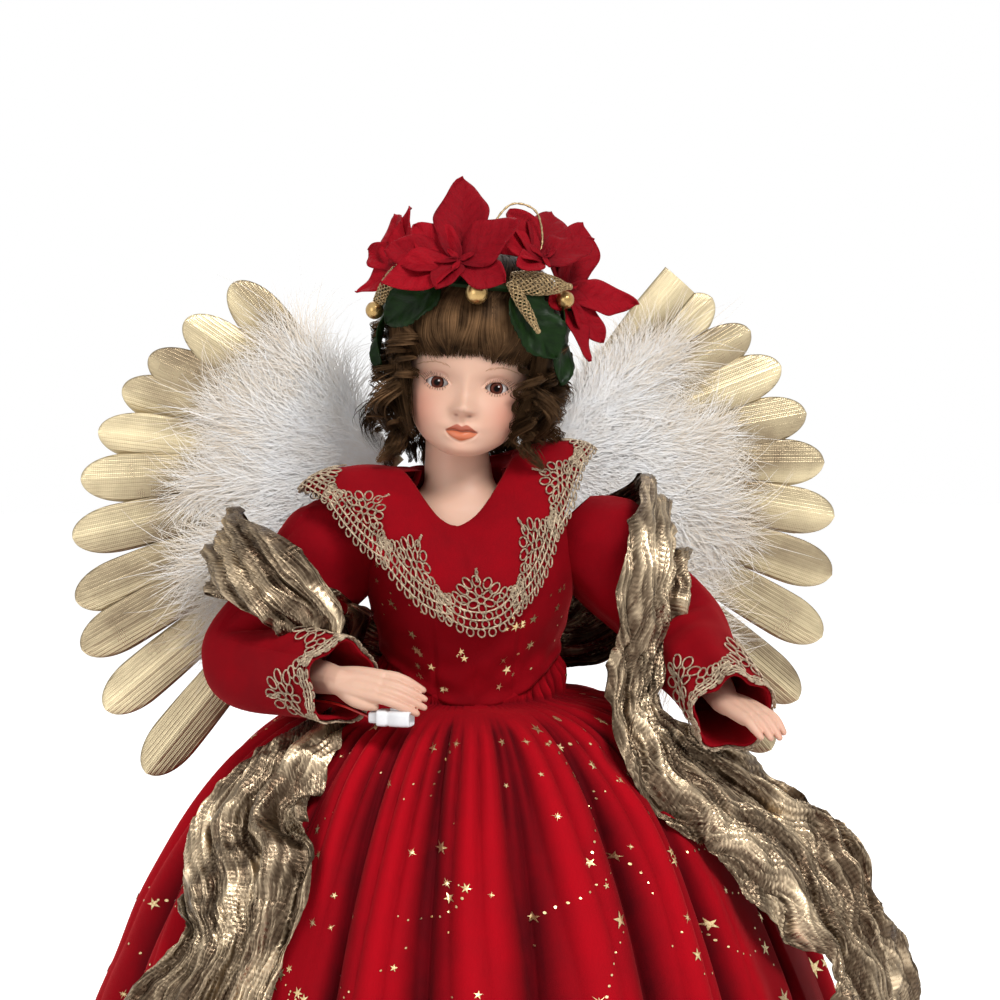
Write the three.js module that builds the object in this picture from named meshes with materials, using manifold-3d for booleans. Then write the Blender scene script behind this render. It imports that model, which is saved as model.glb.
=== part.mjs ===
// Angel figure: a doll with a porcelain head and hands in a velvet gown. A foam bell on a wooden base
// carries the skirt and hides the cells for a hand light. Foil and down wings turn on wires at the back.
// Millimetres, +Z up, the figure faces -Y, its right side is -X, origin under the middle of the base.
import * as THREE from "three";
import { mergeVertices } from "three/addons/utils/BufferGeometryUtils.js";
import Module from "manifold-3d";

const wasm = await Module();
wasm.setup();

const { lerp, degToRad, smoothstep } = THREE.MathUtils;
const TURN = 2 * Math.PI;
const V = (x, y, z) => new THREE.Vector3(x, y, z);

// Fits shared by all pieces
const SEAT = 0.3; // gap between pieces that rest on or fit into each other
const CLOTH = 1.6; // velvet with its lining
const LACE = 1.2;
const OVERCUT = 1; // how far a cutter reaches past the face it opens

// Skirt
const WAIST_Z = 342;
const WAIST_HALF_WIDTH = 42;
const WAIST_HALF_DEPTH = 35;
const HEM_Z = 3;
const HEM_RADIUS = 229;
const SKIRT_FLARE = 0.42; // power of the flare: small values swell out close under the waist
const SKIRT_FOLDS = 20;
const WAIST_FOLD = 1; // half depth of a fold at the waist
const HEM_FOLD = 11; // half depth of a fold at the hem
const FOLD_PROUD = 5; // how far the crests stand out more between waist and hem
const FOLD_ROUND = 0.8; // power of a fold's section: round crests and narrow valleys
// Waves that crowd the folds here and there: how many round the skirt, size, and start
const FOLD_SWAY = [
  [2, 0.9, 0.4],
  [3, 0.8, 2.1],
  [5, 0.6, 4.0],
  [7, 0.4, 1.2],
];
const SKIRT_EASE = 3; // room between the folds and the bell under them

// Base, bell and post
const BASE_RADIUS = 206;
const BASE_THICK = 8;
const BASE_CHAMFER = 1.5;
const BELL_DROP = 9; // how far the bell ends below the waist
const BELL_TOP_Z = WAIST_Z - BELL_DROP;
const POST_RADIUS = 8;

// Cell box in the base
const BOX_X = 48;
const BOX_WIDTH = 64;
const BOX_DEPTH = 66;
const BOX_TOP_Z = 24;
const BOX_WALL = 1.6;
const DOOR_THICK = 1.8;
const DOOR_Z = 0.8;
const DOOR_HINGE_GAP = 1.2;
const CELL_RADIUS = 7.1;
const CELL_LENGTH = 50;
const CELL_TIP_RADIUS = 2.7;
const CELL_TIP = 1.4;
const CELL_PITCH = 16;
const KNOB_X = -40;
const KNOB_WIDTH = 4.4;
const KNOB_TRAVEL = 5;
const KNOB_CAP = 9;
const KNOB_CAP_THICK = 2;
const KNOB_BOTTOM_Z = 1.2;
const RISER_X = 20;
const RISER_RADIUS = 2;

// Stuffed body and bodice: height, half width and half depth of the bodice
const BODICE_SECTIONS = [
  [WAIST_Z + SEAT, 40, 33],
  [362, 43, 37],
  [384, 49, 42],
  [404, 53, 40],
  [420, 53, 35],
  [430, 49, 30],
];
const BODICE_EASE = 1;
const CHEST_DROP = 17; // how far the stuffing ends below the bodice's upper edge
const TORSO_TOP_Z = BODICE_SECTIONS.at(-1)[0] - CHEST_DROP;
const POST_TOP_Z = TORSO_TOP_Z - 1.25 * CHEST_DROP;
const RISER_TOP_Z = TORSO_TOP_Z - CHEST_DROP;

// Porcelain head, in its own frame: height, half width, reach of the face and reach of the nape
const HEAD_PLACE = V(0.5, -2, 508);
const HEAD_ROLL = degToRad(6);
const HEAD_YAW = degToRad(-7);
const HEAD_SECTIONS = [
  [-46, 8, 29, -14],
  [-43, 14.5, 33, -5],
  [-37, 21, 34, 5],
  [-28, 26, 34.5, 16],
  [-18, 29, 34.5, 27],
  [-8, 31, 34.5, 34],
  [4, 33.5, 36, 39],
  [16, 35, 36.5, 41],
  [28, 33.5, 33.5, 39],
  [38, 27, 26, 31],
  [45, 16, 15, 19],
  [48, 5, 4, 6],
];
const HEAD_RINGS = 16;
const HEAD_POINTS = 28;
const FACE_CROWDING = 0.45; // draws the points of each ring towards the face
const EYE_APART = 14.7; // middle of each eye's opening from the middle of the face
const EYE_SET = 12.7; // middle of each eyeball from the middle of the face
const EYE_LEVEL = -9;
const EYE_RADIUS = 7.6;
const EYE_DEPTH = -20.4;
const EYELID_HALF_WIDTH = 5.6;
const EYELID_HALF_HEIGHT = 3.4;
// Relief of the face: sideways place, height, spread sideways, spread in height, how far it stands out
const FACE_RELIEF = [
  [0, -22, 3.3, 3.6, 6.2],
  [0, -14, 2.8, 8, 2.8],
  [4, -23.5, 2.2, 2.2, 1.8],
  [EYE_APART, EYE_LEVEL, 6.5, 4.6, -3.6],
  [0, -31.6, 6, 1.6, 2.2],
  [0, -36.2, 5, 1.8, 2.4],
  [0, -43, 6, 3.6, 2],
  [17, -24, 8, 8, 1.6],
];
const NECK_SECTIONS = [
  [472, 15, 13, -7, 2],
  [458, 16.5, 15, -6, 2],
  [447, 19, 17, -5, 1],
  [438, 32, 23, -4, 0],
  [428, 45, 29, -2, 0],
  [TORSO_TOP_Z + SEAT, 48.5, 31, 0, 0],
];

// Wig and ringlets, in the head's frame
const CAP_RINGS = 10;
const CAP_POINTS = 20;
const HAIR_THICK = 8.5;
const FRINGE_THICK = 5;
const HAIR_BOTTOM = -30;
const FACE_WINDOW_HALF = 29;
const FACE_WINDOW_TOP = 5;
const FACE_WINDOW_ROUND = 14;
const HAIR_CUTTER = 200; // wider than the whole head of hair
const RINGLET_COIL = 5.4;
const RINGLET_THICK = 4.4;
const RINGLET_TURNS = 2;
const RINGLET_TOP = -8;
const RINGLET_PRESS = 5.5; // how far a ringlet is pressed against the cap before it is cut clear
// Ringlets: name, bearing from the front in degrees, lower end
const RINGLETS = [
  ["right_ringlet_front", -62, -52],
  ["right_ringlet_side", -95, -55],
  ["right_ringlet_back", -128, -52],
  ["left_ringlet_front", 62, -47],
  ["left_ringlet_side", 95, -37],
  ["left_ringlet_back", 128, -41],
  ["back_ringlet_right", -162, -46],
  ["back_ringlet_left", 162, -46],
];

// Wreath, in the head's frame
const WREATH_LEVEL = 40;
const WREATH_HALF_WIDTH = 41;
const WREATH_HALF_DEPTH = 42;
const WREATH_BACK = 4.5; // how far its middle lies behind the head's
const WREATH_WIRE = 1.6;
const PETALS = 6;
const PETAL_THICK = 1.4;
const FLOWER_HEART = 4.5;
const STEM_RADIUS = 1.2;
// Flowers: name, bearing from the front, lift of its face, height above the ring, petal length, petals' turn
const FLOWERS = [
  ["poinsettia_front", -12, 30, 9, 44, -30],
  ["poinsettia_right", -68, 30, 7, 32, 20],
  ["poinsettia_crown", 44, 48, 13, 32, 12],
  ["poinsettia_left", 74, 14, 2, 38, 25],
  ["poinsettia_back", 172, 26, 0, 34, 0],
];
// Leaves and gold sprigs lie on the hair: name, bearing, lift, height above the ring, length, width, turn
const LEAVES = [
  ["leaf_right_front", -30, 16, -3, 32, 19, -139],
  ["leaf_left_front", 24, 16, -3, 38, 22, -50],
  ["leaf_left_side", 68, 12, -2, 44, 16, -95],
  ["leaf_right_side", -72, 12, -2, 44, 15, -85],
];
const SPRIGS = [
  ["sprig_right", -56, 14, 0, 25, 9, -130],
  ["sprig_left", 22, 14, 3, 31, 10, 4],
];
const BLADE_BEND = -0.08;
// Berries: name, bearing, radius
const BERRIES = [
  ["berry_front", 8, 5.5],
  ["berry_right", -86, 4.5],
  ["berry_left", 62, 4.5],
];
const BLADE_THICK = 1.1;

// Arms: shoulder, elbow, wrist, fingertip and the way the back of the hand faces
const RIGHT_ARM = {
  shoulder: V(-68, 2, 406),
  elbow: V(-111, -8, 362),
  wrist: V(-68, -68, 361),
  tip: V(-28, -86, 357),
  back: V(0.1, -0.75, 0.65),
};
const LEFT_ARM = {
  shoulder: V(66, 2, 406),
  elbow: V(106, -6, 372),
  wrist: V(118, -74, 349),
  tip: V(138, -104, 341),
  back: V(0.15, -0.45, 0.88),
};
const SHOULDER_BALL = 15;
const UPPER_ARM_RADIUS = 13;
const ELBOW_BALL = 9;
const STUB_RADIUS = 3.4;
const STUB_LENGTH = 22;
const FOREARM_RADIUS = 9;
const WRIST_RADIUS = 7.4;
const PALM_LENGTH = 20;
const PALM_HALF_WIDTH = 10.5;
const PALM_HALF_THICK = 4.4;
const FINGER_RADIUS = 2.5;
const FINGER_CURL = 0.2;
const ARM_WIRE_RADIUS = 1.5;
const ARM_WIRE_HALF = 70;
const WIRE_END_ROOM = 5; // depth of the bore past each end of the wire

// Sleeves: radius at the shoulder, upper arm, elbow, forearm and cuff
const SLEEVE_RADII = [26, 24, 23, 20, 23];
const SLEEVE_PUFF = 12; // how far the gathered sleeve head stands above the shoulder
const SLEEVE_POINTS = 14;
const CUFF_LACE_START = 0.55; // share of the forearm's half where the lace begins

// Collar: middle at the sides and in front, half width, reach and heights of its neck edge and outer edge
const COLLAR_NECK = {
  middle: -7.5,
  tipX: -9,
  half: 28.5,
  front: 30,
  back: 24,
  frontZ: 430,
  sideZ: 460,
  backZ: 456,
};
const COLLAR_EDGE = {
  middle: -12,
  tipX: 2,
  half: 70,
  front: 49,
  back: 39,
  frontZ: 382,
  sideZ: 457,
  backZ: 426,
};
const COLLAR_TILT = 0.135; // rise towards the left, per unit of width
const COLLAR_RISE = 7;
const COLLAR_POINTS = 30;
const COLLAR_ROWS = 3;
const COLLAR_LACE_START = 0.74;
const COLLAR_SCALLOPS = 10;

// Wings: the fan of each wing from its upper to its lower feather
const FEATHERS = 11;
const WING_ROOT = V(34, 54, 452);
const WING_TOP_ANGLE = 49;
const WING_LOW_ANGLE = -50;
const FEATHER_SHORT = 126;
const FEATHER_LONG = 205;
const FEATHER_HALF_WIDTH = 12.5;
const FEATHER_THICK = 1.2;
const FEATHER_STAGGER = 0.5; // each second feather lies this much behind
const CARD_RADIUS = 60;
const DOWN_SHARE = 0.66;
const DOWN_THICK = 9;
const WING_SPREAD = { right: 0, left: 6 }; // how far each wing is folded back in the photo, in degrees
const WING_PIN = V(16, 49, 0);
const WING_WIRE = 1.5;
const BRACKET_WIDTH = 44;
const BRACKET_DROP = 16; // how far the bracket lies below the collar's back edge
const BRACKET_HEIGHT = 24;
const BRACKET_TOP_Z = COLLAR_EDGE.backZ - BRACKET_DROP;
const BRACKET_BOTTOM_Z = BRACKET_TOP_Z - BRACKET_HEIGHT;
const BRACKET_FRONT_Y = 38;
const BARREL_RADIUS = 4;

// Stole: half width and half thickness of the gathered cloth, and its folds
const STOLE_HALF_WIDTH = 21; // gathered on the arms
const STOLE_HEM_HALF_WIDTH = 40; // spread out on the skirt
const STOLE_HALF_THICK = 6;
const STOLE_FOLDS = 5;
const STOLE_FOLD_DEPTH = 0.3;
const STOLE_POINTS = 14;
const STOLE_STEPS = 42;
const STOLE_BACK = V(0, 52, 362); // behind the waist
// From the back round the upper arm and through the crook of the elbow
const RIGHT_STOLE = [
  V(-58, 38, 364),
  V(-97, 30, 388),
  V(-119, 12, 411),
  V(-118, -14, 414),
  V(-103, -31, 407),
  V(-84, -37, 396),
  V(-66, -32, 382),
  V(-57, -25, 364),
  V(-58, -28, 343),
];
const LEFT_STOLE = [
  V(56, 42, 372),
  V(83, 32, 404),
  V(91, 18, 420),
  V(92, -4, 428),
  V(86, -29, 413),
  V(80, -39, 391),
  V(75, -42, 367),
  V(72, -50, 346),
];
const STOLE_FACING = 60; // how far the cloth turns to the front on the skirt
const STOLE_RISE_LOW = 40; // how far up it faces there
const STOLE_RISE_HIGH = 45; // and on the arms

// Light plug under the right hand
const PLUG_LENGTH = 21;
const PLUG_WIDTH = 9;
const PLUG_HEIGHT = 8;
const PLUG_MIDDLE = V(-44, -80, 340);
const PIN_HOLE_RADIUS = 1.2;
const PIN_HOLE_DEPTH = 7;
const LEAD_RADIUS = 1.2;

// Colours and finishes, one per material
const FINISH = {
  velvet: [0xa3121c, 0.85, 0],
  lace: [0xd6b468, 0.45, 0.7],
  foil: [0xdcc79a, 0.35, 0.75],
  down: [0xf4f2ee, 0.95, 0],
  lame: [0xb98a3c, 0.4, 0.75],
  porcelain: [0xecc3a8, 0.35, 0],
  iris: [0x3a2312, 0.1, 0],
  hair: [0x3c2012, 0.55, 0],
  petal: [0xb5121b, 0.8, 0],
  leaf: [0x1e4a2a, 0.75, 0],
  gold: [0xd8b040, 0.25, 0.9],
  wire: [0x8a8d90, 0.4, 0.8],
  wood: [0xc8a878, 0.7, 0],
  foam: [0xf2f2f0, 0.9, 0],
  muslin: [0xe9dcc6, 0.9, 0],
  casing: [0xf4f4f2, 0.4, 0],
  jacket: [0x9a9a98, 0.35, 0.5],
  lead: [0xc01818, 0.45, 0],
};

// Turns a geometry into a closed solid, and a solid into a geometry
function solid(geometry) {
  const bare = geometry.clone();
  bare.deleteAttribute("normal");
  bare.deleteAttribute("uv");
  const welded = mergeVertices(bare, 1e-4);
  const mesh = { numProp: 3, vertProperties: welded.attributes.position.array, triVerts: welded.index.array };
  return new wasm.Manifold(new wasm.Mesh({ ...mesh, triVerts: new Uint32Array(mesh.triVerts) }));
}

function geometryOf(body) {
  const mesh = body.getMesh();
  const geometry = new THREE.BufferGeometry();
  geometry.setAttribute("position", new THREE.BufferAttribute(new Float32Array(mesh.vertProperties), 3));
  geometry.setIndex(new THREE.BufferAttribute(new Uint32Array(mesh.triVerts), 1));
  return geometry;
}

const joined = (...geometries) => geometryOf(wasm.Manifold.union(geometries.map(solid)));

// Cuts the tools from a body and keeps its largest piece
function cut(geometry, ...tools) {
  const left = tools.reduce((body, tool) => body.subtract(solid(tool)), solid(geometry));
  const pieces = left.decompose();
  return geometryOf(pieces.reduce((best, piece) => (piece.volume() > best.volume() ? piece : best)));
}

// Makes a geometry from points and faces, turned so that its faces look out
function skinned(points, faces) {
  const volume = faces.reduce((sum, [a, b, c]) => {
    const wedge = points[a].dot(points[b].clone().cross(points[c]));
    return sum + wedge;
  }, 0);
  const order = volume < 0 ? ([a, b, c]) => [a, c, b] : (face) => face;
  const geometry = new THREE.BufferGeometry().setFromPoints(points);
  geometry.setIndex(faces.flatMap(order));
  return geometry;
}

function band(faces, from, to, count) {
  for (let k = 0; k < count; k++) {
    const next = (k + 1) % count;
    faces.push([from + k, from + next, to + next]);
    faces.push([from + k, to + next, to + k]);
  }
}

// Joins rings of equal count into a body whose two ends are closed
function loft(rings) {
  const count = rings[0].length;
  const points = rings.flat();
  const faces = [];
  for (let i = 0; i + 1 < rings.length; i++) {
    band(faces, i * count, (i + 1) * count, count);
  }
  for (const [start, step] of [[0, 1], [(rings.length - 1) * count, -1]]) {
    const ring = points.slice(start, start + count);
    const middle = ring.reduce((sum, p) => sum.add(p), V(0, 0, 0)).divideScalar(count);
    points.push(middle);
    for (let k = 0; k < count; k++) {
      const pair = [start + k, start + ((k + 1) % count)];
      faces.push(step > 0 ? [pair[1], pair[0], points.length - 1] : [pair[0], pair[1], points.length - 1]);
    }
  }
  return skinned(points, faces);
}

// Joins outer and inner rings into a tube with a wall
function shell(outer, inner) {
  const rings = [...outer, ...[...inner].reverse()];
  const count = rings[0].length;
  const faces = [];
  rings.forEach((_, i) => band(faces, i * count, ((i + 1) % rings.length) * count, count));
  return skinned(rings.flat(), faces);
}

// Level ring of an ellipse, its points counted from the front
function levelRing(z, halfWidth, halfDepth, count, middle = V(0, 0, 0)) {
  return Array.from({ length: count }, (_, k) => {
    const angle = (TURN * k) / count;
    return V(middle.x + halfWidth * Math.sin(angle), middle.y - halfDepth * Math.cos(angle), z);
  });
}

// Value of a list of rows at a share of its length, read smoothly between them
function rowAt(rows, share) {
  const place = share * (rows.length - 1);
  const i = Math.min(Math.floor(place), rows.length - 2);
  const curve = (column) => {
    const at = (k) => rows[Math.min(Math.max(k, 0), rows.length - 1)][column];
    const f = place - i;
    const slope = [(at(i + 1) - at(i - 1)) / 2, (at(i + 2) - at(i)) / 2];
    const rise = 3 * (at(i + 1) - at(i)) - 2 * slope[0] - slope[1];
    const bend = 2 * (at(i) - at(i + 1)) + slope[0] + slope[1];
    return at(i) + f * (slope[0] + f * (rise + f * bend));
  };
  return rows[0].map((_, column) => curve(column));
}

// Frames along a path: a point, the way onward and two ways across, kept from twisting
function framesAlong(path, steps, across) {
  let normal = across.clone();
  return Array.from({ length: steps + 1 }, (_, k) => {
    const share = k / steps;
    const onward = path.getTangent(share);
    normal = normal.clone().addScaledVector(onward, -normal.dot(onward)).normalize();
    return { share, point: path.getPoint(share), onward, normal, side: onward.clone().cross(normal) };
  });
}

// Rings around a path whose radius is read from a list
function tubeRings(points, radii, steps, count, grow = 0) {
  const path = new THREE.CatmullRomCurve3(points, false, "centripetal");
  const across = Math.abs(path.getTangent(0).z) > 0.9 ? V(1, 0, 0) : V(0, 0, 1);
  return framesAlong(path, steps, across).map(({ share, point, normal, side }) => {
    const [radius] = rowAt(radii.map((r) => [r]), share);
    return Array.from({ length: count }, (_, k) => {
      const angle = (TURN * k) / count;
      const out = normal.clone().multiplyScalar(Math.cos(angle)).addScaledVector(side, Math.sin(angle));
      return point.clone().addScaledVector(out, radius + grow);
    });
  });
}

const limb = (points, radii, steps, count) => loft(tubeRings(points, radii, steps, count));

function ball(radius, middle, squash = V(1, 1, 1), around = 10, rows = 7) {
  const geometry = new THREE.SphereGeometry(radius, around, rows);
  geometry.scale(squash.x, squash.y, squash.z);
  return geometry.translate(middle.x, middle.y, middle.z);
}

function block(width, depth, height, x, y, bottom) {
  return new THREE.BoxGeometry(width, depth, height).translate(x, y, bottom + height / 2);
}

// Upright round bar from one height to another
function bar(radius, bottom, top, x = 0, y = 0, count = 16) {
  const geometry = new THREE.CylinderGeometry(radius, radius, top - bottom, count);
  return geometry.rotateX(Math.PI / 2).translate(x, y, (top + bottom) / 2);
}

function turned(profile, count) {
  const points = profile.map(([r, z]) => new THREE.Vector2(r, z));
  return new THREE.LatheGeometry(points, count).rotateX(Math.PI / 2);
}

function wireAlong(points, radius, steps, count = 6) {
  const shape = new THREE.Shape().absarc(0, 0, radius, 0, TURN);
  const extrudePath = new THREE.CatmullRomCurve3(points, false, "centripetal");
  return new THREE.ExtrudeGeometry(shape, { steps, curveSegments: count / 2, extrudePath });
}

// Skirt: the flare, its folds and its rings
const skirtShare = (z) => (WAIST_Z - z) / (WAIST_Z - HEM_Z);
const foldDepth = (share) => lerp(WAIST_FOLD, HEM_FOLD, Math.sqrt(share));

function skirtRadii(share) {
  const flare = share ** SKIRT_FLARE;
  return [lerp(WAIST_HALF_WIDTH, HEM_RADIUS, flare), lerp(WAIST_HALF_DEPTH, HEM_RADIUS, flare)];
}

function foldProud(share) {
  const flare = share ** SKIRT_FLARE;
  return 4 * FOLD_PROUD * flare * (1 - flare);
}

const foldSway = (angle) =>
  FOLD_SWAY.reduce((sum, [waves, size, start]) => sum + size * Math.sin(waves * angle + start), 0);

function skirtRing(share, grow) {
  const [width, depth] = skirtRadii(share);
  const count = 4 * SKIRT_FOLDS;
  const valley = grow - foldDepth(share);
  const height = 2 * foldDepth(share) + foldProud(share);
  return Array.from({ length: count }, (_, k) => {
    const even = (TURN * k) / count;
    const angle = even - foldSway(even) / SKIRT_FOLDS;
    const out = valley + height * Math.abs(Math.cos((SKIRT_FOLDS * even) / 2)) ** FOLD_ROUND;
    const z = lerp(WAIST_Z, HEM_Z, share);
    return V((width + out) * Math.sin(angle), -(depth + out) * Math.cos(angle), z);
  });
}

const SKIRT_SHARES = [0, 0.02, 0.08, 0.22, 0.52, 1];

function makeSkirt() {
  const rings = (grow) => SKIRT_SHARES.map((share) => skirtRing(share, grow));
  return shell(rings(0), rings(-CLOTH));
}

const skirtBody = (grow) => loft(SKIRT_SHARES.map((share) => skirtRing(share, grow)));

function bellRadius(z) {
  const share = skirtShare(z);
  return skirtRadii(share)[1] - foldDepth(share) - CLOTH - SKIRT_EASE;
}

// Base, bell and post
const BELL_BOTTOM_Z = BASE_THICK + SEAT;
const POCKET_TOP_Z = BOX_TOP_Z + SEAT;

function boxHole(bottom, top) {
  return block(BOX_WIDTH + 2 * SEAT, BOX_DEPTH + 2 * SEAT, top - bottom, BOX_X, 0, bottom);
}

function knobSlot(width, length, bottom, top) {
  return block(width, length, top - bottom, KNOB_X, 0, bottom);
}

function makeBase() {
  const profile = [
    [0, 0],
    [BASE_RADIUS - BASE_CHAMFER, 0],
    [BASE_RADIUS, BASE_CHAMFER],
    [BASE_RADIUS, BASE_THICK],
    [0, BASE_THICK],
  ];
  const slotLength = KNOB_WIDTH + KNOB_TRAVEL + 2 * SEAT;
  return cut(
    turned(profile, 40),
    boxHole(-OVERCUT, BASE_THICK + OVERCUT),
    knobSlot(KNOB_WIDTH + 2 * SEAT, slotLength, -OVERCUT, BASE_THICK + OVERCUT),
  );
}

function makeBell() {
  const heights = [0, 0.25, 0.5, 0.7, 0.84, 0.94, 1].map((share) => lerp(BELL_BOTTOM_Z, BELL_TOP_Z, share));
  const profile = [[0, BELL_BOTTOM_Z], ...heights.map((z) => [bellRadius(z), z]), [0, BELL_TOP_Z]];
  const capRoom = KNOB_CAP + KNOB_TRAVEL + 4 * SEAT;
  return cut(
    turned(profile, 32),
    bar(POST_RADIUS + SEAT, BELL_BOTTOM_Z - OVERCUT, BELL_TOP_Z + OVERCUT),
    bar(RISER_RADIUS + SEAT, BELL_BOTTOM_Z - OVERCUT, BELL_TOP_Z + OVERCUT, RISER_X, 0, 10),
    boxHole(BELL_BOTTOM_Z - OVERCUT, POCKET_TOP_Z),
    knobSlot(KNOB_CAP + 4 * SEAT, capRoom, BELL_BOTTOM_Z - OVERCUT, BASE_THICK + KNOB_CAP_THICK + 3 * SEAT),
  );
}

const makePost = () => bar(POST_RADIUS, BASE_THICK + SEAT, POST_TOP_Z, 0, 0, 20);

const makeRiser = () => bar(RISER_RADIUS, BOX_TOP_Z + 2 * SEAT, RISER_TOP_Z, RISER_X, 0, 8);

// Cell box with its door, cells and switch knob
const CAVITY_WIDTH = BOX_WIDTH - 2 * BOX_WALL;
const CAVITY_DEPTH = BOX_DEPTH - 2 * BOX_WALL;
const CELL_Z = DOOR_Z + DOOR_THICK + SEAT + CELL_RADIUS;

function makeBox() {
  const body = block(BOX_WIDTH, BOX_DEPTH, BOX_TOP_Z - DOOR_Z, BOX_X, 0, DOOR_Z);
  const hollow = BOX_TOP_Z - BOX_WALL - DOOR_Z + OVERCUT;
  return cut(body, block(CAVITY_WIDTH, CAVITY_DEPTH, hollow, BOX_X, 0, DOOR_Z - OVERCUT));
}

function makeDoor() {
  const depth = CAVITY_DEPTH - DOOR_HINGE_GAP - SEAT;
  const middle = (DOOR_HINGE_GAP - SEAT) / 2;
  return block(CAVITY_WIDTH - 2 * SEAT, depth, DOOR_THICK, BOX_X, middle, DOOR_Z);
}

function makeCell() {
  const end = CELL_LENGTH - CELL_TIP;
  const profile = [[0, 0], [CELL_RADIUS, 0], [CELL_RADIUS, end], [CELL_TIP_RADIUS, end]];
  const tip = [[CELL_TIP_RADIUS, CELL_LENGTH], [0, CELL_LENGTH]];
  return turned([...profile, ...tip], 16).translate(0, 0, -CELL_LENGTH / 2);
}

function makeKnob() {
  const start = -KNOB_TRAVEL / 2;
  const stem = BASE_THICK + SEAT + KNOB_CAP_THICK / 2 - KNOB_BOTTOM_Z;
  return joined(
    block(KNOB_WIDTH, KNOB_WIDTH, stem, KNOB_X, start, KNOB_BOTTOM_Z),
    block(KNOB_CAP, KNOB_CAP, KNOB_CAP_THICK, KNOB_X, start, BASE_THICK + SEAT),
  );
}

// Stuffed body and bodice
function bodiceRings(grow, top) {
  const rows = BODICE_SECTIONS.map(([z, width, depth]) => [z, width + grow, depth + grow]);
  return rows.map(([z, width, depth]) => levelRing(Math.min(z, top), width, depth, 22));
}

const bodiceBody = (grow) => loft(bodiceRings(grow, BODICE_SECTIONS.at(-1)[0] + grow));

function makeBodice() {
  const top = BODICE_SECTIONS.at(-1)[0];
  const cloth = shell(bodiceRings(0, top), bodiceRings(-CLOTH, top));
  return cut(cloth, acrossBar(ARM_WIRE_RADIUS + SEAT, ARM_WIRE_HALF));
}

function makeTorso() {
  const inset = CLOTH + BODICE_EASE;
  const inside = BODICE_SECTIONS.filter(([z]) => z < TORSO_TOP_Z);
  const [, width, depth] = inside.at(-1);
  const rows = [[BELL_TOP_Z + SEAT, ...inside[0].slice(1)], ...inside, [TORSO_TOP_Z, width - 6, depth - 6]];
  const rings = rows.map(([z, wide, deep]) => levelRing(z, wide - inset, deep - inset, 16));
  return cut(
    loft(rings),
    bar(POST_RADIUS + SEAT, BELL_TOP_Z - OVERCUT, POST_TOP_Z + SEAT, 0, 0, 20),
    bar(RISER_RADIUS + SEAT, BELL_TOP_Z - OVERCUT, RISER_TOP_Z + SEAT, RISER_X, 0, 10),
    acrossBar(ARM_WIRE_RADIUS + SEAT, BODICE_SECTIONS[3][1]),
  );
}

// Level bar from side to side at the shoulders
function acrossBar(radius, half) {
  const bore = new THREE.CylinderGeometry(radius, radius, 2 * half, 10).rotateZ(Math.PI / 2);
  return bore.translate(0, RIGHT_ARM.shoulder.y, RIGHT_ARM.shoulder.z);
}

// Porcelain head: rings of the skull with the relief of the face, joined to the neck and chest
function reliefAt(x, z) {
  return FACE_RELIEF.reduce((sum, [place, level, wide, tall, height]) => {
    const across = (Math.abs(x) - place) / wide;
    const up = (z - level) / tall;
    return sum + height * Math.exp(-(across * across + up * up) / 2);
  }, 0);
}

function headRings(side, front, back, rings = HEAD_RINGS, points = HEAD_POINTS) {
  return Array.from({ length: rings + 1 }, (_, i) => {
    const [z, half, face, nape] = rowAt(HEAD_SECTIONS, i / rings);
    const middle = (nape + back - face - front) / 2;
    const reach = (nape + back + face + front) / 2;
    return Array.from({ length: points }, (_, k) => {
      const step = (TURN * k) / points;
      const angle = step - FACE_CROWDING * Math.sin(step);
      const x = (half + side) * Math.sin(angle);
      const facing = smoothstep(Math.cos(angle), 0, 0.5);
      return V(x, middle - reach * Math.cos(angle) - facing * reliefAt(x, z), z);
    });
  });
}

const headFrame = new THREE.Matrix4().makeRotationFromEuler(new THREE.Euler(0, HEAD_ROLL, HEAD_YAW));
headFrame.setPosition(HEAD_PLACE);
const eyePlace = (side) => V(side * EYE_SET, EYE_DEPTH, EYE_LEVEL);
const lidPlace = (side) => V(side * EYE_APART, EYE_DEPTH, EYE_LEVEL);

function eyeHollow(side) {
  const lid = V(EYELID_HALF_WIDTH / EYE_RADIUS, 2, EYELID_HALF_HEIGHT / EYE_RADIUS);
  return joined(ball(EYE_RADIUS + SEAT, eyePlace(side)), ball(EYE_RADIUS, lidPlace(side), lid));
}

function neckBody() {
  const rings = Array.from({ length: 8 }, (_, i) => {
    const [z, width, depth, x, y] = rowAt(NECK_SECTIONS, i / 7);
    return levelRing(z, width, depth, 18, V(x, y, 0));
  });
  return loft(rings);
}

function makeHead() {
  const skull = cut(loft(headRings(0, 0, 0)), eyeHollow(-1), eyeHollow(1));
  return joined(skull.applyMatrix4(headFrame), neckBody());
}

// Wig: a cap over the skull with the face left open, cut clear of the head
function makeWig() {
  const below = block(HAIR_CUTTER, HAIR_CUTTER, HAIR_CUTTER, 0, 0, HAIR_BOTTOM - HAIR_CUTTER);
  const outline = new THREE.Shape();
  const round = FACE_WINDOW_ROUND;
  outline.moveTo(-FACE_WINDOW_HALF, HAIR_BOTTOM - OVERCUT);
  outline.lineTo(FACE_WINDOW_HALF, HAIR_BOTTOM - OVERCUT);
  outline.lineTo(FACE_WINDOW_HALF, FACE_WINDOW_TOP - round);
  outline.absarc(FACE_WINDOW_HALF - round, FACE_WINDOW_TOP - round, round, 0, Math.PI / 2);
  outline.absarc(round - FACE_WINDOW_HALF, FACE_WINDOW_TOP - round, round, Math.PI / 2, Math.PI);
  const through = { depth: HAIR_CUTTER / 2, bevelEnabled: false, curveSegments: 5 };
  const window = new THREE.ExtrudeGeometry(outline, through);
  window.rotateX(Math.PI / 2);
  return cut(capBody(0), below, window, loft(headRings(SEAT, SEAT, SEAT)), worldToHead(neckBody()));
}

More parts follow.
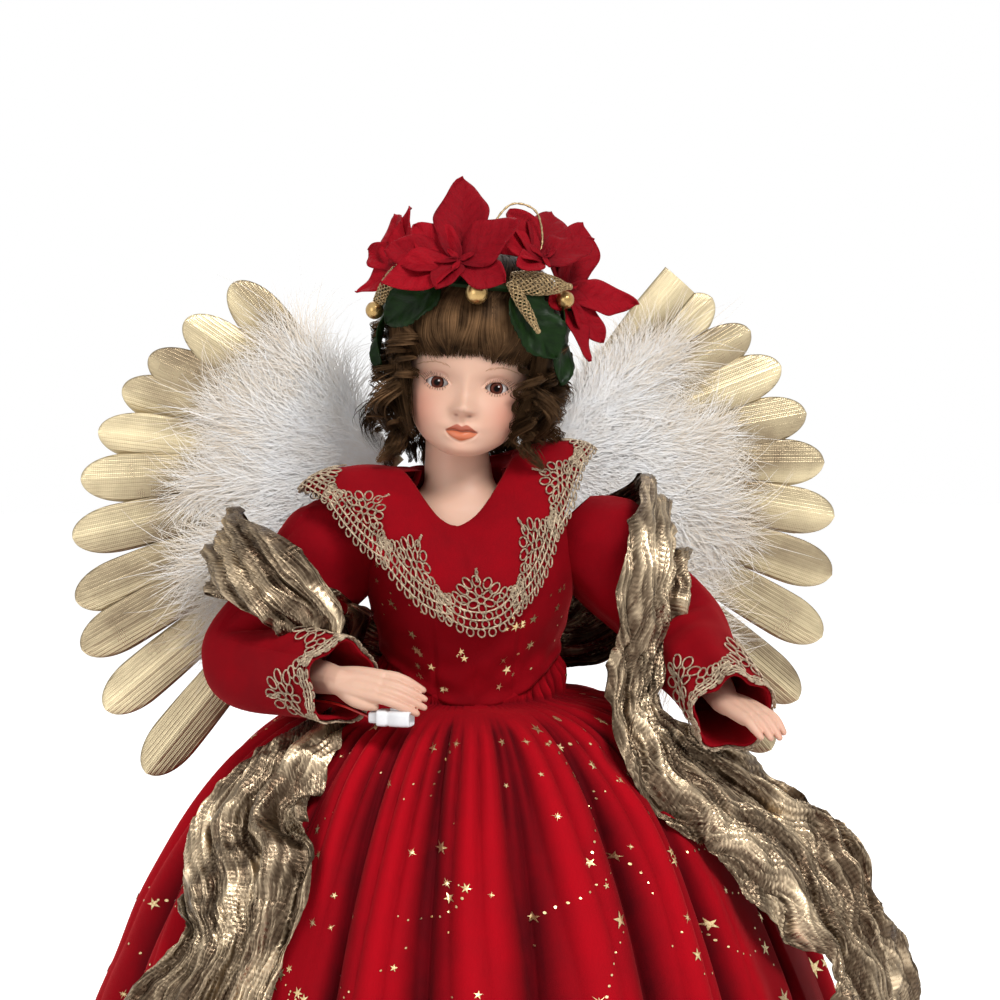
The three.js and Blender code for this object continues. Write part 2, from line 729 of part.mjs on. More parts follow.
const worldToHead = (geometry) => geometry.applyMatrix4(headFrame.clone().invert());

// Outside of the cap, grown by a gap
function capBody(grow) {
  const hair = HAIR_THICK + grow;
  const cap = loft(headRings(hair, FRINGE_THICK + grow, hair, CAP_RINGS, CAP_POINTS));
  return cap.scale(1, 1, 1 + hair / HEAD_SECTIONS.at(-1)[0]);
}

// One ringlet: a lock wound round an upright line beside the cap, slimmer at its ends
function makeRinglet(bearing, bottom) {
  const row = HEAD_SECTIONS.findLast(([z]) => z <= RINGLET_TOP);
  const stand = HAIR_THICK + RINGLET_COIL + RINGLET_THICK - RINGLET_PRESS;
  const out = degToRad(bearing);
  const reach = Math.cos(out) > 0 ? row[2] : row[3];
  const x = (row[1] + stand) * Math.sin(out);
  const y = -(reach + stand) * Math.cos(out);
  const points = Array.from({ length: 4 * RINGLET_TURNS + 1 }, (_, k) => {
    const angle = (k * Math.PI) / 2 - out;
    const z = lerp(RINGLET_TOP, bottom + RINGLET_THICK, k / (4 * RINGLET_TURNS));
    return V(x + RINGLET_COIL * Math.cos(angle), y + RINGLET_COIL * Math.sin(angle), z);
  });
  const radii = [0.55, 0.95, 1, 0.9, 0.4].map((share) => share * RINGLET_THICK);
  return cut(limb(points, radii, 13, 4), capBody(SEAT));
}

// Wreath pieces stand on the wire ring: a frame at a bearing from the front
function wreathPoint(bearing) {
  const angle = degToRad(bearing);
  const y = WREATH_BACK - WREATH_HALF_DEPTH * Math.cos(angle);
  return V(WREATH_HALF_WIDTH * Math.sin(angle), y, WREATH_LEVEL);
}

// Frame whose Z looks out from the ring at a bearing and a lift above level, raised above the ring
function wreathFrame(bearing, lift, raise, stand) {
  const angle = degToRad(bearing);
  const rise = degToRad(lift);
  const out = V(Math.sin(angle) * Math.cos(rise), -Math.cos(angle) * Math.cos(rise), Math.sin(rise));
  const side = V(Math.cos(angle), Math.sin(angle), 0);
  const frame = new THREE.Matrix4().makeBasis(side, out.clone().cross(side), out);
  return frame.setPosition(wreathPoint(bearing).add(V(0, 0, raise)).addScaledVector(out, stand));
}

function makeWreathWire(grow = 0) {
  const ring = new THREE.TorusGeometry(WREATH_HALF_WIDTH, WREATH_WIRE + grow, 5, 24);
  return ring.scale(1, WREATH_HALF_DEPTH / WREATH_HALF_WIDTH, 1).translate(0, WREATH_BACK, WREATH_LEVEL);
}

// A pointed blade along +X: width and thickness swell from the stalk and close at the tip, bent up or down
function blade(length, width, thick, bend, grow = 0) {
  const rows = [[0, 0.3], [0.45, 1], [1, 0.06]];
  const rings = rows.map(([share, swell]) => {
    const x = share * length;
    const half = (width / 2) * swell + grow;
    const deep = thick / 2 + grow;
    const lift = bend * share * share * length;
    return [V(x, -half, lift), V(x, 0, lift - deep), V(x, half, lift), V(x, 0, lift + deep)];
  });
  return loft(rings);
}

// Poinsettia: pointed petals round a small heart, with a short stem to the wire ring
function makeFlower([, bearing, lift, raise, length, turn], grow = 0) {
  const petals = Array.from({ length: PETALS }, (_, k) => {
    const reach = length * (k % 2 ? 0.82 : 1);
    const petal = blade(reach, length * 0.42, PETAL_THICK, k % 2 ? 0.28 : 0.12, grow);
    return petal.rotateZ(degToRad(turn) + (TURN * k) / PETALS);
  });
  const heart = ball(FLOWER_HEART + grow, V(0, 0, 0), V(1, 1, 0.6), 6, 4);
  const stand = WREATH_WIRE + FLOWER_HEART * 0.4;
  const frame = wreathFrame(bearing, lift, raise, stand);
  const flower = joined(heart, ...petals).applyMatrix4(frame);
  const foot = wreathPoint(bearing);
  const middle = V(0, 0, 0).applyMatrix4(frame);
  return joined(flower, limb([foot, middle], [STEM_RADIUS + grow, STEM_RADIUS + grow], 2, 5));
}

function makeWreathBlade([, bearing, lift, raise, length, width, turn], grow = 0) {
  const leaf = blade(length, width, BLADE_THICK, BLADE_BEND, grow).rotateZ(degToRad(turn));
  const stand = WREATH_WIRE + BLADE_THICK;
  return leaf.applyMatrix4(wreathFrame(bearing, lift, raise, stand));
}

function makeBerry([, bearing, radius], grow = 0) {
  const out = wreathPoint(bearing).setZ(0).normalize();
  const stand = WREATH_WIRE + SEAT + radius * 0.8;
  const middle = wreathPoint(bearing).addScaledVector(out, stand).add(V(0, 0, -radius * 0.6));
  return ball(radius + grow, middle, V(1, 1, 1), 8, 6);
}

// Arms: stuffed upper arm with a ball at the elbow, and porcelain forearm with its hand
function makeUpperArm({ shoulder, elbow }) {
  const past = (share) => shoulder.clone().lerp(elbow, share);
  const points = [past(-0.24), past(-0.12), past(0.1), past(0.5), past(0.88), past(1)];
  const radii = [0.3 * SHOULDER_BALL, 0.8 * SHOULDER_BALL, SHOULDER_BALL, UPPER_ARM_RADIUS];
  const stuffed = limb(points, [...radii, 0.75 * ELBOW_BALL, 0.6 * ELBOW_BALL], 8, 8);
  const arm = joined(stuffed, ball(ELBOW_BALL, elbow));
  return cut(arm, acrossBar(ARM_WIRE_RADIUS + SEAT, ARM_WIRE_HALF + WIRE_END_ROOM));
}

function handFrame({ wrist, tip, back }) {
  const along = tip.clone().sub(wrist).normalize();
  const across = along.clone().cross(back).normalize();
  return { along, across, back: across.clone().cross(along), length: tip.distanceTo(wrist) };
}

function palmRings(arm) {
  const { along, across, back } = handFrame(arm);
  const rows = [
    [0, WRIST_RADIUS, WRIST_RADIUS * 0.8],
    [0.4, PALM_HALF_WIDTH * 0.86, PALM_HALF_THICK * 1.2],
    [0.8, PALM_HALF_WIDTH, PALM_HALF_THICK],
    [1, PALM_HALF_WIDTH * 0.94, PALM_HALF_THICK * 0.8],
  ];
  return rows.map(([share, wide, thick]) => {
    const middle = arm.wrist.clone().addScaledVector(along, share * PALM_LENGTH);
    return Array.from({ length: 8 }, (_, k) => {
      const angle = (TURN * k) / 8;
      const point = middle.clone().addScaledVector(across, wide * Math.cos(angle));
      return point.addScaledVector(back, thick * Math.sin(angle));
    });
  });
}

function fingerBodies(arm, thumbSide) {
  const { along, across, back, length } = handFrame(arm);
  const place = (x, y, z) => {
    const point = arm.wrist.clone().addScaledVector(along, x).addScaledVector(across, y);
    return point.addScaledVector(back, z);
  };
  const radii = [FINGER_RADIUS, FINGER_RADIUS * 0.95, FINGER_RADIUS * 0.5];
  const fingers = [-1.5, -0.5, 0.5, 1.5].map((slot) => {
    const reach = length - PALM_LENGTH - 2.2 * Math.abs(slot - 0.3 * thumbSide);
    const y = (slot * PALM_HALF_WIDTH) / 2;
    const start = PALM_LENGTH - FINGER_RADIUS;
    const droop = -FINGER_CURL * reach;
    const bend = place(start + reach * 0.6, y, droop * 0.25);
    return limb([place(start, y, 0), bend, place(start + reach, y, droop)], radii, 3, 5);
  });
  const side = thumbSide * PALM_HALF_WIDTH;
  const thumb = [place(5, side * 0.6, -1), place(13, side * 1.25, -3), place(22, side * 1.35, -6)];
  return [...fingers, limb(thumb, radii, 3, 5)];
}

function makeForearm(arm, thumbSide) {
  const toward = arm.wrist.clone().sub(arm.elbow).normalize();
  const onBone = (reach) => arm.elbow.clone().addScaledVector(toward, reach);
  const inPalm = arm.wrist.clone().addScaledVector(handFrame(arm).along, PALM_LENGTH * 0.3);
  const stub = ELBOW_BALL + SEAT;
  const middle = arm.elbow.clone().lerp(arm.wrist, 0.6);
  const points = [onBone(stub), onBone(stub + STUB_LENGTH), middle, arm.wrist, inPalm];
  const bone = limb(points, [STUB_RADIUS, FOREARM_RADIUS, FOREARM_RADIUS, WRIST_RADIUS, STUB_RADIUS], 8, 8);
  return joined(bone, loft(palmRings(arm)), ...fingerBodies(arm, thumbSide));
}

const makeArmWire = () => acrossBar(ARM_WIRE_RADIUS, ARM_WIRE_HALF);

// Sleeves: cloth over the shoulder, elbow and forearm, open at the cuff, with lace round the cuff
function sleeveRings({ shoulder: joint, elbow, wrist }, grow, reach = 0) {
  const shoulder = joint.clone().add(V(0, 0, SLEEVE_PUFF));
  const down = elbow.clone().sub(shoulder).normalize();
  const onward = wrist.clone().sub(elbow).normalize();
  const across = down.clone().cross(onward).normalize();
  const [top, upper, bend, fore, cuff] = SLEEVE_RADII;
  const stations = [
    [shoulder.clone().addScaledVector(down, -top * 0.85), down, top * 0.5],
    [shoulder.clone().addScaledVector(down, -top * 0.5), down, top * 0.86],
    [shoulder, down, top],
    [shoulder.clone().lerp(elbow, 0.5), down, upper],
    [elbow, down.clone().add(onward).normalize(), bend],
    [elbow.clone().lerp(wrist, 0.5), onward, fore],
    [wrist.clone().addScaledVector(onward, reach), onward, cuff],
  ];
  return stations.map(([middle, way, radius]) => {
    const side = way.clone().cross(across);
    return Array.from({ length: SLEEVE_POINTS }, (_, k) => {
      const angle = (TURN * k) / SLEEVE_POINTS;
      const point = middle.clone().addScaledVector(across, (radius + grow) * Math.cos(angle));
      return point.addScaledVector(side, (radius + grow) * Math.sin(angle));
    });
  });
}

const sleeveBody = (arm, grow) => loft(sleeveRings(arm, grow));

function makeSleeve(arm) {
  const cloth = shell(sleeveRings(arm, 0), sleeveRings(arm, -CLOTH));
  return cut(cloth, bodiceBody(SEAT), acrossBar(ARM_WIRE_RADIUS + SEAT, ARM_WIRE_HALF + SEAT));
}

function cuffRings(arm, grow) {
  const [fore, cuff] = sleeveRings(arm, 2 * SEAT + grow).slice(-2);
  const start = fore.map((point, k) => point.clone().lerp(cuff[k], CUFF_LACE_START));
  return [start, cuff];
}

const makeCuffLace = (arm) => shell(cuffRings(arm, LACE), cuffRings(arm, 0));

const cuffBody = (arm, grow) => loft(cuffRings(arm, LACE + grow));

// Collar: a cape from the neck edge over the shoulders to a point in front
function collarEdge({ middle, tipX, half, front, back, frontZ, sideZ, backZ }, angle) {
  const facing = Math.cos(angle);
  const ahead = Math.max(0, facing);
  const x = lerp(middle, tipX, ahead ** 4) + half * Math.sin(angle);
  const z = facing > 0 ? lerp(sideZ, frontZ, ahead ** 3) : lerp(sideZ, backZ, facing ** 2);
  return V(x, -(facing > 0 ? front : back) * facing, z + COLLAR_TILT * x * (1 - ahead));
}

function collarPoint(angle, share) {
  const inner = collarEdge(COLLAR_NECK, angle);
  const outer = collarEdge(COLLAR_EDGE, angle);
  const point = inner.lerp(outer, share);
  const swell = 4 * share * (1 - share) * COLLAR_RISE;
  const out = V(Math.sin(angle), -Math.cos(angle), 1).normalize();
  return point.addScaledVector(out, swell);
}

function collarRings(start, end, lift) {
  return Array.from({ length: COLLAR_ROWS + 1 }, (_, i) => {
    return Array.from({ length: COLLAR_POINTS }, (_, k) => {
      const angle = (TURN * k) / COLLAR_POINTS;
      const share = lerp(start(angle), end, i / COLLAR_ROWS);
      const out = V(Math.sin(angle), -Math.cos(angle), 1).normalize();
      return collarPoint(angle, share).addScaledVector(out, lift);
    });
  });
}

function makeCollar() {
  const rings = (lift) => collarRings(() => 0, 1, lift);
  const cloth = shell(rings(CLOTH), rings(0));
  return cut(cloth, bodiceBody(SEAT), sleeveBody(RIGHT_ARM, SEAT), sleeveBody(LEFT_ARM, SEAT));
}

function makeCollarLace() {
  const start = (angle) => COLLAR_LACE_START - 0.1 * Math.abs(Math.cos((COLLAR_SCALLOPS * angle) / 2));
  const rings = (lift) => collarRings(start, 1.03, lift);
  const lace = shell(rings(CLOTH + SEAT + LACE), rings(CLOTH + SEAT));
  return cut(lace, bodiceBody(SEAT), sleeveBody(RIGHT_ARM, SEAT), sleeveBody(LEFT_ARM, SEAT));
}

// Wings: a fan of foil feathers on a card, a pad of down in front, a wire that turns in a bracket
function featherOutline(length) {
  const half = FEATHER_HALF_WIDTH;
  const outline = new THREE.Shape();
  outline.moveTo(0, -half * 0.4);
  outline.quadraticCurveTo(length * 0.5, -half * 0.6, length - 2 * half, -half);
  outline.bezierCurveTo(length - half, -half, length, -half * 0.7, length, 0);
  outline.bezierCurveTo(length, half * 0.7, length - half, half, length - 2 * half, half);
  outline.quadraticCurveTo(length * 0.5, half * 0.6, 0, half * 0.4);
  return outline;
}

function featherLength(i) {
  const share = i / (FEATHERS - 1);
  return lerp(FEATHER_SHORT, FEATHER_LONG, share ** 1.15);
}

const featherAngle = (i) => degToRad(lerp(WING_TOP_ANGLE, WING_LOW_ANGLE, i / (FEATHERS - 1)));

// The wing lies in X and Z, its root at the origin, its front towards -Y
function makeFeathers() {
  const feathers = Array.from({ length: FEATHERS }, (_, i) => {
    const shape = { depth: FEATHER_THICK, bevelEnabled: false, curveSegments: 2 };
    const feather = new THREE.ExtrudeGeometry(featherOutline(featherLength(i)), shape);
    feather.rotateX(Math.PI / 2).rotateY(-featherAngle(i));
    return feather.translate(0, FEATHER_THICK + (i % 2) * FEATHER_STAGGER, 0);
  });
  const sector = new THREE.Shape();
  sector.moveTo(0, 0);
  sector.absarc(0, 0, CARD_RADIUS, degToRad(WING_LOW_ANGLE), degToRad(WING_TOP_ANGLE));
  const plate = { depth: FEATHER_THICK * 2, bevelEnabled: false, curveSegments: 5 };
  const card = new THREE.ExtrudeGeometry(sector, plate);
  card.rotateX(Math.PI / 2).translate(0, FEATHER_THICK * 2.6, 0);
  return joined(...feathers, card);
}

function makeDown() {
  const columns = FEATHERS + 1;
  const rows = [[0.06, 0.5], [0.3, 1], [0.65, 0.9], [1, 0.35]];
  const row = ([share, thick], front) =>
    Array.from({ length: columns }, (_, k) => {
      const i = lerp(-0.2, FEATHERS - 0.8, k / (columns - 1));
      const reach = featherLength(Math.max(0, i)) * DOWN_SHARE * share;
      const angle = degToRad(lerp(WING_TOP_ANGLE, WING_LOW_ANGLE, i / (FEATHERS - 1)));
      return V(reach * Math.cos(angle), front ? -SEAT - DOWN_THICK * thick : -SEAT, reach * Math.sin(angle));
    });
  const rings = rows.map((line) => [...row(line, true), ...row(line, false).reverse()]);
  return loft(rings);
}

// Wire: an upright leg in the bracket's barrel, bent out behind the card
function makeWingWire(pin) {
  const behind = WING_ROOT.y + FEATHER_THICK * 2.6 + WING_WIRE + SEAT;
  const points = [
    V(pin.x, pin.y, BRACKET_BOTTOM_Z - 2),
    V(pin.x, pin.y, BRACKET_TOP_Z),
    V(pin.x, pin.y, BRACKET_TOP_Z + 5),
    V(pin.x + 4, behind - 3, WING_ROOT.z - 20),
    V(WING_ROOT.x, behind, WING_ROOT.z - 4),
    V(WING_ROOT.x + CARD_RADIUS * 0.8, behind, WING_ROOT.z - 6),
  ];
  return wireAlong(points, WING_WIRE, 10);
}

function makeBracket() {
  const back = WING_PIN.y - BRACKET_FRONT_Y;
  const plate = block(BRACKET_WIDTH, back, BRACKET_HEIGHT, 0, BRACKET_FRONT_Y + back / 2, BRACKET_BOTTOM_Z);
  const barrel = (x, radius, over) =>
    bar(radius, BRACKET_BOTTOM_Z - over, BRACKET_TOP_Z + over, x, WING_PIN.y, 12);
  const body = joined(plate, barrel(WING_PIN.x, BARREL_RADIUS, 0), barrel(-WING_PIN.x, BARREL_RADIUS, 0));
  const bore = WING_WIRE + SEAT;
  return cut(
    body,
    barrel(WING_PIN.x, bore, OVERCUT),
    barrel(-WING_PIN.x, bore, OVERCUT),
    bodiceBody(SEAT),
  );
}

// Stole: a gathered band from behind the back over both arms and down the skirt
function onSkirt(bearing, z, ease) {
  const share = skirtShare(z);
  const [width, depth] = skirtRadii(share);
  const angle = degToRad(bearing);
  const out = foldDepth(share) + ease;
  return V((width + out) * Math.sin(angle), -(depth + out) * Math.cos(angle), z);
}

// Falls on the skirt: bearing from the front in degrees, height, how far the cloth's middle stands off
const RIGHT_FALL = [[-57, 318, 4], [-53, 290, 7], [-46, 250, 7], [-50, 185, 6], [-53, 90, 6], [-55, 17, 6]];
const LEFT_FALL = [
  [52, 320, 6],
  [60, 300, 14],
  [64, 268, 24],
  [67, 218, 30],
  [65, 150, 18],
  [63, 80, 8],
  [62, 17, 5],
];

const stoleFall = (rows) => rows.map(([bearing, z, ease]) => onSkirt(bearing, z, ease));

function stoleRings() {
  const right = [...RIGHT_STOLE, ...stoleFall(RIGHT_FALL)].reverse();
  const left = [...LEFT_STOLE, ...stoleFall(LEFT_FALL)];
  const path = new THREE.CatmullRomCurve3([...right, STOLE_BACK, ...left], false, "centripetal");
  return Array.from({ length: STOLE_STEPS + 1 }, (_, i) => {
    const share = i / STOLE_STEPS;
    const point = path.getPointAt(share);
    const onward = path.getTangentAt(share);
    const rise = point.z < RIGHT_ARM.elbow.z ? STOLE_RISE_LOW : STOLE_RISE_HIGH;
    const spread = smoothstep(skirtShare(point.z), -0.05, 0.3);
    const fromBody = V(point.x * 0.9, point.y - STOLE_FACING * spread, rise).normalize();
    const side = onward.clone().cross(fromBody).normalize();
    const out = side.clone().cross(onward);
    const half = lerp(STOLE_HALF_WIDTH, STOLE_HEM_HALF_WIDTH, spread);
    return Array.from({ length: STOLE_POINTS }, (_, k) => {
      const angle = (TURN * k) / STOLE_POINTS;
      const fold = 1 + STOLE_FOLD_DEPTH * Math.cos(STOLE_FOLDS * Math.PI * Math.cos(angle));
      const moved = point.clone().addScaledVector(side, half * Math.cos(angle));
      return moved.addScaledVector(out, STOLE_HALF_THICK * Math.sin(angle) * fold);
    });
  });
}

function makeStole() {
  return cut(
    loft(stoleRings()),
    skirtBody(SEAT),
    bodiceBody(SEAT),
    sleeveBody(RIGHT_ARM, SEAT),
    sleeveBody(LEFT_ARM, SEAT),
    cuffBody(RIGHT_ARM, SEAT),
    cuffBody(LEFT_ARM, SEAT),
  );
}

// Plug with its twin lead, under the right hand
function makePlug() {
  const { along } = handFrame(RIGHT_ARM);
  const body = new THREE.BoxGeometry(PLUG_LENGTH, PLUG_WIDTH, PLUG_HEIGHT);
  const hole = (y) => {
    const pin = new THREE.CylinderGeometry(PIN_HOLE_RADIUS, PIN_HOLE_RADIUS, 2 * PIN_HOLE_DEPTH, 8);
    return pin.rotateZ(Math.PI / 2).translate(PLUG_LENGTH / 2, y, 0);
  };
  const plug = cut(body, hole(-PLUG_WIDTH / 4), hole(PLUG_WIDTH / 4));
  const turn = Math.atan2(along.y, along.x);
  return plug.rotateZ(turn).translate(PLUG_MIDDLE.x, PLUG_MIDDLE.y, PLUG_MIDDLE.z);
}

function makeHandLead() {
  const { along } = handFrame(RIGHT_ARM);
  const level = along.clone().setZ(0).normalize();
  const end = PLUG_MIDDLE.clone().addScaledVector(level, -PLUG_LENGTH / 2 - 2 * SEAT);
  const under = RIGHT_ARM.wrist.clone().add(V(0, 0, -WRIST_RADIUS - 4));
  const inSleeve = RIGHT_ARM.elbow.clone().lerp(RIGHT_ARM.wrist, 0.6).add(V(0, 0, -FOREARM_RADIUS - 4));
  return wireAlong([inSleeve, under, end], LEAD_RADIUS, 10);
}

const figure = new THREE.Group();

function add(name, finish, geometry, parent = figure) {
  const [color, roughness, metalness] = FINISH[finish];
  const mesh = new THREE.Mesh(geometry, new THREE.MeshStandardMaterial({ color, roughness, metalness }));
  mesh.name = name;
  parent.add(mesh);
  return mesh;
}

function addBase() {
  add("base_plate", "wood", makeBase());
  add("skirt_core", "foam", makeBell());
  add("support_post", "wood", makePost());
  add("battery_box", "casing", makeBox());
  add("battery_door", "casing", makeDoor());
  [-1, 1].forEach((side, i) => {
    const cell = add(`cell_${i + 1}`, "jacket", makeCell());
    cell.rotation.x = (side * Math.PI) / 2;
    cell.position.set(BOX_X + (side * CELL_PITCH) / 2, 0, CELL_Z);
  });
  add("switch_knob", "casing", makeKnob());
  add("lead_riser", "lead", makeRiser());
}

function addHead() {
  add("porcelain_head", "porcelain", makeHead());
  const head = new THREE.Group();
  head.applyMatrix4(headFrame);
  figure.add(head);
  for (const [name, side] of [["right_eye", -1], ["left_eye", 1]]) {
    add(name, "iris", ball(EYE_RADIUS, eyePlace(side)), head);
  }
  add("wig", "hair", makeWig(), head);
  for (const [name, bearing, bottom] of RINGLETS) {
    add(name, "hair", makeRinglet(bearing, bottom), head);
  }
  addWreath(head);
}

// Each wreath piece is cut clear of the pieces laid before it
function addWreath(head) {
  add("wreath_wire", "wire", makeWreathWire(), head);
  const laid = [
    ...FLOWERS.map((row) => [row[0], "petal", (grow) => makeFlower(row, grow)]),
    ...BERRIES.map((row) => [row[0], "gold", (grow) => makeBerry(row, grow)]),
    ...LEAVES.map((row) => [row[0], "leaf", (grow) => makeWreathBlade(row, grow)]),
    ...SPRIGS.map((row) => [row[0], "gold", (grow) => makeWreathBlade(row, grow)]),
  ];
  const room = [capBody(SEAT), makeWreathWire(SEAT)];
  laid.forEach(([name, finish, make], i) => {
    const before = laid.slice(0, i).map(([, , other]) => other(SEAT));
    add(name, finish, cut(make(0), ...room, ...before), head);
  });
}

function addGown() {
  add("torso", "muslin", makeTorso());
  add("bodice", "velvet", makeBodice());
  add("skirt", "velvet", makeSkirt());
  add("collar", "velvet", makeCollar());
  add("collar_lace", "lace", makeCollarLace());
  add("stole", "lame", makeStole());
}

function addArm(side, arm, thumbSide) {
  add(`${side}_upper_arm`, "muslin", makeUpperArm(arm));
  add(`${side}_forearm`, "porcelain", makeForearm(arm, thumbSide));
  add(`${side}_sleeve`, "velvet", makeSleeve(arm));
  add(`${side}_cuff_lace`, "lace", makeCuffLace(arm));
}

function addWing(side, sign) {
  const wing = new THREE.Group();
  wing.position.set(sign * WING_PIN.x, WING_PIN.y, 0);
  wing.rotation.z = sign * degToRad(WING_SPREAD[side]);
  wing.scale.x = sign;
  figure.add(wing);
  const place = (geometry) => {
    return geometry.translate(WING_ROOT.x - WING_PIN.x, WING_ROOT.y - WING_PIN.y, WING_ROOT.z);
  };
  add(`${side}_wing`, "foil", place(makeFeathers()), wing);
  add(`${side}_wing_down`, "down", place(makeDown()), wing);
  add(`${side}_wing_wire`, "wire", makeWingWire(WING_PIN).translate(-WING_PIN.x, -WING_PIN.y, 0), wing);
}

addBase();
addHead();
addGown();
addArm("right", RIGHT_ARM, 1);
addArm("left", LEFT_ARM, -1);
add("arm_wire", "wire", makeArmWire());
add("wing_bracket", "casing", makeBracket());
addWing("right", -1);
addWing("left", 1);
add("lamp_connector", "casing", makePlug());
add("hand_lead", "lead", makeHandLead());

export default figure;
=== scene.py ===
"""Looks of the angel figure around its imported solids: porcelain, hair, velvet, lace, gilt cloth, foil and down.

Sizes in the classes are millimetres in the shared frame: +Z up, the figure faces -Y and its right side is -X.
"""

import logging
import math
from dataclasses import dataclass, field
from enum import Enum
from typing import Callable

import bpy
import numpy as np
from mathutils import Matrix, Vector


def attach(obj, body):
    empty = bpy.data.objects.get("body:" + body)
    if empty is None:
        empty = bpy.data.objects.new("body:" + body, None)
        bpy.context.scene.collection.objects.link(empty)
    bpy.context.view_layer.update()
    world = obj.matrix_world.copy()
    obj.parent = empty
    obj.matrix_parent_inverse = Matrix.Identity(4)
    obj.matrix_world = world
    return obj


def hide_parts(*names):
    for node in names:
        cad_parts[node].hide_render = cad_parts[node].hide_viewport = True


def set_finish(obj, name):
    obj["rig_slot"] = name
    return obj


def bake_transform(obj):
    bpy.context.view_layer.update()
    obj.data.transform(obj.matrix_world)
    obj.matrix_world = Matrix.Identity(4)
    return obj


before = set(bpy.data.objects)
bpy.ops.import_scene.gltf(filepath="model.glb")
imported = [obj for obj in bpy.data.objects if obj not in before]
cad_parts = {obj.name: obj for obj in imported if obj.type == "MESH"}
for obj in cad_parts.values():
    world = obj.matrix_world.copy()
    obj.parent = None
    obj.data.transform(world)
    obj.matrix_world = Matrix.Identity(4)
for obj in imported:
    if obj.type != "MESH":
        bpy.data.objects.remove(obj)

Array = np.ndarray
Colour = tuple[float, float, float, float]
Point = tuple[float, float, float]
Pair = tuple[float, float]
Rows = tuple[tuple[float, ...], ...]
Socket = bpy.types.NodeSocket
Object = bpy.types.Object

MM = 0.001
TURN = 2 * math.pi
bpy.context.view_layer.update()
FIGURE = "figure"
WHITE: Colour = (1.0, 1.0, 1.0, 1.0)
CHEST: Point = (0.0, 0.0, 0.4)  # what the lamps look at, in metres
SKIN_DEPTH = 2.0  # how far light goes into porcelain, in millimetres
SKIN_GLOSS = 0.1
TONE_GAIN = 1.1
PAINT_DRIFT = 0.05
IRIS_STREAKS = 0.18

logging.basicConfig(level=logging.INFO, format="%(message)s")
log = logging.getLogger("angel_figure")


class Side(Enum):
    """A side of the figure, with the sign of its X."""

    RIGHT = -1
    LEFT = 1

    @property
    def label(self) -> str:
        """Name of the side in the nodes' names."""
        return self.name.lower()


class Colouring(Enum):
    """Where a finish takes its colour from."""

    DRIFT = "two colours that drift over the surface"
    TONE = "two colours mixed by the value of each point"
    PAINT = "the colour painted on each point"
    RINGS = "rings of colour round the middle of an eye"


class Place(Enum):
    """Which coordinates a finish is laid out in."""

    FRAME = "the shared frame"
    SPOT = "the piece's own cloth coordinates"


def shade(red: int, green: int, blue: int) -> Colour:
    """Turns a screen colour into the linear colour of a shader.

    Args:
        red: Red from 0 to 255.
        green: Green from 0 to 255.
        blue: Blue from 0 to 255.

    Returns:
        The linear colour with full alpha.
    """
    parts = [value / 255 for value in (red, green, blue)]
    linear = [v / 12.92 if v <= 0.04045 else ((v + 0.055) / 1.055) ** 2.4 for v in parts]
    return (linear[0], linear[1], linear[2], 1.0)


class Graph:
    """A node tree that is being wired."""

    def __init__(self, tree: bpy.types.NodeTree) -> None:
        """Keeps the tree that nodes are added to."""
        self.tree = tree

    def feed(self, socket: Socket, value: object) -> None:
        """Links a socket to another one, or sets its plain value.

        Args:
            socket: The input.
            value: A socket or a plain value.
        """
        if isinstance(value, Socket):
            self.tree.links.new(value, socket)
        else:
            socket.default_value = value

    def add(self, kind: str, inputs: dict[str, object] | None = None, **settings: object) -> bpy.types.Node:
        """Adds a node.

        Args:
            kind: Blender's name of the node type.
            inputs: Values or sockets by input name.
            **settings: Properties of the node, set before its inputs.

        Returns:
            The new node.
        """
        made = self.tree.nodes.new(kind)
        for name, value in settings.items():
            setattr(made, name, value)
        for name, value in (inputs or {}).items():
            self.feed(made.inputs[name], value)
        return made

    def mix(self, share: object, dark: object, light: object) -> Socket:
        """Mixes two colours by a share from 0 to 1 and returns the colour socket.

        Args:
            share: Share of light.
            dark: Colour at 0.
            light: Colour at 1.

        Returns:
            The socket.
        """
        made = self.add("ShaderNodeMix", data_type="RGBA")
        for index, value in ((0, share), (6, dark), (7, light)):
            self.feed(made.inputs[index], value)
        return made.outputs[2]

    def math(self, operation: str, first: object, second: object) -> Socket:
        """Joins two values by a sum or product and returns the value socket.

        Args:
            operation: Name of the node's operation.
            first: First value.
            second: Second value.

        Returns:
            The socket.
        """
        made = self.add("ShaderNodeMath", operation=operation)
        self.feed(made.inputs[0], first)
        self.feed(made.inputs[1], second)
        return made.outputs[0]


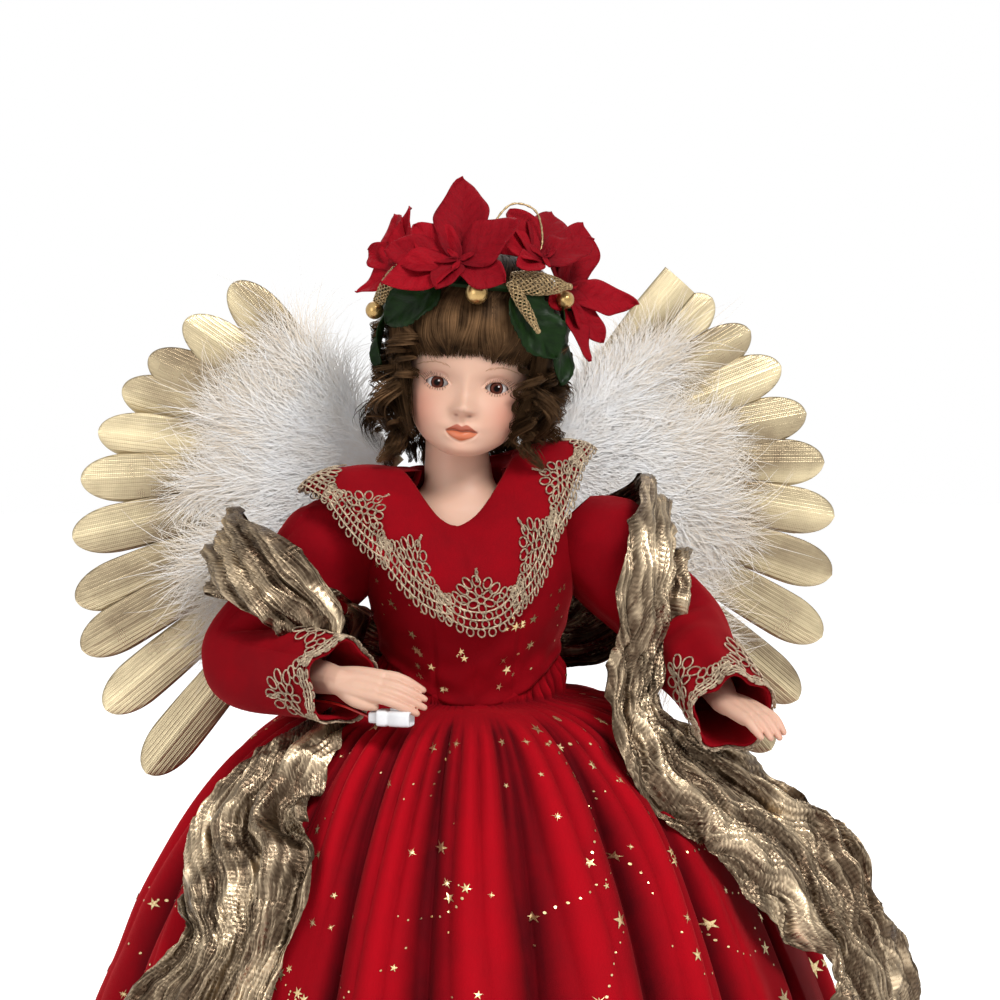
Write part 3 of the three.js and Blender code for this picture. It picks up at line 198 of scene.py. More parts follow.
class Effect(Enum):
    """Shader groups that several finishes share, each built once."""

    DRIFT = "colour_drift"
    GRAIN = "fine_grain"
    RIBS = "ribbed_lines"
    WEAVE = "woven_cross"

    def tree(self) -> bpy.types.NodeTree:
        """Returns the group, and builds it at its first use.

        Returns:
            The node group.
        """
        made = bpy.data.node_groups.get(self.value)
        if made is not None:
            return made
        made = bpy.data.node_groups.new(self.value, "ShaderNodeTree")
        values = {
            Effect.DRIFT: ("Scale", "Contrast"),
            Effect.GRAIN: ("Scale",),
            Effect.RIBS: ("Scale", "Waver"),
            Effect.WEAVE: ("Scale",),
        }[self]
        made.interface.new_socket("Place", in_out="INPUT", socket_type="NodeSocketVector")
        for name in values:
            made.interface.new_socket(name, in_out="INPUT", socket_type="NodeSocketFloat")
        if self is Effect.DRIFT:
            for name in ("Dark", "Light"):
                made.interface.new_socket(name, in_out="INPUT", socket_type="NodeSocketColor")
            made.interface.new_socket("Colour", in_out="OUTPUT", socket_type="NodeSocketColor")
            made.interface.new_socket("Mask", in_out="OUTPUT", socket_type="NodeSocketFloat")
        else:
            made.interface.new_socket("Height", in_out="OUTPUT", socket_type="NodeSocketFloat")
        graph = Graph(made)
        entry = graph.add("NodeGroupInput").outputs
        leave = graph.add("NodeGroupOutput").inputs
        {
            Effect.DRIFT: self._wire_drift,
            Effect.GRAIN: self._wire_grain,
            Effect.RIBS: self._wire_ribs,
            Effect.WEAVE: self._wire_weave,
        }[self](graph, entry, leave)
        return made

    @staticmethod
    def _wire_drift(graph: Graph, entry: object, leave: object) -> None:
        """Two colours mixed by soft noise.

        Args:
            graph: The group's nodes.
            entry: Sockets that come in.
            leave: Sockets that go out.
        """
        noise = graph.add(
            "ShaderNodeTexNoise",
            {"Vector": entry["Place"], "Scale": entry["Scale"], "Detail": 5.0, "Roughness": 0.6},
        )
        low = graph.math("SUBTRACT", 0.5, entry["Contrast"])
        high = graph.math("ADD", 0.5, entry["Contrast"])
        inputs = {"Value": noise.outputs["Fac"], "From Min": low, "From Max": high}
        mask = graph.add("ShaderNodeMapRange", inputs).outputs[0]
        graph.feed(leave["Colour"], graph.mix(mask, entry["Dark"], entry["Light"]))
        graph.feed(leave["Mask"], mask)

    @staticmethod
    def _wire_grain(graph: Graph, entry: object, leave: object) -> None:
        """Fine even noise as a height."""
        inputs = {"Vector": entry["Place"], "Scale": entry["Scale"], "Detail": 3.0}
        graph.feed(leave["Height"], graph.add("ShaderNodeTexNoise", inputs).outputs["Fac"])

    @staticmethod
    def _wire_ribs(graph: Graph, entry: object, leave: object) -> None:
        """Lines along Y of the coordinates that waver a little.

        Args:
            graph: The group's nodes.
            entry: Sockets that come in.
            leave: Sockets that go out.
        """
        inputs = {
            "Vector": entry["Place"],
            "Scale": entry["Scale"],
            "Distortion": entry["Waver"],
            "Detail": 3.0,
            "Detail Scale": 1.6,
        }
        wave = graph.add("ShaderNodeTexWave", inputs, bands_direction="X")
        graph.feed(leave["Height"], wave.outputs["Fac"])

    @staticmethod
    def _wire_weave(graph: Graph, entry: object, leave: object) -> None:
        """Warp and weft as the product of two sets of lines.

        Args:
            graph: The group's nodes.
            entry: Sockets that come in.
            leave: Sockets that go out.
        """
        sets = [
            graph.add(
                "ShaderNodeTexWave",
                {"Vector": entry["Place"], "Scale": entry["Scale"], "Distortion": 0.6},
                bands_direction=way,
            ).outputs["Fac"]
            for way in ("X", "Y")
        ]
        graph.feed(leave["Height"], graph.math("MULTIPLY", *sets))


@dataclass(frozen=True)
class Finish:
    """A procedural surface: its colours, gloss and relief.

    Scales are per metre, heights of the relief are millimetres.
    """

    name: str
    slot: str
    dark: Colour
    light: Colour
    colouring: Colouring = Colouring.DRIFT
    place: Place = Place.FRAME
    drift: float = 60.0
    contrast: float = 0.22
    patch: float = 0.25
    rough: Pair = (0.5, 0.6)
    metallic: float = 0.0
    specular: float = 0.5
    sheen: float = 0.0
    sheen_tint: Colour = WHITE
    sheen_rough: float = 0.4
    coat: float = 0.0
    coat_rough: float = 0.1
    subsurface: float = 0.0
    grain: Pair = (2500.0, 0.0)
    ribs: tuple[float, float, float] = (300.0, 1.0, 0.0)
    weave: Pair = (900.0, 0.0)

    def material(self) -> bpy.types.Material:
        """Returns the material, and builds it at its first use.

        Returns:
            The material.
        """
        made = bpy.data.materials.get(self.name)
        if made is not None:
            return made
        made = bpy.data.materials.new(self.name)
        made.use_nodes = True
        graph = Graph(made.node_tree)
        shader = made.node_tree.nodes["Principled BSDF"]
        where = self._where(graph)
        colour, mask = self._colours(graph, where)
        graph.feed(shader.inputs["Base Color"], colour)
        low, high = self.rough
        gloss = graph.add("ShaderNodeMapRange", {"Value": mask, "To Min": low, "To Max": high})
        graph.feed(shader.inputs["Roughness"], gloss.outputs[0])
        plain = {
            "Metallic": self.metallic,
            "Specular IOR Level": self.specular,
            "Sheen Weight": self.sheen,
            "Sheen Tint": self.sheen_tint,
            "Sheen Roughness": self.sheen_rough,
            "Coat Weight": self.coat,
            "Coat Roughness": self.coat_rough,
            "Subsurface Weight": self.subsurface,
            "Subsurface Scale": SKIN_DEPTH * MM,
        }
        for name, value in plain.items():
            graph.feed(shader.inputs[name], value)
        self._relief(graph, shader, where)
        return made

    def _where(self, graph: Graph) -> Socket:
        """Returns the coordinates that the pattern is laid out in.

        Args:
            graph: The material's nodes.

        Returns:
            The coordinates' socket.
        """
        if self.place is Place.SPOT:
            return graph.add("ShaderNodeAttribute", attribute_name="spot").outputs["Vector"]
        return graph.add("ShaderNodeTexCoord").outputs["Object"]

    def _colours(self, graph: Graph, where: Socket) -> tuple[object, object]:
        """Wires the colour.

        Args:
            graph: The material's nodes.
            where: The pattern's coordinates.

        Returns:
            The colour socket and the mask that the gloss follows.
        """
        inputs = {
            "Place": where,
            "Scale": self.drift,
            "Contrast": self.contrast,
            "Dark": self.dark,
            "Light": self.light,
        }
        drift = graph.add("ShaderNodeGroup", inputs, node_tree=Effect.DRIFT.tree())
        if self.colouring is Colouring.DRIFT:
            return drift.outputs["Colour"], drift.outputs["Mask"]
        tone = graph.add("ShaderNodeAttribute", attribute_name="tone").outputs["Fac"]
        if self.colouring is Colouring.TONE:
            patch = graph.math("MULTIPLY", drift.outputs["Mask"], self.patch)
            share = graph.math("ADD", graph.math("MULTIPLY", tone, TONE_GAIN - self.patch), patch)
            share.node.use_clamp = True
            return graph.mix(share, self.dark, self.light), drift.outputs["Mask"]
        if self.colouring is Colouring.PAINT:
            paint = graph.add("ShaderNodeAttribute", attribute_name="paint").outputs["Color"]
            patch = graph.math("MULTIPLY", drift.outputs["Mask"], PAINT_DRIFT)
            return graph.mix(patch, paint, self.light), tone
        return self._rings(graph, tone, drift.outputs["Mask"]), drift.outputs["Mask"]

    def _rings(self, graph: Graph, tone: Socket, mask: Socket) -> object:
        """Colours an eye by the distance from its middle, in centimetres.

        Args:
            graph: The material's nodes.
            tone: Distance from the middle of the eye, set to the sclera's white in the painted catchlight.
            mask: Soft noise for the streaks of the iris.

        Returns:
            The colour socket.
        """
        node = graph.add("ShaderNodeValToRGB", {"Fac": tone})
        ramp = node.color_ramp
        stops = [
            (0.0, (0.002, 0.001, 0.001, 1.0)),
            (0.125, (0.003, 0.002, 0.002, 1.0)),
            (0.15, self.dark),
            (0.24, self.light),
            (0.31, self.dark),
            (0.335, (0.01, 0.004, 0.003, 1.0)),
            (0.37, shade(226, 222, 220)),
            (1.0, shade(205, 190, 186)),
        ]
        while len(ramp.elements) < len(stops):
            ramp.elements.new(0.5)
        for element, (place, colour) in zip(ramp.elements, stops):
            element.position = place
            element.color = colour
        streaks = graph.math("MULTIPLY", mask, IRIS_STREAKS)
        return graph.mix(streaks, node.outputs[0], (0.01, 0.005, 0.004, 1.0))

    def _relief(self, graph: Graph, shader: bpy.types.Node, where: Socket) -> None:
        """Wires grain, ribs and weave as one bump.

        Args:
            graph: The material's nodes.
            shader: The surface shader.
            where: The pattern's coordinates.
        """
        layers = [
            (Effect.GRAIN, {"Scale": self.grain[0]}, self.grain[1]),
            (Effect.RIBS, {"Scale": self.ribs[0], "Waver": self.ribs[1]}, self.ribs[2]),
            (Effect.WEAVE, {"Scale": self.weave[0]}, self.weave[1]),
        ]
        total = None
        for effect, inputs, height in layers:
            if height == 0:
                continue
            node = graph.add("ShaderNodeGroup", {"Place": where, **inputs}, node_tree=effect.tree())
            raised = graph.math("MULTIPLY", node.outputs["Height"], height * MM)
            total = raised if total is None else graph.math("ADD", total, raised)
        if total is not None:
            bump = graph.add("ShaderNodeBump", {"Height": total, "Strength": 1.0, "Distance": 1.0})
            graph.feed(shader.inputs["Normal"], bump.outputs["Normal"])


# The skirt mixes these by its painted shading: dark is painted shade in the fold valleys, light is painted light
# on the crests; other velvet parts sit at a middle tone.
VELVET = Finish(
    "crimson_velvet", "velvet", shade(60, 0, 7), shade(170, 3, 21), colouring=Colouring.TONE, drift=60,
    contrast=0.3, rough=(0.8, 0.92), specular=0.1, sheen=0.34, sheen_tint=shade(255, 84, 84), sheen_rough=0.3,
    grain=(2600, 0.14),
)
STAR_FOIL = Finish(
    "gilt_print", "lace", shade(190, 152, 92), shade(250, 230, 180), drift=900, contrast=0.2,
    rough=(0.22, 0.4), metallic=0.85, grain=(1800, 0.08),
)
LACE_THREAD = Finish(
    "gilt_thread", "lace", shade(88, 60, 36), shade(248, 226, 194), drift=420, contrast=0.25,
    rough=(0.42, 0.62), metallic=0.45, ribs=(900, 0.5, 0.16), place=Place.SPOT,
)
# Mixed by the stole's tone, which holds painted shade in the fold valleys and painted highlights along the crests.
GILT_CLOTH = Finish(
    "gilt_crinkled_cloth", "lame", shade(46, 24, 9), shade(246, 221, 184), colouring=Colouring.TONE,
    place=Place.SPOT, drift=420, contrast=0.2, patch=0.14, rough=(0.2, 0.38), metallic=0.9,
    grain=(360, 0.42), weave=(1100, 0.08),
)
# Mixed by each feather's tone, which holds a painted highlight band.
FOIL = Finish(
    "champagne_foil", "foil", shade(118, 101, 80), shade(236, 219, 178), drift=28, contrast=0.2,
    colouring=Colouring.TONE, patch=0.4,
    place=Place.SPOT, rough=(0.24, 0.42), metallic=0.9, ribs=(150, 0.9, 0.1), weave=(330, 0.12),
)
DOWN = Finish(
    "white_down", "down", shade(226, 208, 182), shade(254, 254, 254), colouring=Colouring.TONE,
    drift=120, rough=(0.85, 0.95), specular=0.1, sheen=0.25,
)
PORCELAIN = Finish(
    "bisque_porcelain", "porcelain", shade(214, 172, 150), shade(233, 203, 186), colouring=Colouring.PAINT,
    drift=70, rough=(0.5, 0.24), specular=0.4, subsurface=0.12, grain=(3000, 0.012),
)
EYE_GLASS = Finish(
    "eye_glass", "iris", shade(58, 26, 20), shade(112, 62, 50), colouring=Colouring.RINGS,
    place=Place.SPOT, drift=700, rough=(0.14, 0.18), specular=0.04,
)
LASH_PAINT = Finish(
    "painted_lashes", "hair", shade(58, 30, 21), shade(198, 150, 120), colouring=Colouring.TONE,
    drift=300, rough=(0.5, 0.6),
)
# Its light colour shows mostly where painted highlights raise the strands' tone.
HAIR = Finish(
    "brown_hair", "hair", shade(11, 5, 2), shade(168, 126, 88), colouring=Colouring.TONE,
    drift=90, contrast=0.2, rough=(0.4, 0.55), specular=0.03,
)
# Mixed by each petal's tone, which darkens towards the flower's heart as painted shade.
PETAL_CLOTH = Finish(
    "red_flower_cloth", "petal", shade(58, 0, 8), shade(158, 7, 25), drift=700, contrast=0.3,
    colouring=Colouring.TONE, patch=0.35, place=Place.SPOT, rough=(0.6, 0.85), specular=0.12,
    grain=(700, 0.5), ribs=(46, 1.2, 0.35),
)
LEAF_CLOTH = Finish(
    "green_leaf_cloth", "leaf", shade(6, 17, 4), shade(25, 49, 15), drift=160, contrast=0.25,
    place=Place.SPOT, rough=(0.3, 0.5), specular=0.1, grain=(700, 0.14), ribs=(42, 0.8, 0.2),
)
PEARL_GOLD = Finish(
    "pearl_gold", "gold", shade(150, 118, 66), shade(198, 164, 106), drift=200, rough=(0.24, 0.34),
    metallic=0.85, grain=(2400, 0.02), coat=0.3,
)
MESH_GOLD = Finish(
    "gilt_mesh", "gold", shade(104, 82, 54), shade(206, 178, 132), drift=700, rough=(0.3, 0.5),
    metallic=0.7, grain=(2600, 0.08),
)
WIRE = Finish(
    "drawn_wire", "wire", shade(120, 122, 126), shade(176, 178, 182), drift=300, rough=(0.3, 0.45),
    metallic=0.9, grain=(2200, 0.03),
)
WOOD = Finish(
    "pale_board", "wood", shade(164, 124, 80), shade(206, 172, 124), drift=18, contrast=0.3,
    rough=(0.55, 0.75), grain=(900, 0.08), ribs=(34, 5.0, 0.12),
)
FOAM = Finish(
    "pressed_foam", "foam", shade(226, 226, 222), shade(244, 244, 242), drift=160, rough=(0.8, 0.95),
    grain=(420, 0.4),
)
MUSLIN = Finish(
    "plain_muslin", "muslin", shade(214, 196, 168), shade(236, 224, 202), drift=80, rough=(0.85, 0.95),
    weave=(1400, 0.12), sheen=0.1,
)
CASING = Finish(
    "white_casing", "casing", shade(226, 227, 230), shade(243, 243, 244), drift=140, rough=(0.3, 0.42),
    grain=(1600, 0.03), coat=0.15,
)
JACKET = Finish(
    "cell_jacket", "jacket", shade(116, 116, 118), shade(168, 168, 166), drift=90, rough=(0.25, 0.38),
    metallic=0.6, grain=(1200, 0.02),
)
LEAD_RED = Finish(
    "red_lead", "lead", shade(150, 14, 16), shade(206, 44, 36), drift=300, rough=(0.3, 0.42), grain=(1800, 0.03),
)
LEAD_BLACK = Finish(
    "black_lead", "lead", shade(12, 12, 13), shade(36, 36, 38), drift=300, rough=(0.3, 0.42), grain=(1800, 0.03),
)


def unit(vectors: Array) -> Array:
    """Vectors of length one along the last axis."""
    return vectors / np.maximum(np.linalg.norm(vectors, axis=-1, keepdims=True), 1e-9)


def smooth(value: Array | float, low: float, high: float) -> Array:
    """Rises smoothly from 0 at low to 1 at high."""
    share = np.clip((np.asarray(value, float) - low) / (high - low), 0, 1)
    return share * share * (3 - 2 * share)


def bell(value: Array, middle: float, spread: float) -> Array:
    """A smooth hump of height one."""
    return np.exp(-(((value - middle) / spread) ** 2) / 2)


def ripple(seed: int, across: Array, along: Array, low: float, high: float, waves: int = 7) -> Array:
    """Smooth random height of about -1 to 1.

    Args:
        seed: Fixes the pattern.
        across: First coordinate, in millimetres.
        along: Second coordinate, in millimetres.
        low: Shortest wave.
        high: Longest wave.
        waves: How many waves are summed.

    Returns:
        The height at each point.
    """
    chance = np.random.default_rng(seed)
    total = np.zeros(np.broadcast(across, along).shape)
    for _ in range(waves):
        turn = chance.uniform(0, TURN)
        pitch = TURN / chance.uniform(low, high)
        place = across * math.cos(turn) + along * math.sin(turn)
        total = total + np.sin(pitch * place + chance.uniform(0, TURN))
    return total / math.sqrt(waves)


def row_at(rows: Array, share: Array) -> Array:
    """Reads a list of rows smoothly at shares of its length.

    Args:
        rows: Rows of numbers, evenly placed from share 0 to share 1.
        share: Where to read, any shape.

    Returns:
        One row of numbers for each share.
    """
    rows = np.asarray(rows, float)
    last = len(rows) - 1
    place = np.asarray(share, float) * last
    i = np.clip(np.floor(place).astype(int), 0, last - 1)
    f = (place - i)[..., None]

    def at(k: Array) -> Array:
        """Rows by number, kept within the list."""
        return rows[np.clip(k, 0, last)]

    first, second = (at(i + 1) - at(i - 1)) / 2, (at(i + 2) - at(i)) / 2
    rise = 3 * (at(i + 1) - at(i)) - 2 * first - second
    bend = 2 * (at(i) - at(i + 1)) + first + second
    return at(i) + f * (first + f * (rise + f * bend))


def smooth_path(points: list[Point] | Array, count: int) -> Array:
    """Evenly spaced points on a smooth curve through the given ones.

    Args:
        points: Points that the curve passes.
        count: How many points are wanted.

    Returns:
        The points, count by 3.
    """
    given = np.asarray(points, float)
    ends = [2 * given[:1] - given[1:2], 2 * given[-1:] - given[-2:-1]]
    all_points = np.concatenate([ends[0], given, ends[1]])
    fine = []
    for p0, p1, p2, p3 in zip(all_points, all_points[1:], all_points[2:], all_points[3:]):
        d0, d1, d2 = (max(np.linalg.norm(b - a), 1e-6) ** 0.5 for a, b in ((p0, p1), (p1, p2), (p2, p3)))
        m1 = ((p1 - p0) / d0 - (p2 - p0) / (d0 + d1) + (p2 - p1) / d1) * d1
        m2 = ((p2 - p1) / d1 - (p3 - p1) / (d1 + d2) + (p3 - p2) / d2) * d1
        t = np.linspace(0, 1, 25)[:-1, None]
        fine.append(p1 + t * m1 + t**2 * (3 * (p2 - p1) - 2 * m1 - m2) + t**3 * (2 * (p1 - p2) + m1 + m2))
    dense = np.concatenate([*fine, given[-1:]])
    run = np.concatenate([[0], np.cumsum(np.linalg.norm(np.diff(dense, axis=0), axis=1))])
    wanted = np.linspace(0, run[-1], count)
    return np.stack([np.interp(wanted, run, dense[:, k]) for k in range(3)], -1)


def circle(count: int) -> Array:
    """Even angles of a full turn, the first at 0."""
    return np.linspace(0, TURN, count, endpoint=False)


def oval(angle: Array, wide: Array | float, deep: Array | float, z: Array | float) -> Array:
    """Points of an oval round the Z axis at bearings from the front."""
    return np.stack([wide * np.sin(angle), -deep * np.cos(angle), z + 0 * angle], -1)


def grid_faces(rows: int, columns: int, wrap: bool = False) -> Array:
    """Quads of a grid of points laid row by row.

    Args:
        rows: Rows of points.
        columns: Points in a row.
        wrap: Whether the last point of a row joins its first.

    Returns:
        Four point numbers for each face.
    """
    i, k = np.meshgrid(np.arange(rows - 1), np.arange(columns if wrap else columns - 1), indexing="ij")
    n = (k + 1) % columns
    corners = [i * columns + k, i * columns + n, (i + 1) * columns + n, (i + 1) * columns + k]
    return np.stack(corners, -1).reshape(-1, 4)


def ribbons(paths: Array, widths: Array, facing: Array) -> tuple[Array, Array]:
    """Thin flat strands.

    Args:
        paths: Points of each strand, strands by points by 3.
        widths: Width at each point.
        facing: The way the strands' faces look.

    Returns:
        Points and quads.
    """
    side = unit(np.cross(np.gradient(paths, axis=1), np.broadcast_to(facing, paths.shape)))
    half = (np.broadcast_to(widths, paths.shape[:2]) / 2)[..., None]
    both = np.stack([paths - side * half, paths + side * half], axis=2)
    count, steps = paths.shape[:2]
    base = (np.arange(count)[:, None] * 2 * steps + np.arange(steps - 1) * 2).reshape(-1)
    return both.reshape(-1, 3), np.stack([base, base + 1, base + 3, base + 2], -1)


def tubes(paths: Array, radii: Array | float, sides: int = 5, wrap: bool = False) -> tuple[Array, Array]:
    """Round threads along paths.

    Args:
        paths: Points of each thread, threads by points by 3.
        radii: Radius at each point.
        sides: Points round a thread.
        wrap: Whether each thread closes into a ring.

    Returns:
        Points and quads.
    """
    if wrap:
        onward = unit(np.roll(paths, -1, axis=1) - np.roll(paths, 1, axis=1))
    else:
        onward = unit(np.gradient(paths, axis=1))
    side = unit(np.cross(onward, np.array([0.31, 0.22, 0.925])))
    up = np.cross(onward, side)
    angle = (np.arange(sides) * TURN / sides)[:, None]
    ring = np.cos(angle) * side[..., None, :] + np.sin(angle) * up[..., None, :]
    radius = np.broadcast_to(radii, paths.shape[:2])[..., None, None]
    points = paths[..., None, :] + ring * radius
    count, steps = paths.shape[:2]
    rows = steps + 1 if wrap else steps
    faces = grid_faces(rows, sides, wrap=True) % (steps * sides)
    starts = (np.arange(count) * steps * sides)[:, None, None]
    return points.reshape(-1, 3), (starts + faces).reshape(-1, 4)


LAYERS = {"tone": ("FLOAT", "value"), "spot": ("FLOAT_VECTOR", "vector"), "paint": ("FLOAT_COLOR", "color")}


def set_layer(mesh: bpy.types.Mesh, name: str, values: Array) -> None:
    """Writes a value for each point of a mesh, in place of any old ones.

    Args:
        mesh: The mesh.
        name: Tone, spot or paint.
        values: A row for each point.
    """
    kind, item = LAYERS[name]
    old = mesh.attributes.get(name)
    if old is not None:
        mesh.attributes.remove(old)
    mesh.attributes.new(name, kind, "POINT").data.foreach_set(item, values.astype(np.float32).ravel())


def link_new(name: str, data: bpy.types.ID) -> Object:
    """Makes an object and puts it into the scene.

    Args:
        name: Name of the object.
        data: Its mesh, curve, lamp or camera.

    Returns:
        The object.
    """
    made = bpy.data.objects.new(name, data)
    bpy.context.scene.collection.objects.link(made)
    return made


class Piece:
    """One mesh of the scene while its points and faces are gathered, in millimetres."""

    def __init__(self, name: str) -> None:
        """Starts an empty piece.

        Args:
            name: Name of the object to come.
        """
        self.name = name
        self.points: list[Array] = []
        self.tones: list[Array] = []
        self.spots: list[Array] = []
        self.paints: list[Array] = []
        self.faces: list[Array] = []
        self.count = 0

    def add(
        self,
        points: Array,
        faces: Array,
        tone: Array | float = 0.5,
        spot: Array | None = None,
        paint: Array | Colour = (0.8, 0.8, 0.8, 1.0),
    ) -> None:
        """Adds points and faces.

        Args:
            points: Points in millimetres.
            faces: Point numbers of quads or triangles.
            tone: Value of each point that a finish reads.
            spot: Cloth coordinates in millimetres, by default the points themselves.
            paint: Colour of each point.
        """
        points = np.asarray(points, float).reshape(-1, 3)
        size = len(points)
        self.points.append(points)
        self.tones.append(np.broadcast_to(np.asarray(tone, float).reshape(-1), size))
        self.spots.append(points if spot is None else np.asarray(spot, float).reshape(-1, 3))
        self.paints.append(np.broadcast_to(np.asarray(paint, float).reshape(-1, 4), (size, 4)))
        self.faces.append(np.asarray(faces) + self.count)
        self.count += size

    def grid(self, points: Array | list[Array], wrap: bool = False, **layers: Array | float) -> None:
        """Adds rows of points as a grid.

        Args:
            points: Rows by columns by 3.
            wrap: Whether each row is closed.
            **layers: As for add.
        """
        points = np.asarray(points, float)
        self.add(points, grid_faces(*points.shape[:2], wrap), **layers)

    def make(self, finish: Finish, soft: Point | None = None) -> Object:
        """Makes the mesh object and dresses it.

        Args:
            finish: Its finish.
            soft: One way that all of a fluffy piece takes its light from.

        Returns:
            The object, in metres.
        """
        mesh = bpy.data.meshes.new(self.name)
        mesh.vertices.add(self.count)
        mesh.vertices.foreach_set("co", (np.concatenate(self.points) * MM).astype(np.float32).ravel())
        corners = np.concatenate([f.ravel() for f in self.faces])
        sizes = np.concatenate([np.full(len(f), f.shape[1]) for f in self.faces])
        mesh.loops.add(len(corners))
        mesh.loops.foreach_set("vertex_index", corners.astype(np.int32))
        mesh.polygons.add(len(sizes))
        starts = np.concatenate([[0], np.cumsum(sizes)[:-1]])
        mesh.polygons.foreach_set("loop_start", starts.astype(np.int32))
        mesh.polygons.foreach_set("use_smooth", np.ones(len(sizes), bool))
        mesh.update(calc_edges=True)
        set_layer(mesh, "tone", np.concatenate(self.tones))
        set_layer(mesh, "spot", np.concatenate(self.spots) * MM)
        set_layer(mesh, "paint", np.concatenate(self.paints))
        if soft is not None:
            mesh.normals_split_custom_set_from_vertices([soft] * self.count)
        made = link_new(self.name, mesh)
        mesh.materials.append(finish.material())
        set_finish(made, finish.slot)
        log.info("%s: %d points, %d faces, %s", self.name, self.count, len(sizes), finish.name)
        return made

    def place(self, finish: Finish, body: str, *nodes: str, soft: Point | None = None) -> Object:
        """Makes the piece, fixes it to a body and lets it stand for CAD nodes.

        Args:
            finish: Its finish.
            body: The body that it moves with.
            *nodes: CAD nodes that it replaces.
            soft: As for make.

        Returns:
            The object.
        """
        made = self.make(finish, soft)
        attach(made, body)
        if nodes:
            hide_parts(*nodes)
        return made


def dress(finish: Finish, *nodes: str) -> None:
    """Gives CAD nodes that stay in view a finish.

    Args:
        finish: The finish.
        *nodes: Names of the nodes.
    """
    for name in nodes:
        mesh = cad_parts[name].data
        mesh.materials.clear()
        mesh.materials.append(finish.material())
        log.info("%s: %s", name, finish.name)


def thicken(made: Object, thick: float, offset: float = 0.0) -> None:
    """Gives a sheet a thickness in millimetres.

    Args:
        made: The sheet.
        thick: The thickness.
        offset: The side it grows to, from -1 to 1.
    """
    layer = made.modifiers.new("thickness", "SOLIDIFY")
    layer.thickness = thick * MM
    layer.offset = offset
    layer.use_even_offset = False


@dataclass
class Studio:
    """Camera, lamps, floor and backdrop."""

    azimuth: float = -5.0
    elevation: float = 6.0
    distance: float = 1500.0
    width: float = 500.0
    target: Point = (15.0, 0.0, 440.0)
    floor_glow: float = 0.62
    floor_half: float = 4000.0
    sensor: float = 36.0
    soft_light: float = 0.38
    lamps: tuple[tuple[str, Point, float, float], ...] = (
        ("key_light", (0.6, -1.35, 1.95), 0.7, 33.0),
        ("fill_light", (-1.4, -1.6, 0.9), 1.2, 10.0),
        ("back_light", (0.1, 1.5, 1.7), 1.2, 16.0),
    )

    def build(self) -> None:
        """Makes the camera, the lamps, the world and the floor."""
        self._camera()
        for row in self.lamps:
            self._lamp(*row)
        self._world()
        self._floor()
        bpy.context.scene.view_settings.view_transform = "Standard"

    def _camera(self) -> None:
        """Places the camera at the photograph's angle."""
        turn, rise = math.radians(self.azimuth), math.radians(self.elevation)
        back = Vector((math.sin(turn) * math.cos(rise), -math.cos(turn) * math.cos(rise), math.sin(rise)))
        data = bpy.data.cameras.new("camera")
        data.sensor_width = self.sensor
        data.lens = self.sensor * self.distance / self.width
        made = link_new("camera", data)
        made.location = (Vector(self.target) + back * self.distance) * MM
        made.rotation_mode = "QUATERNION"
        made.rotation_quaternion = (-back).to_track_quat("-Z", "Y")
        bpy.context.scene.camera = made

    @staticmethod
    def _lamp(name: str, place: Point, size: float, power: float) -> None:
        """Adds a soft lamp that looks at the figure's chest.

        Args:
            name: Its name.
            place: Where, in metres.
            size: Width in metres.
            power: Watts.
        """
        data = bpy.data.lights.new(name, "AREA")
        data.size = size
        data.energy = power
        made = link_new(name, data)
        made.location = place
        made.rotation_mode = "QUATERNION"
        made.rotation_quaternion = (Vector(CHEST) - Vector(place)).to_track_quat("-Z", "Y")

    @staticmethod
    def _seen(graph: Graph) -> Socket:
        """Returns 1 for rays from the camera, or that metal and glass send on.

        Args:
            graph: Nodes of the world or of a material.

        Returns:
            The value's socket.
        """
        path = graph.add("ShaderNodeLightPath").outputs
        both = graph.math("ADD", path["Is Camera Ray"], path["Is Glossy Ray"])
        total = graph.math("ADD", both, path["Is Transmission Ray"])
        total.node.use_clamp = True
        return total

    def _world(self) -> None:
        """White behind the object, and a plain soft light from all round."""
        world = bpy.data.worlds.new("studio")
        world.use_nodes = True
        bpy.context.scene.world = world
        graph = Graph(world.node_tree)
        back = world.node_tree.nodes["Background"]
        inputs = {"Value": self._seen(graph), "To Min": self.soft_light, "To Max": 1.0}
        graph.feed(back.inputs["Strength"], graph.add("ShaderNodeMapRange", inputs).outputs[0])
        graph.feed(back.inputs["Color"], WHITE)

    def _floor(self) -> None:
        """A pale floor that keeps the shadow."""
        piece = Piece("studio_floor")
        h = self.floor_half
        piece.add([(-h, -h, 0), (h, -h, 0), (h, h, 0), (-h, h, 0)], np.array([[0, 1, 2, 3]]))
        greys = shade(240, 240, 240), shade(247, 247, 247)
        pale = Finish("studio_paper", "foam", *greys, drift=3, rough=(0.8, 0.9))
        made = piece.make(pale)
        del made["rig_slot"]
        graph = Graph(made.active_material.node_tree)
        shader = graph.tree.nodes["Principled BSDF"]
        graph.feed(shader.inputs["Emission Color"], WHITE)
        glow = graph.math("MULTIPLY", self._seen(graph), self.floor_glow)
        graph.feed(shader.inputs["Emission Strength"], glow)


@dataclass
class Arm:
    """Bones of one arm, as in the solids."""

    side: Side
    shoulder: Point
    elbow: Point
    wrist: Point
    tip: Point
    back: Point
    thumb: int

    @property
    def upper_body(self) -> str:
        """Body of the upper arm."""
        return f"{self.side.label}_upper_arm"

    @property
    def fore_body(self) -> str:
        """Body of the forearm."""
        return f"{self.side.label}_forearm"

    def hand_axes(self) -> tuple[Array, Array, Array, float]:
        """Directions along the hand, across it and out of its back, and its length.

        Returns:
            Three unit vectors and a length.
        """
        reach = np.subtract(self.tip, self.wrist)
        along = unit(reach)
        across = unit(np.cross(along, self.back))
        return along, across, np.cross(across, along), float(np.linalg.norm(reach))


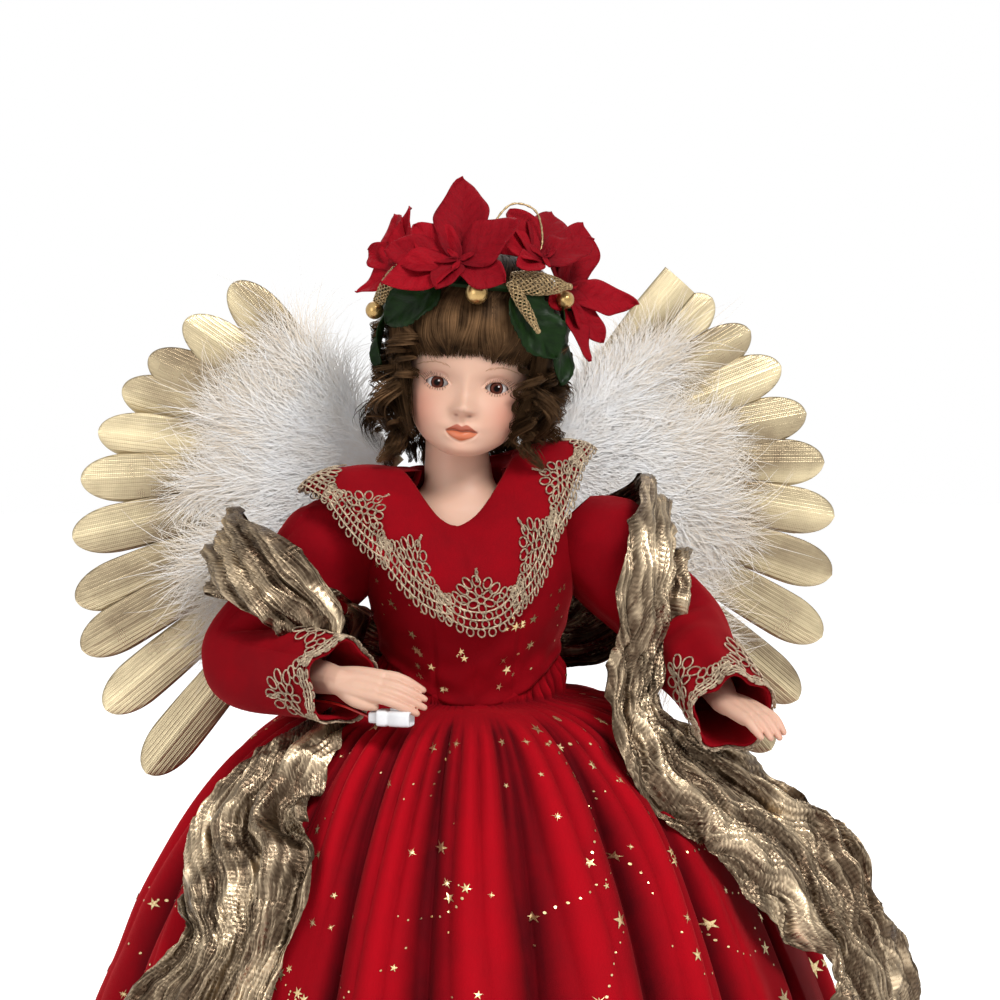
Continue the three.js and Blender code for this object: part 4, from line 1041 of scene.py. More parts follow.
RIGHT_ARM = Arm(
    Side.RIGHT, shoulder=(-68, 2, 406), elbow=(-111, -8, 362), wrist=(-68, -68, 361), tip=(-28, -86, 357),
    back=(0.1, -0.75, 0.65), thumb=1,
)
LEFT_ARM = Arm(
    Side.LEFT, shoulder=(66, 2, 406), elbow=(106, -6, 372), wrist=(118, -74, 349), tip=(138, -104, 341),
    back=(0.15, -0.45, 0.88), thumb=-1,
)


@dataclass
class HandLight:
    """White plug under the right hand with its red and black leads."""

    middle: Point = (-44, -81, 345)
    length: float = 21.0
    width: float = 9.0
    height: float = 8.0
    lead: float = 1.3
    wrist_radius: float = 7.4
    forearm_radius: float = 9.0
    sides: int = 40
    corner: float = 0.45
    latch: Point = (3.2, 1.5, 0.5)
    stations: tuple[Pair, ...] = (
        (-0.5, 0.3), (-0.5, 0.62), (-0.47, 0.7), (-0.3, 0.72), (-0.29, 0.95), (-0.26, 1.0), (-0.08, 1.0),
        (-0.06, 0.9), (0.0, 0.9), (0.02, 0.98), (0.44, 0.94), (0.5, 0.86), (0.5, 0.7), (0.36, 0.66), (0.34, 0.0),
    )

    def build(self) -> None:
        """Makes the leads, then the plug that they end in."""
        arm = RIGHT_ARM
        along = arm.hand_axes()[0]
        level = unit(np.array([along[0], along[1], 0.0]))
        across = np.array([-level[1], level[0], 0.0])
        plug = self._plug(level, across)
        end = np.array(self.middle) - level * (self.length / 2 + 0.6)
        under = np.array(arm.wrist) + [0, 0, -self.wrist_radius - 4]
        on_bone = np.array(arm.elbow) + 0.6 * np.subtract(arm.wrist, arm.elbow)
        inside = on_bone + [0, 0, -self.forearm_radius - 4]
        for name, finish, way in (("red_lead", LEAD_RED, -1), ("black_lead", LEAD_BLACK, 1)):
            shift = across * way * self.lead * 0.55
            path = smooth_path([inside + shift, under + shift, end + shift], 24)
            self._lead(name, finish, path)

    def _lead(self, name: str, finish: Finish, path: Array) -> None:
        """Args:
            name: Name of the piece.
            finish: Its finish.
            path: Points in millimetres from the sleeve to the plug.
        """
        data = bpy.data.curves.new(name, "CURVE")
        data.dimensions = "3D"
        data.bevel_depth = self.lead / 2 * MM
        data.bevel_resolution = 4
        line = data.splines.new("POLY")
        line.points.add(len(path) - 1)
        for point, place in zip(line.points, path * MM):
            point.co = (*place, 1.0)
        made = link_new(name, data)
        data.materials.append(finish.material())
        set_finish(made, finish.slot)
        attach(made, RIGHT_ARM.fore_body)
        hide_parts("hand_lead")

    def _plug(self, level: Array, across: Array) -> Object:
        """Makes the plug: a rounded housing with a collar and a latch.

        Args:
            level: The way the plug points.
            across: The way across it.

        Returns:
            The plug.
        """
        piece = Piece("lamp_plug")
        half_w, half_h = self.width / 2, self.height / 2
        angle = np.arange(self.sides) * TURN / self.sides
        flat = np.sign(np.cos(angle)) * np.abs(np.cos(angle)) ** self.corner
        rise = np.sign(np.sin(angle)) * np.abs(np.sin(angle)) ** self.corner
        up = np.array([0.0, 0.0, 1.0])
        rings = [
            np.array(self.middle) + level * share * self.length
            + size * (flat[:, None] * half_w * across + rise[:, None] * half_h * up)
            for share, size in self.stations
        ]
        piece.grid(rings, True)
        latch = np.array(self.middle) + up * (half_h + 0.35) + level * self.length * 0.16
        long, wide, tall = self.latch
        points = [
            latch + level * x * long + across * y * wide + up * z * tall
            for z in (-1, 1) for x, y in ((-1, -1), (1, -1), (1, 1), (-1, 1))
        ]
        box = [[0, 3, 2, 1], [4, 5, 6, 7], [0, 1, 5, 4], [1, 2, 6, 5], [2, 3, 7, 6], [3, 0, 4, 7]]
        piece.add(points, np.array(box))
        return piece.place(CASING, RIGHT_ARM.fore_body, "lamp_connector")


@dataclass
class Bodice:
    """Velvet bodice over a stuffed body, with a waist seam that dips in front and small printed stars."""

    waist: float = 342.3
    top: float = 430.0
    sections: Rows = (
        (342.3, 40, 33), (362, 43, 37), (384, 49, 42), (404, 53, 40), (420, 53, 35), (430, 49, 30),
    )
    seam: float = 21.0
    seam_rise: float = 24.0
    stars: int = 60
    columns: int = 240
    rows: int = 58
    inset: float = 2.6
    body_columns: int = 64
    body_levels: tuple[float, ...] = (333.5, 342.3, 350, 362, 373, 384, 394, 404, 410, 413)
    yoke_open: float = 1.1
    yoke_columns: int = 120
    yoke_rows: int = 16
    yoke: Rows = (
        (432, 45.5, 30, 0, 0), (436, 42, 29, 0, 0), (440, 37, 27.5, -2, 0), (445, 30, 24, -3, 0),
        (450, 25, 22, -4, 0), (456, 22, 20, -5, 0),
    )

    def radii(self, z: Array) -> tuple[Array, Array]:
        """Half width and half depth at a height.

        Args:
            z: Heights.

        Returns:
            Both halves.
        """
        rows = np.array(self.sections)
        read = row_at(rows, np.interp(z, rows[:, 0], np.linspace(0, 1, len(rows))))
        return read[..., 1], read[..., 2]

    def seam_height(self, angle: Array) -> Array:
        """Height of the waist seam at angles from the front."""
        return self.waist + self.seam_rise * np.abs(np.sin(angle)) ** 2.5

    def surface(self, angle: Array, share: Array, grow: Array | float = 0.4) -> Array:
        """Points of the bodice at angles from the front and shares of the way up from the waist seam.

        Args:
            angle: Bearings from the front.
            share: Shares of the way.
            grow: How far they stand off.

        Returns:
            The points.
        """
        low = self.seam_height(angle)
        z = low + (self.top - low) * share
        width, depth = self.radii(z)
        facing = np.clip(np.cos(angle), 0, 1)
        x = np.abs((width + grow) * np.sin(angle))
        bust = 3.4 * bell(x, 21, 12) * bell(z, 396, 15) * facing
        dart = -1.1 * bell(x, self.seam + (z - 375) * 0.06, 0.8) * smooth(z, 415, 395) * facing
        crease = 0.8 * ripple(5, angle * 45, z, 12, 44) * smooth(z, 402, 350)
        out = grow + bust + dart + crease + 1.6 * bell(share, 0.0, 0.03)
        return oval(angle, width + out, depth + out, z)

    def build(self) -> None:
        """Makes the stuffed body, the bodice and its stars."""
        self._body()
        angle = circle(self.columns)
        shares = np.concatenate([[0.06, -0.012], np.linspace(-0.008, 1, self.rows), [0.985]])
        grow = np.concatenate([[-2.6, -1.2], np.full(self.rows, 0.4), [-2.5]])
        piece = Piece("bodice_velvet")
        piece.grid([self.surface(angle, np.full(self.columns, at), out) for at, out in zip(shares, grow)], True)
        made = piece.place(VELVET, FIGURE, "bodice")
        self._yoke()
        stars = StarPrint("bodice_stars", lambda a, s: self.surface(a, s, 0.7), lambda s: (1 / 44, 1 / 85))
        chance = np.random.default_rng(21)
        places = np.stack([chance.uniform(-1.1, 1.1, self.stars), chance.uniform(0.06, 0.72, self.stars)], -1)
        stars.add(places, chance.choice([0.45, 0.6, 1.3, 2.0, 2.6], self.stars), 31)
        stars.piece.place(STAR_FOIL, FIGURE)

    def _yoke(self) -> None:
        """Velvet yoke from the bodice's top over the shoulders to the neck, open in front."""
        angle = np.linspace(self.yoke_open, TURN - self.yoke_open, self.yoke_columns)
        low = self.surface(angle, np.full(self.yoke_columns, 0.98), 0.9)
        rows = []
        for share in np.linspace(0, 1, self.yoke_rows):
            level, wide, deep, x, y = row_at(np.array(self.yoke), np.array(share))
            ring = oval(angle, wide, deep, level) + [x, y, 0]
            rows.append(low + (ring - low) * smooth(share, 0.0, 0.25))
        last = rows[-1]
        stand = Collar().surface(angle, np.full(self.yoke_columns, 0.04), 0.5)
        rows += [last + (stand - last) * share for share in (0.3, 0.65, 1.0)]
        piece = Piece("bodice_yoke")
        piece.grid(rows)
        made = piece.place(VELVET, FIGURE, "bodice")

    def _body(self) -> None:
        """The stuffed body inside."""
        angle = circle(self.body_columns)
        rows = []
        for z in self.body_levels:
            width, depth = self.radii(np.maximum(z, self.waist))
            close = 6 * smooth(z, 404, 413) + self.inset
            rows.append(oval(angle, width - close, depth - close, z))
        piece = Piece("stuffed_body")
        piece.grid([rows[0] * [0.02, 0.02, 1], *rows, rows[-1] * [0.02, 0.02, 1]], True)
        made = piece.place(MUSLIN, FIGURE, "torso")


class StarPrint:
    """Stars and dots of foil laid on a cloth surface."""

    def __init__(
        self, name: str, surface: Callable[[Array, Array], Array], pace: Callable[[float], Pair]
    ) -> None:
        """Keeps the surface.

        Args:
            name: Name of the piece.
            surface: Gives points for two cloth coordinates.
            pace: Gives how much each coordinate changes in one millimetre, for the second coordinate.
        """
        self.piece = Piece(name)
        self.surface = surface
        self.pace = pace

    def add(self, places: Array, sizes: Array, seed: int) -> None:
        """Adds stars, or round dots where the size is under 1 mm.

        Args:
            places: Cloth coordinates of each star's middle.
            sizes: Radius of each star.
            seed: Fixes turns and kinds.
        """
        chance = np.random.default_rng(seed)
        for (u, v), size in zip(places, sizes):
            tips = int(chance.choice([5, 5, 6, 8]))
            count = 2 * tips if size > 1.0 else 8
            k = np.arange(count)
            angle = k * TURN / count + chance.uniform(0, TURN)
            reach = np.ones(count)
            if size > 1.0:
                reach = np.array([1.0, 0.2, 0.62, 0.2] if tips == 8 else [1.0, 0.36, 1.0, 0.36])[k % 4]
            ring = np.stack([np.cos(angle), np.sin(angle)], -1) * (reach * size)[:, None]
            flat = np.concatenate([np.zeros((1, 2)), ring * 0.5, ring])
            pace = self.pace(v)
            n = (k + 1) % count
            points = self.surface(u + flat[:, 0] * pace[0], v + flat[:, 1] * pace[1])
            self.piece.add(points, np.stack([0 * k, 1 + k, 1 + n], -1))
            quads = np.stack([1 + k, 1 + count + k, 1 + count + n, 1 + n], -1)
            self.piece.faces.append(quads + self.piece.count - len(flat))


# Falls of the stole on the skirt: bearing from the front, height and how far the cloth stands off
RIGHT_FALL = ((-57, 318, 4), (-53, 290, 7), (-46, 250, 7), (-50, 185, 6), (-53, 90, 6), (-55, 17, 6))
LEFT_FALL = ((52, 320, 6), (60, 300, 14), (64, 268, 24), (67, 218, 30), (65, 150, 18), (63, 80, 8), (62, 17, 5))


@dataclass
class Skirt:
    """Gathered velvet skirt: uneven round folds as in the solid, narrow pleats at the waist and printed stars."""

    bodice: Bodice
    waist_z: float = 342.0
    waist_half: Pair = (42.0, 35.0)
    hem_z: float = 3.0
    hem_radius: float = 229.0
    flare: float = 0.42
    folds: int = 20
    waist_fold: float = 1.0
    hem_fold: float = 11.0
    proud: float = 5.0
    round: float = 0.8
    sway: tuple[tuple[int, float, float], ...] = ((2, 0.9, 0.4), (3, 0.8, 2.1), (5, 0.6, 4.0), (7, 0.4, 1.2))
    stars: int = 900
    trails: int = 130
    columns: int = 960
    rows: int = 96

    def share_at(self, z: Array) -> Array:
        """Share of the way from the waist to the hem."""
        return (self.waist_z - np.asarray(z, float)) / (self.waist_z - self.hem_z)

    def fold_depth(self, share: Array) -> Array:
        """Half depth of a fold."""
        return self.waist_fold + (self.hem_fold - self.waist_fold) * np.sqrt(np.clip(share, 0, 1))

    def radii(self, share: Array) -> tuple[Array, Array]:
        """Half width and half depth of the flare.

        Args:
            share: Shares of the way down.

        Returns:
            Both halves.
        """
        swell = np.clip(share, 0, 1) ** self.flare
        wide, deep = (half + (self.hem_radius - half) * swell for half in self.waist_half)
        return wide, deep

    def _under_stole(self, angle: Array, z: Array) -> Array:
        """How far a place lies under the stole's falls, from 0 to 1.

        Args:
            angle: Bearings from the front.
            z: Heights.

        Returns:
            The shares.
        """
        total = 0.0
        for fall in (RIGHT_FALL, LEFT_FALL):
            rows = np.radians(np.array(fall)[::-1, 0]), np.array(fall)[::-1, 1]
            middle = np.interp(z, rows[1], rows[0])
            apart = np.abs((angle - middle + math.pi) % TURN - math.pi)
            total = total + smooth(apart, 0.42, 0.2) * smooth(z, 334, 322)
        return np.clip(total, 0, 1)

    def surface(self, even: Array, down: Array, grow: float = 0.0) -> Array:
        """Points of the pleated cloth.

        Args:
            even: Bearing from the front before the folds are crowded.
            down: Share of the way from the waist seam to the hem.
            grow: How far the points stand off.

        Returns:
            The points.
        """
        angle = even - sum(size * np.sin(waves * even + start) for waves, size, start in self.sway) / self.folds
        top = self.bodice.seam_height(angle)
        z = top + (self.hem_z - top) * down
        share = self.share_at(z)
        t = np.clip(share, 0, 1)
        wide, deep = self.radii(share)
        snug = self.bodice.radii(np.clip(z, self.bodice.waist, self.bodice.top))
        loose = 4.0 * smooth(down, 0, 0.05)
        wide, deep = np.maximum(wide, snug[0] + loose), np.maximum(deep, snug[1] + loose)
        depth, swell = self.fold_depth(t), t**self.flare
        crest = np.abs(np.cos(self.folds * even / 2)) ** self.round
        out = -depth + (2 * depth + 4 * self.proud * swell * (1 - swell)) * crest
        shift = 0.9 * np.sin(3 * even + 1) + 0.7 * np.sin(5 * even + 9 * t)
        pleat = np.abs(np.cos(1.5 * self.folds * even + shift)) ** 0.7
        crease = np.abs(np.cos(3.5 * self.folds * even + 2 * shift))
        narrow = 7.0 * smooth(down, 0, 0.03) * np.exp(-np.clip(t - 0.08, 0, 1) / 0.22)
        narrow = narrow + 1.0 * smooth(t, 0.1, 0.4)
        out = out + narrow * (pleat - 0.6) + 1.8 * np.exp(-down / 0.05) * (crease - 0.4)
        out = out + 0.9 * ripple(17, angle * 150, z, 30, 110) * smooth(t, 0.05, 0.3)
        out = out * smooth(down, -0.002, 0.03)
        calm = self._under_stole(angle, z)
        out = out * (1 - calm) + np.minimum(out, 0.3 * depth) * calm + grow
        return oval(angle, wide + out, deep + out, z)

    def build(self) -> None:
        """Makes the skirt, its turned hem and its stars."""
        even = circle(self.columns)
        down = np.linspace(0, 1, self.rows) ** 1.9
        rows = [self.surface(even, np.full(self.columns, d)) for d in down]
        # Painted shade in the fold valleys and painted light on the crests.
        tones = self._shading(np.array(rows))
        tuck = rows[0] * [0.96, 0.96, 1] + [0, 0, 2.0]
        turned = rows[-1] * [0.994, 0.994, 1] - [0, 0, 0.6]
        lining = self.surface(even, np.full(self.columns, 0.965), -2.2)
        piece = Piece("skirt_velvet")
        piece.grid([tuck, *rows, turned, lining], True, tone=tones[[0, *range(len(tones)), -1, -1]])
        made = piece.place(VELVET, FIGURE, "skirt")
        self._print().piece.place(STAR_FOIL, FIGURE)

    @staticmethod
    def _shading(rows: Array) -> Array:
        """Value of each point: painted shade, low in the valleys of the folds, and painted light, high on the
        crests.

        Args:
            rows: Rows of points, top first.

        Returns:
            The values, rows by columns.
        """
        radius = np.linalg.norm(rows[..., :2], axis=-1)
        spread = [np.roll(radius, shift, axis=1) for shift in range(-24, 25, 4)]
        rise = (radius - np.mean(spread, axis=0)) / (np.std(spread, axis=0) + 0.9)
        return np.clip(0.55 + 0.42 * rise, 0.05, 1.0)

    def _print(self) -> StarPrint:
        """Scattered stars, and trails of dots that end in a star.

        Returns:
            The print, not yet made.
        """

        def pace(down: float) -> Pair:
            """Change of bearing and of share in one millimetre.

            Args:
                down: Share of the way down.

            Returns:
                Both changes.
            """
            z = self.waist_z - (self.waist_z - self.hem_z) * np.clip(down, 0.01, 1)
            radius = float(self.radii(self.share_at(z))[0])
            return 1 / (radius * 1.04), 1 / 390

        made = StarPrint("skirt_stars", lambda a, d: self.surface(a, d, 0.5), pace)
        chance = np.random.default_rng(8)
        deep = chance.uniform(0.02, 0.97, self.stars)
        kinds = chance.choice([0.13, 0.5, 0.85, 1.2], self.stars, p=[0.42, 0.22, 0.22, 0.14])
        size = (1.6 + 6.5 * deep**0.8) * kinds
        made.add(np.stack([chance.uniform(0, TURN, self.stars), deep], -1), np.maximum(size, 0.42), 77)
        for trail in range(self.trails):
            place = np.array([chance.uniform(0, TURN), chance.uniform(0.05, 0.9)])
            heading, bend = chance.uniform(0, TURN), chance.normal(0, 0.16)
            spots = []
            for _ in range(chance.integers(5, 11)):
                step = np.array([math.cos(heading), math.sin(heading)]) * 5.2
                place = place + step * pace(place[1])
                heading += bend
                spots.append(np.clip(place, [-9, 0.02], [9, 0.98]))
            sizes = np.linspace(0.4, 0.75, len(spots))
            made.add(np.array(spots[:-1]), sizes[:-1], 900 + trail)
            made.add(np.array(spots[-1:]), np.array([2.0 + 3.4 * place[1]]), 2000 + trail)
        return made


@dataclass
class Collar:
    """Velvet cape collar with a pointed front."""

    neck: tuple[float, ...] = (-7.5, -9, 28.5, 30, 24, 430, 460, 456)
    edge: tuple[float, ...] = (-12, 2, 70, 49, 39, 382, 457, 426)
    tilt: float = 0.135
    rise: float = 7.0
    cloth: float = 1.6
    columns: int = 260
    rows: int = 30

    def _line(self, row: tuple[float, ...], angle: Array) -> Array:
        """Points of an edge.

        Args:
            row: Middle, tip, half, front, back and heights in front, at the sides and behind.
            angle: Bearings from the front.

        Returns:
            The points.
        """
        middle, tip, half, front, back, front_z, side_z, back_z = row
        facing = np.cos(angle)
        ahead = np.maximum(facing, 0)
        x = middle + (tip - middle) * ahead**4 + half * np.sin(angle)
        z = np.where(facing > 0, side_z + (front_z - side_z) * ahead**3, side_z + (back_z - side_z) * facing**2)
        y = -np.where(facing > 0, front, back) * facing
        return np.stack([x, y, z + self.tilt * x * (1 - ahead)], -1)

    def surface(self, angle: Array, share: Array, lift: float = 0.0) -> Array:
        """Points from the neck edge at share 0 to the outer edge at share 1.

        Args:
            angle: Bearings from the front.
            share: Shares of the way.
            lift: How far they stand off.

        Returns:
            The points.
        """
        angle, share = np.broadcast_arrays(angle, share)
        inner, outer = self._line(self.neck, angle), self._line(self.edge, angle)
        out = unit(np.stack([np.sin(angle), -np.cos(angle), 1 + 0 * angle], -1))
        swell = 4 * share * (1 - share) * self.rise + lift
        wave = 1.5 * share**2 * np.sin(9 * angle + 0.8) + 0.5 * ripple(3, angle * 60, share * 50, 18, 50)
        return inner + (outer - inner) * share[..., None] + out * (swell + wave)[..., None]

    def width(self, angle: Array) -> Array:
        """Distance from the neck edge to the outer edge."""
        return np.linalg.norm(self._line(self.edge, angle) - self._line(self.neck, angle), axis=-1)

    def build(self) -> None:
        """Makes the collar with its turned edges."""
        angle = circle(self.columns)
        shares = np.concatenate([[0.03, -0.012], np.linspace(0, 1, self.rows), [1.012, 0.99, 0.7, 0.4]])
        lifts = np.concatenate([[0.2, 0.9], np.full(self.rows, self.cloth), [0.9, 0.2, 0.2, 0.2]])
        piece = Piece("collar_velvet")
        piece.grid([self.surface(angle, np.full(self.columns, at), up) for at, up in zip(shares, lifts)], True)
        made = piece.place(VELVET, FIGURE, "collar")


@dataclass
class LaceMotif:
    """One pointed motif of gilt lace in strip coordinates: along the edge, and inwards from it."""

    width: float = 33.0
    height: float = 24.0
    thread: float = 0.42
    steps: int = 14

    def _ring(self, u: float, v: float, long: float, wide: float, turn: float = 0.0) -> Array:
        """An oval loop round a middle, turned from the inward direction.

        Args:
            u: Middle along the edge.
            v: Middle inwards.
            long: Half length.
            wide: Half width.
            turn: Turn in radians.

        Returns:
            Points of the loop.
        """
        angle = np.arange(self.steps) * TURN / self.steps
        a, b = long * np.cos(angle), wide * np.sin(angle)
        sine, cosine = math.sin(turn), math.cos(turn)
        return np.stack([u + a * sine + b * cosine, v + a * cosine - b * sine], -1)

    def loops(self) -> Array:
        """All closed loops, loops by steps by 2.

        Returns:
            The loops.
        """
        half, tall = self.width / 2, self.height
        made = []
        for row, (level, size) in enumerate(((-3.3, 1.5), (-0.1, 1.5), (3.2, 1.6))):
            count = 10 - row % 2
            for k in range(count):
                u = (k - (count - 1) / 2) / ((count - 1) / 2) * (half - 1.3)
                made.append(self._ring(u, level + 4.2 * (u / half) ** 2, size, size * 0.92))
        heart = tall * 0.42
        made.append(self._ring(0, heart, 1.6, 1.6))
        for k in range(6):
            turn = k * TURN / 6
            made.append(self._ring(3.9 * math.sin(turn), heart + 3.9 * math.cos(turn), 2.2, 1.5, turn))
        for k in range(7):
            turn = (k - 3) / 3 * 1.7
            reach = 8.6 - 1.0 * abs(k - 3) / 3
            made.append(self._ring(reach * math.sin(turn), heart + reach * math.cos(turn), 2.6, 1.8, turn))
        for way in (-1, 1):
            for u, v, long, wide, turn in (
                (10.0, 9.8, 2.3, 1.6, 0.9), (12.9, 8.2, 2.0, 1.5, 0.7), (7.6, 6.8, 1.8, 1.5, 0.2),
                (15.0, 7.2, 1.7, 1.3, 0.4),
            ):
                made.append(self._ring(way * u, v, long, wide, way * turn))
        return np.array(made) * [self.width / 33, self.height / 24]

    def lines(self) -> Array:
        """Open threads: the stem and the bars of the edge, lines by steps by 2.

        Returns:
            The threads.
        """
        half, tall = self.width / 2, self.height
        t = np.linspace(0, 1, self.steps)
        made = []
        for way in (-1, 1):
            made.append(np.stack([way * 0.45 * np.cos(9 * t) + 1.2 * t, 0.76 * tall + t * tall * 0.28], -1))
        for level in (-1.7, 1.6, 4.9):
            u = (2 * t - 1) * half
            made.append(np.stack([u, level + 4.2 * (u / half) ** 2], -1))
        return np.array(made) * [self.width / 33, 1.0]

    def lay(self, piece: Piece, where: Callable[[Array, Array, float], Array], start: float, seed: int) -> None:
        """Lays the motif on a surface.

        Args:
            piece: The lace that it becomes part of.
            where: Gives points for places along and inwards, and a lift.
            start: Place of the motif's middle along the edge.
            seed: Fixes how unevenly the threads lie.
        """
        chance = np.random.default_rng(seed)
        for flat, wrap in ((self.loops(), True), (self.lines(), False)):
            lift = chance.uniform(0.0, 0.45, len(flat))[:, None]
            uneven = flat + chance.normal(0, 0.12, (len(flat), 1, 2))
            paths = where(start + uneven[..., 0], uneven[..., 1], lift)
            points, faces = tubes(paths, self.thread, 5, wrap)
            run = np.arange(len(points)) // 5 % self.steps
            spot = np.stack([run * 0.9, points[:, 0], points[:, 2]], -1)
            piece.add(points, faces, spot=spot)


@dataclass
class CollarLace:
    """Lace of pointed motifs along the collar's outer edge."""

    collar: Collar
    motifs: int = 11
    first: float = 0.02

    def build(self) -> None:
        """Makes the lace and lays it on the collar."""
        angle = np.linspace(-math.pi, math.pi, 721)
        line = self.collar.surface(angle, np.ones_like(angle))
        run = np.concatenate([[0], np.cumsum(np.linalg.norm(np.diff(line, axis=0), axis=1))])
        around = run[-1]
        front = np.interp(self.first, angle, run)
        width = self.collar.width(angle)

        def where(u: Array, v: Array, lift: float) -> Array:
            """Points for places along the edge and inwards from it.

            Args:
                u: Along the edge.
                v: Inwards from it.
                lift: How far they stand off.

            Returns:
                The points.
            """
            bearing = np.interp((front + u) % around, run, angle)
            share = 1 - v / np.interp(bearing, angle, width)
            return self.collar.surface(bearing, share, self.collar.cloth + 0.8 + lift)

        piece = Piece("collar_gilt_lace")
        motif = LaceMotif(width=around / self.motifs)
        for k in range(self.motifs):
            motif.lay(piece, where, around * k / self.motifs, 400 + k)
        piece.place(LACE_THREAD, FIGURE, "collar_lace")


@dataclass
class Sleeve:
    """Velvet sleeve of one arm with lace round its cuff, over a stuffed upper arm."""

    arm: Arm
    radii: tuple[float, ...] = (26, 24, 23, 19.5, 19)
    puff: float = 10.0
    columns: int = 112
    rows: int = 84
    motifs: int = 3
    lace_height: float = 32.0

    def __post_init__(self) -> None:
        """Works out the stations that the sleeve is read from."""
        bones = (self.arm.shoulder, self.arm.elbow, self.arm.wrist)
        shoulder, elbow, wrist = (np.array(point, float) for point in bones)
        shoulder = shoulder + np.array([0.0, 0.0, self.puff])
        self.down, self.onward = unit(elbow - shoulder), unit(wrist - elbow)
        self.across = unit(np.cross(self.down, self.onward))
        top, upper, bend, fore, cuff = self.radii
        middle = unit(self.down + self.onward)
        over = {Side.RIGHT: 1.0, Side.LEFT: 10.0}[self.arm.side]
        self.stations = np.array([
            [*(shoulder - self.down * top * 0.85), *self.down, top * 0.5],
            [*(shoulder - self.down * top * 0.5), *self.down, top * 0.86],
            [*shoulder, *self.down, top],
            [*((shoulder + elbow) / 2), *self.down, upper],
            [*elbow, *middle, bend],
            [*((elbow + wrist) / 2), *self.onward, fore],
            [*(wrist + self.onward * over), *self.onward, cuff],
        ])
        self.fore_half = float(np.linalg.norm(wrist - elbow)) / 2
        self.inside = unit(self.onward - self.down)

    def surface(self, angle: Array, share: Array, grow: Array | float = 0.0) -> Array:
        """Points of the sleeve from the shoulder at share 0 to the cuff at share 1.

        Args:
            angle: Angles round the arm.
            share: Shares of the way.
            grow: How far they stand off.

        Returns:
            The points.
        """
        angle, share = np.broadcast_arrays(np.asarray(angle, float), np.asarray(share, float))
        row = row_at(self.stations, share)
        way = unit(row[..., 3:6])
        side = np.cross(way, self.across)
        out = np.cos(angle)[..., None] * self.across + np.sin(angle)[..., None] * side
        inner = np.clip((out * self.inside).sum(-1), 0, 1)
        seed = 60 + self.arm.side.value
        folds = 2.2 * bell(share, 0.66, 0.1) * inner * np.sin(46 * share)
        soft = 1.2 * ripple(seed, angle * 23, share * 150, 20, 60) * smooth(share, 0.05, 0.3)
        flute = 1.6 * smooth(share, 0.84, 1.0) * np.sin(5 * angle + 0.6)
        droop = 3.0 * np.clip(-out[..., 2], 0, 1) * bell(share, 0.78, 0.12)
        radius = row[..., 6] + folds + soft + flute + droop + grow
        return row[..., 0:3] + out * radius[..., None]

    def build(self) -> None:
        """Makes the stuffed arm, the sleeve and the cuff's lace."""
        label = self.arm.side.label
        self._stuffed_arm()
        angle = circle(self.columns)
        shares = np.concatenate([np.linspace(0, 1, self.rows), [1.004, 1.0, 0.97, 0.92, 0.86]])
        grow = np.concatenate([np.full(self.rows, 0.3), [-0.5, -1.3, -1.4, -1.4, -1.4]])
        piece = Piece(f"{label}_sleeve_velvet")
        piece.grid([self.surface(angle, np.full(self.columns, at), out) for at, out in zip(shares, grow)], True)
        made = piece.make(VELVET)
        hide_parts(f"{label}_sleeve")
        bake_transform(made)
        self._lace()

    def _lace(self) -> None:
        """Pointed lace round the cuff."""
        label = self.arm.side.label
        radius = self.radii[-1]

        def where(u: Array, v: Array, lift: float) -> Array:
            """Points for places round the cuff and back from its edge."""
            return self.surface(u / radius, 1 - v / (6 * self.fore_half), 1.2 + lift)

        piece = Piece(f"{label}_cuff_gilt_lace")
        motif = LaceMotif(width=TURN * radius / self.motifs, height=self.lace_height)
        front = np.array([0.0, -1.0, 0.25 * self.arm.side.value])
        beside = np.cross(self.onward, self.across)
        extra = {Side.RIGHT: 0.0, Side.LEFT: TURN / 6}[self.arm.side]
        turn = math.atan2(front @ beside, front @ self.across) + extra
        for k in range(self.motifs):
            motif.lay(piece, where, (turn + k * TURN / self.motifs) * radius, 500 + k)
        piece.place(LACE_THREAD, self.arm.fore_body, f"{label}_cuff_lace")

    def _stuffed_arm(self) -> None:
        """The stuffed upper arm inside, with its ball at the elbow."""
        label = self.arm.side.label
        shoulder, elbow = np.array(self.arm.shoulder, float), np.array(self.arm.elbow, float)
        shares = np.array([-0.25, -0.24, -0.18, -0.1, 0.1, 0.3, 0.5, 0.75, 0.88, 1.0, 1.1, 1.14, 1.145])
        sizes = np.array([0.2, 4.5, 9, 12.5, 15, 14.4, 13, 10.4, 9, 9, 6, 2.5, 0.2])
        path = shoulder + (elbow - shoulder) * shares[:, None]
        piece = Piece(f"{label}_stuffed_arm")
        piece.add(*tubes(path[None], sizes[None], 32))
        made = piece.place(MUSLIN, self.arm.upper_body, f"{label}_upper_arm")


SKIN = shade(218, 175, 151)
BLUSH = shade(214, 144, 122)
LIP_UPPER = shade(176, 88, 62)
LIP_LOWER = shade(204, 110, 70)


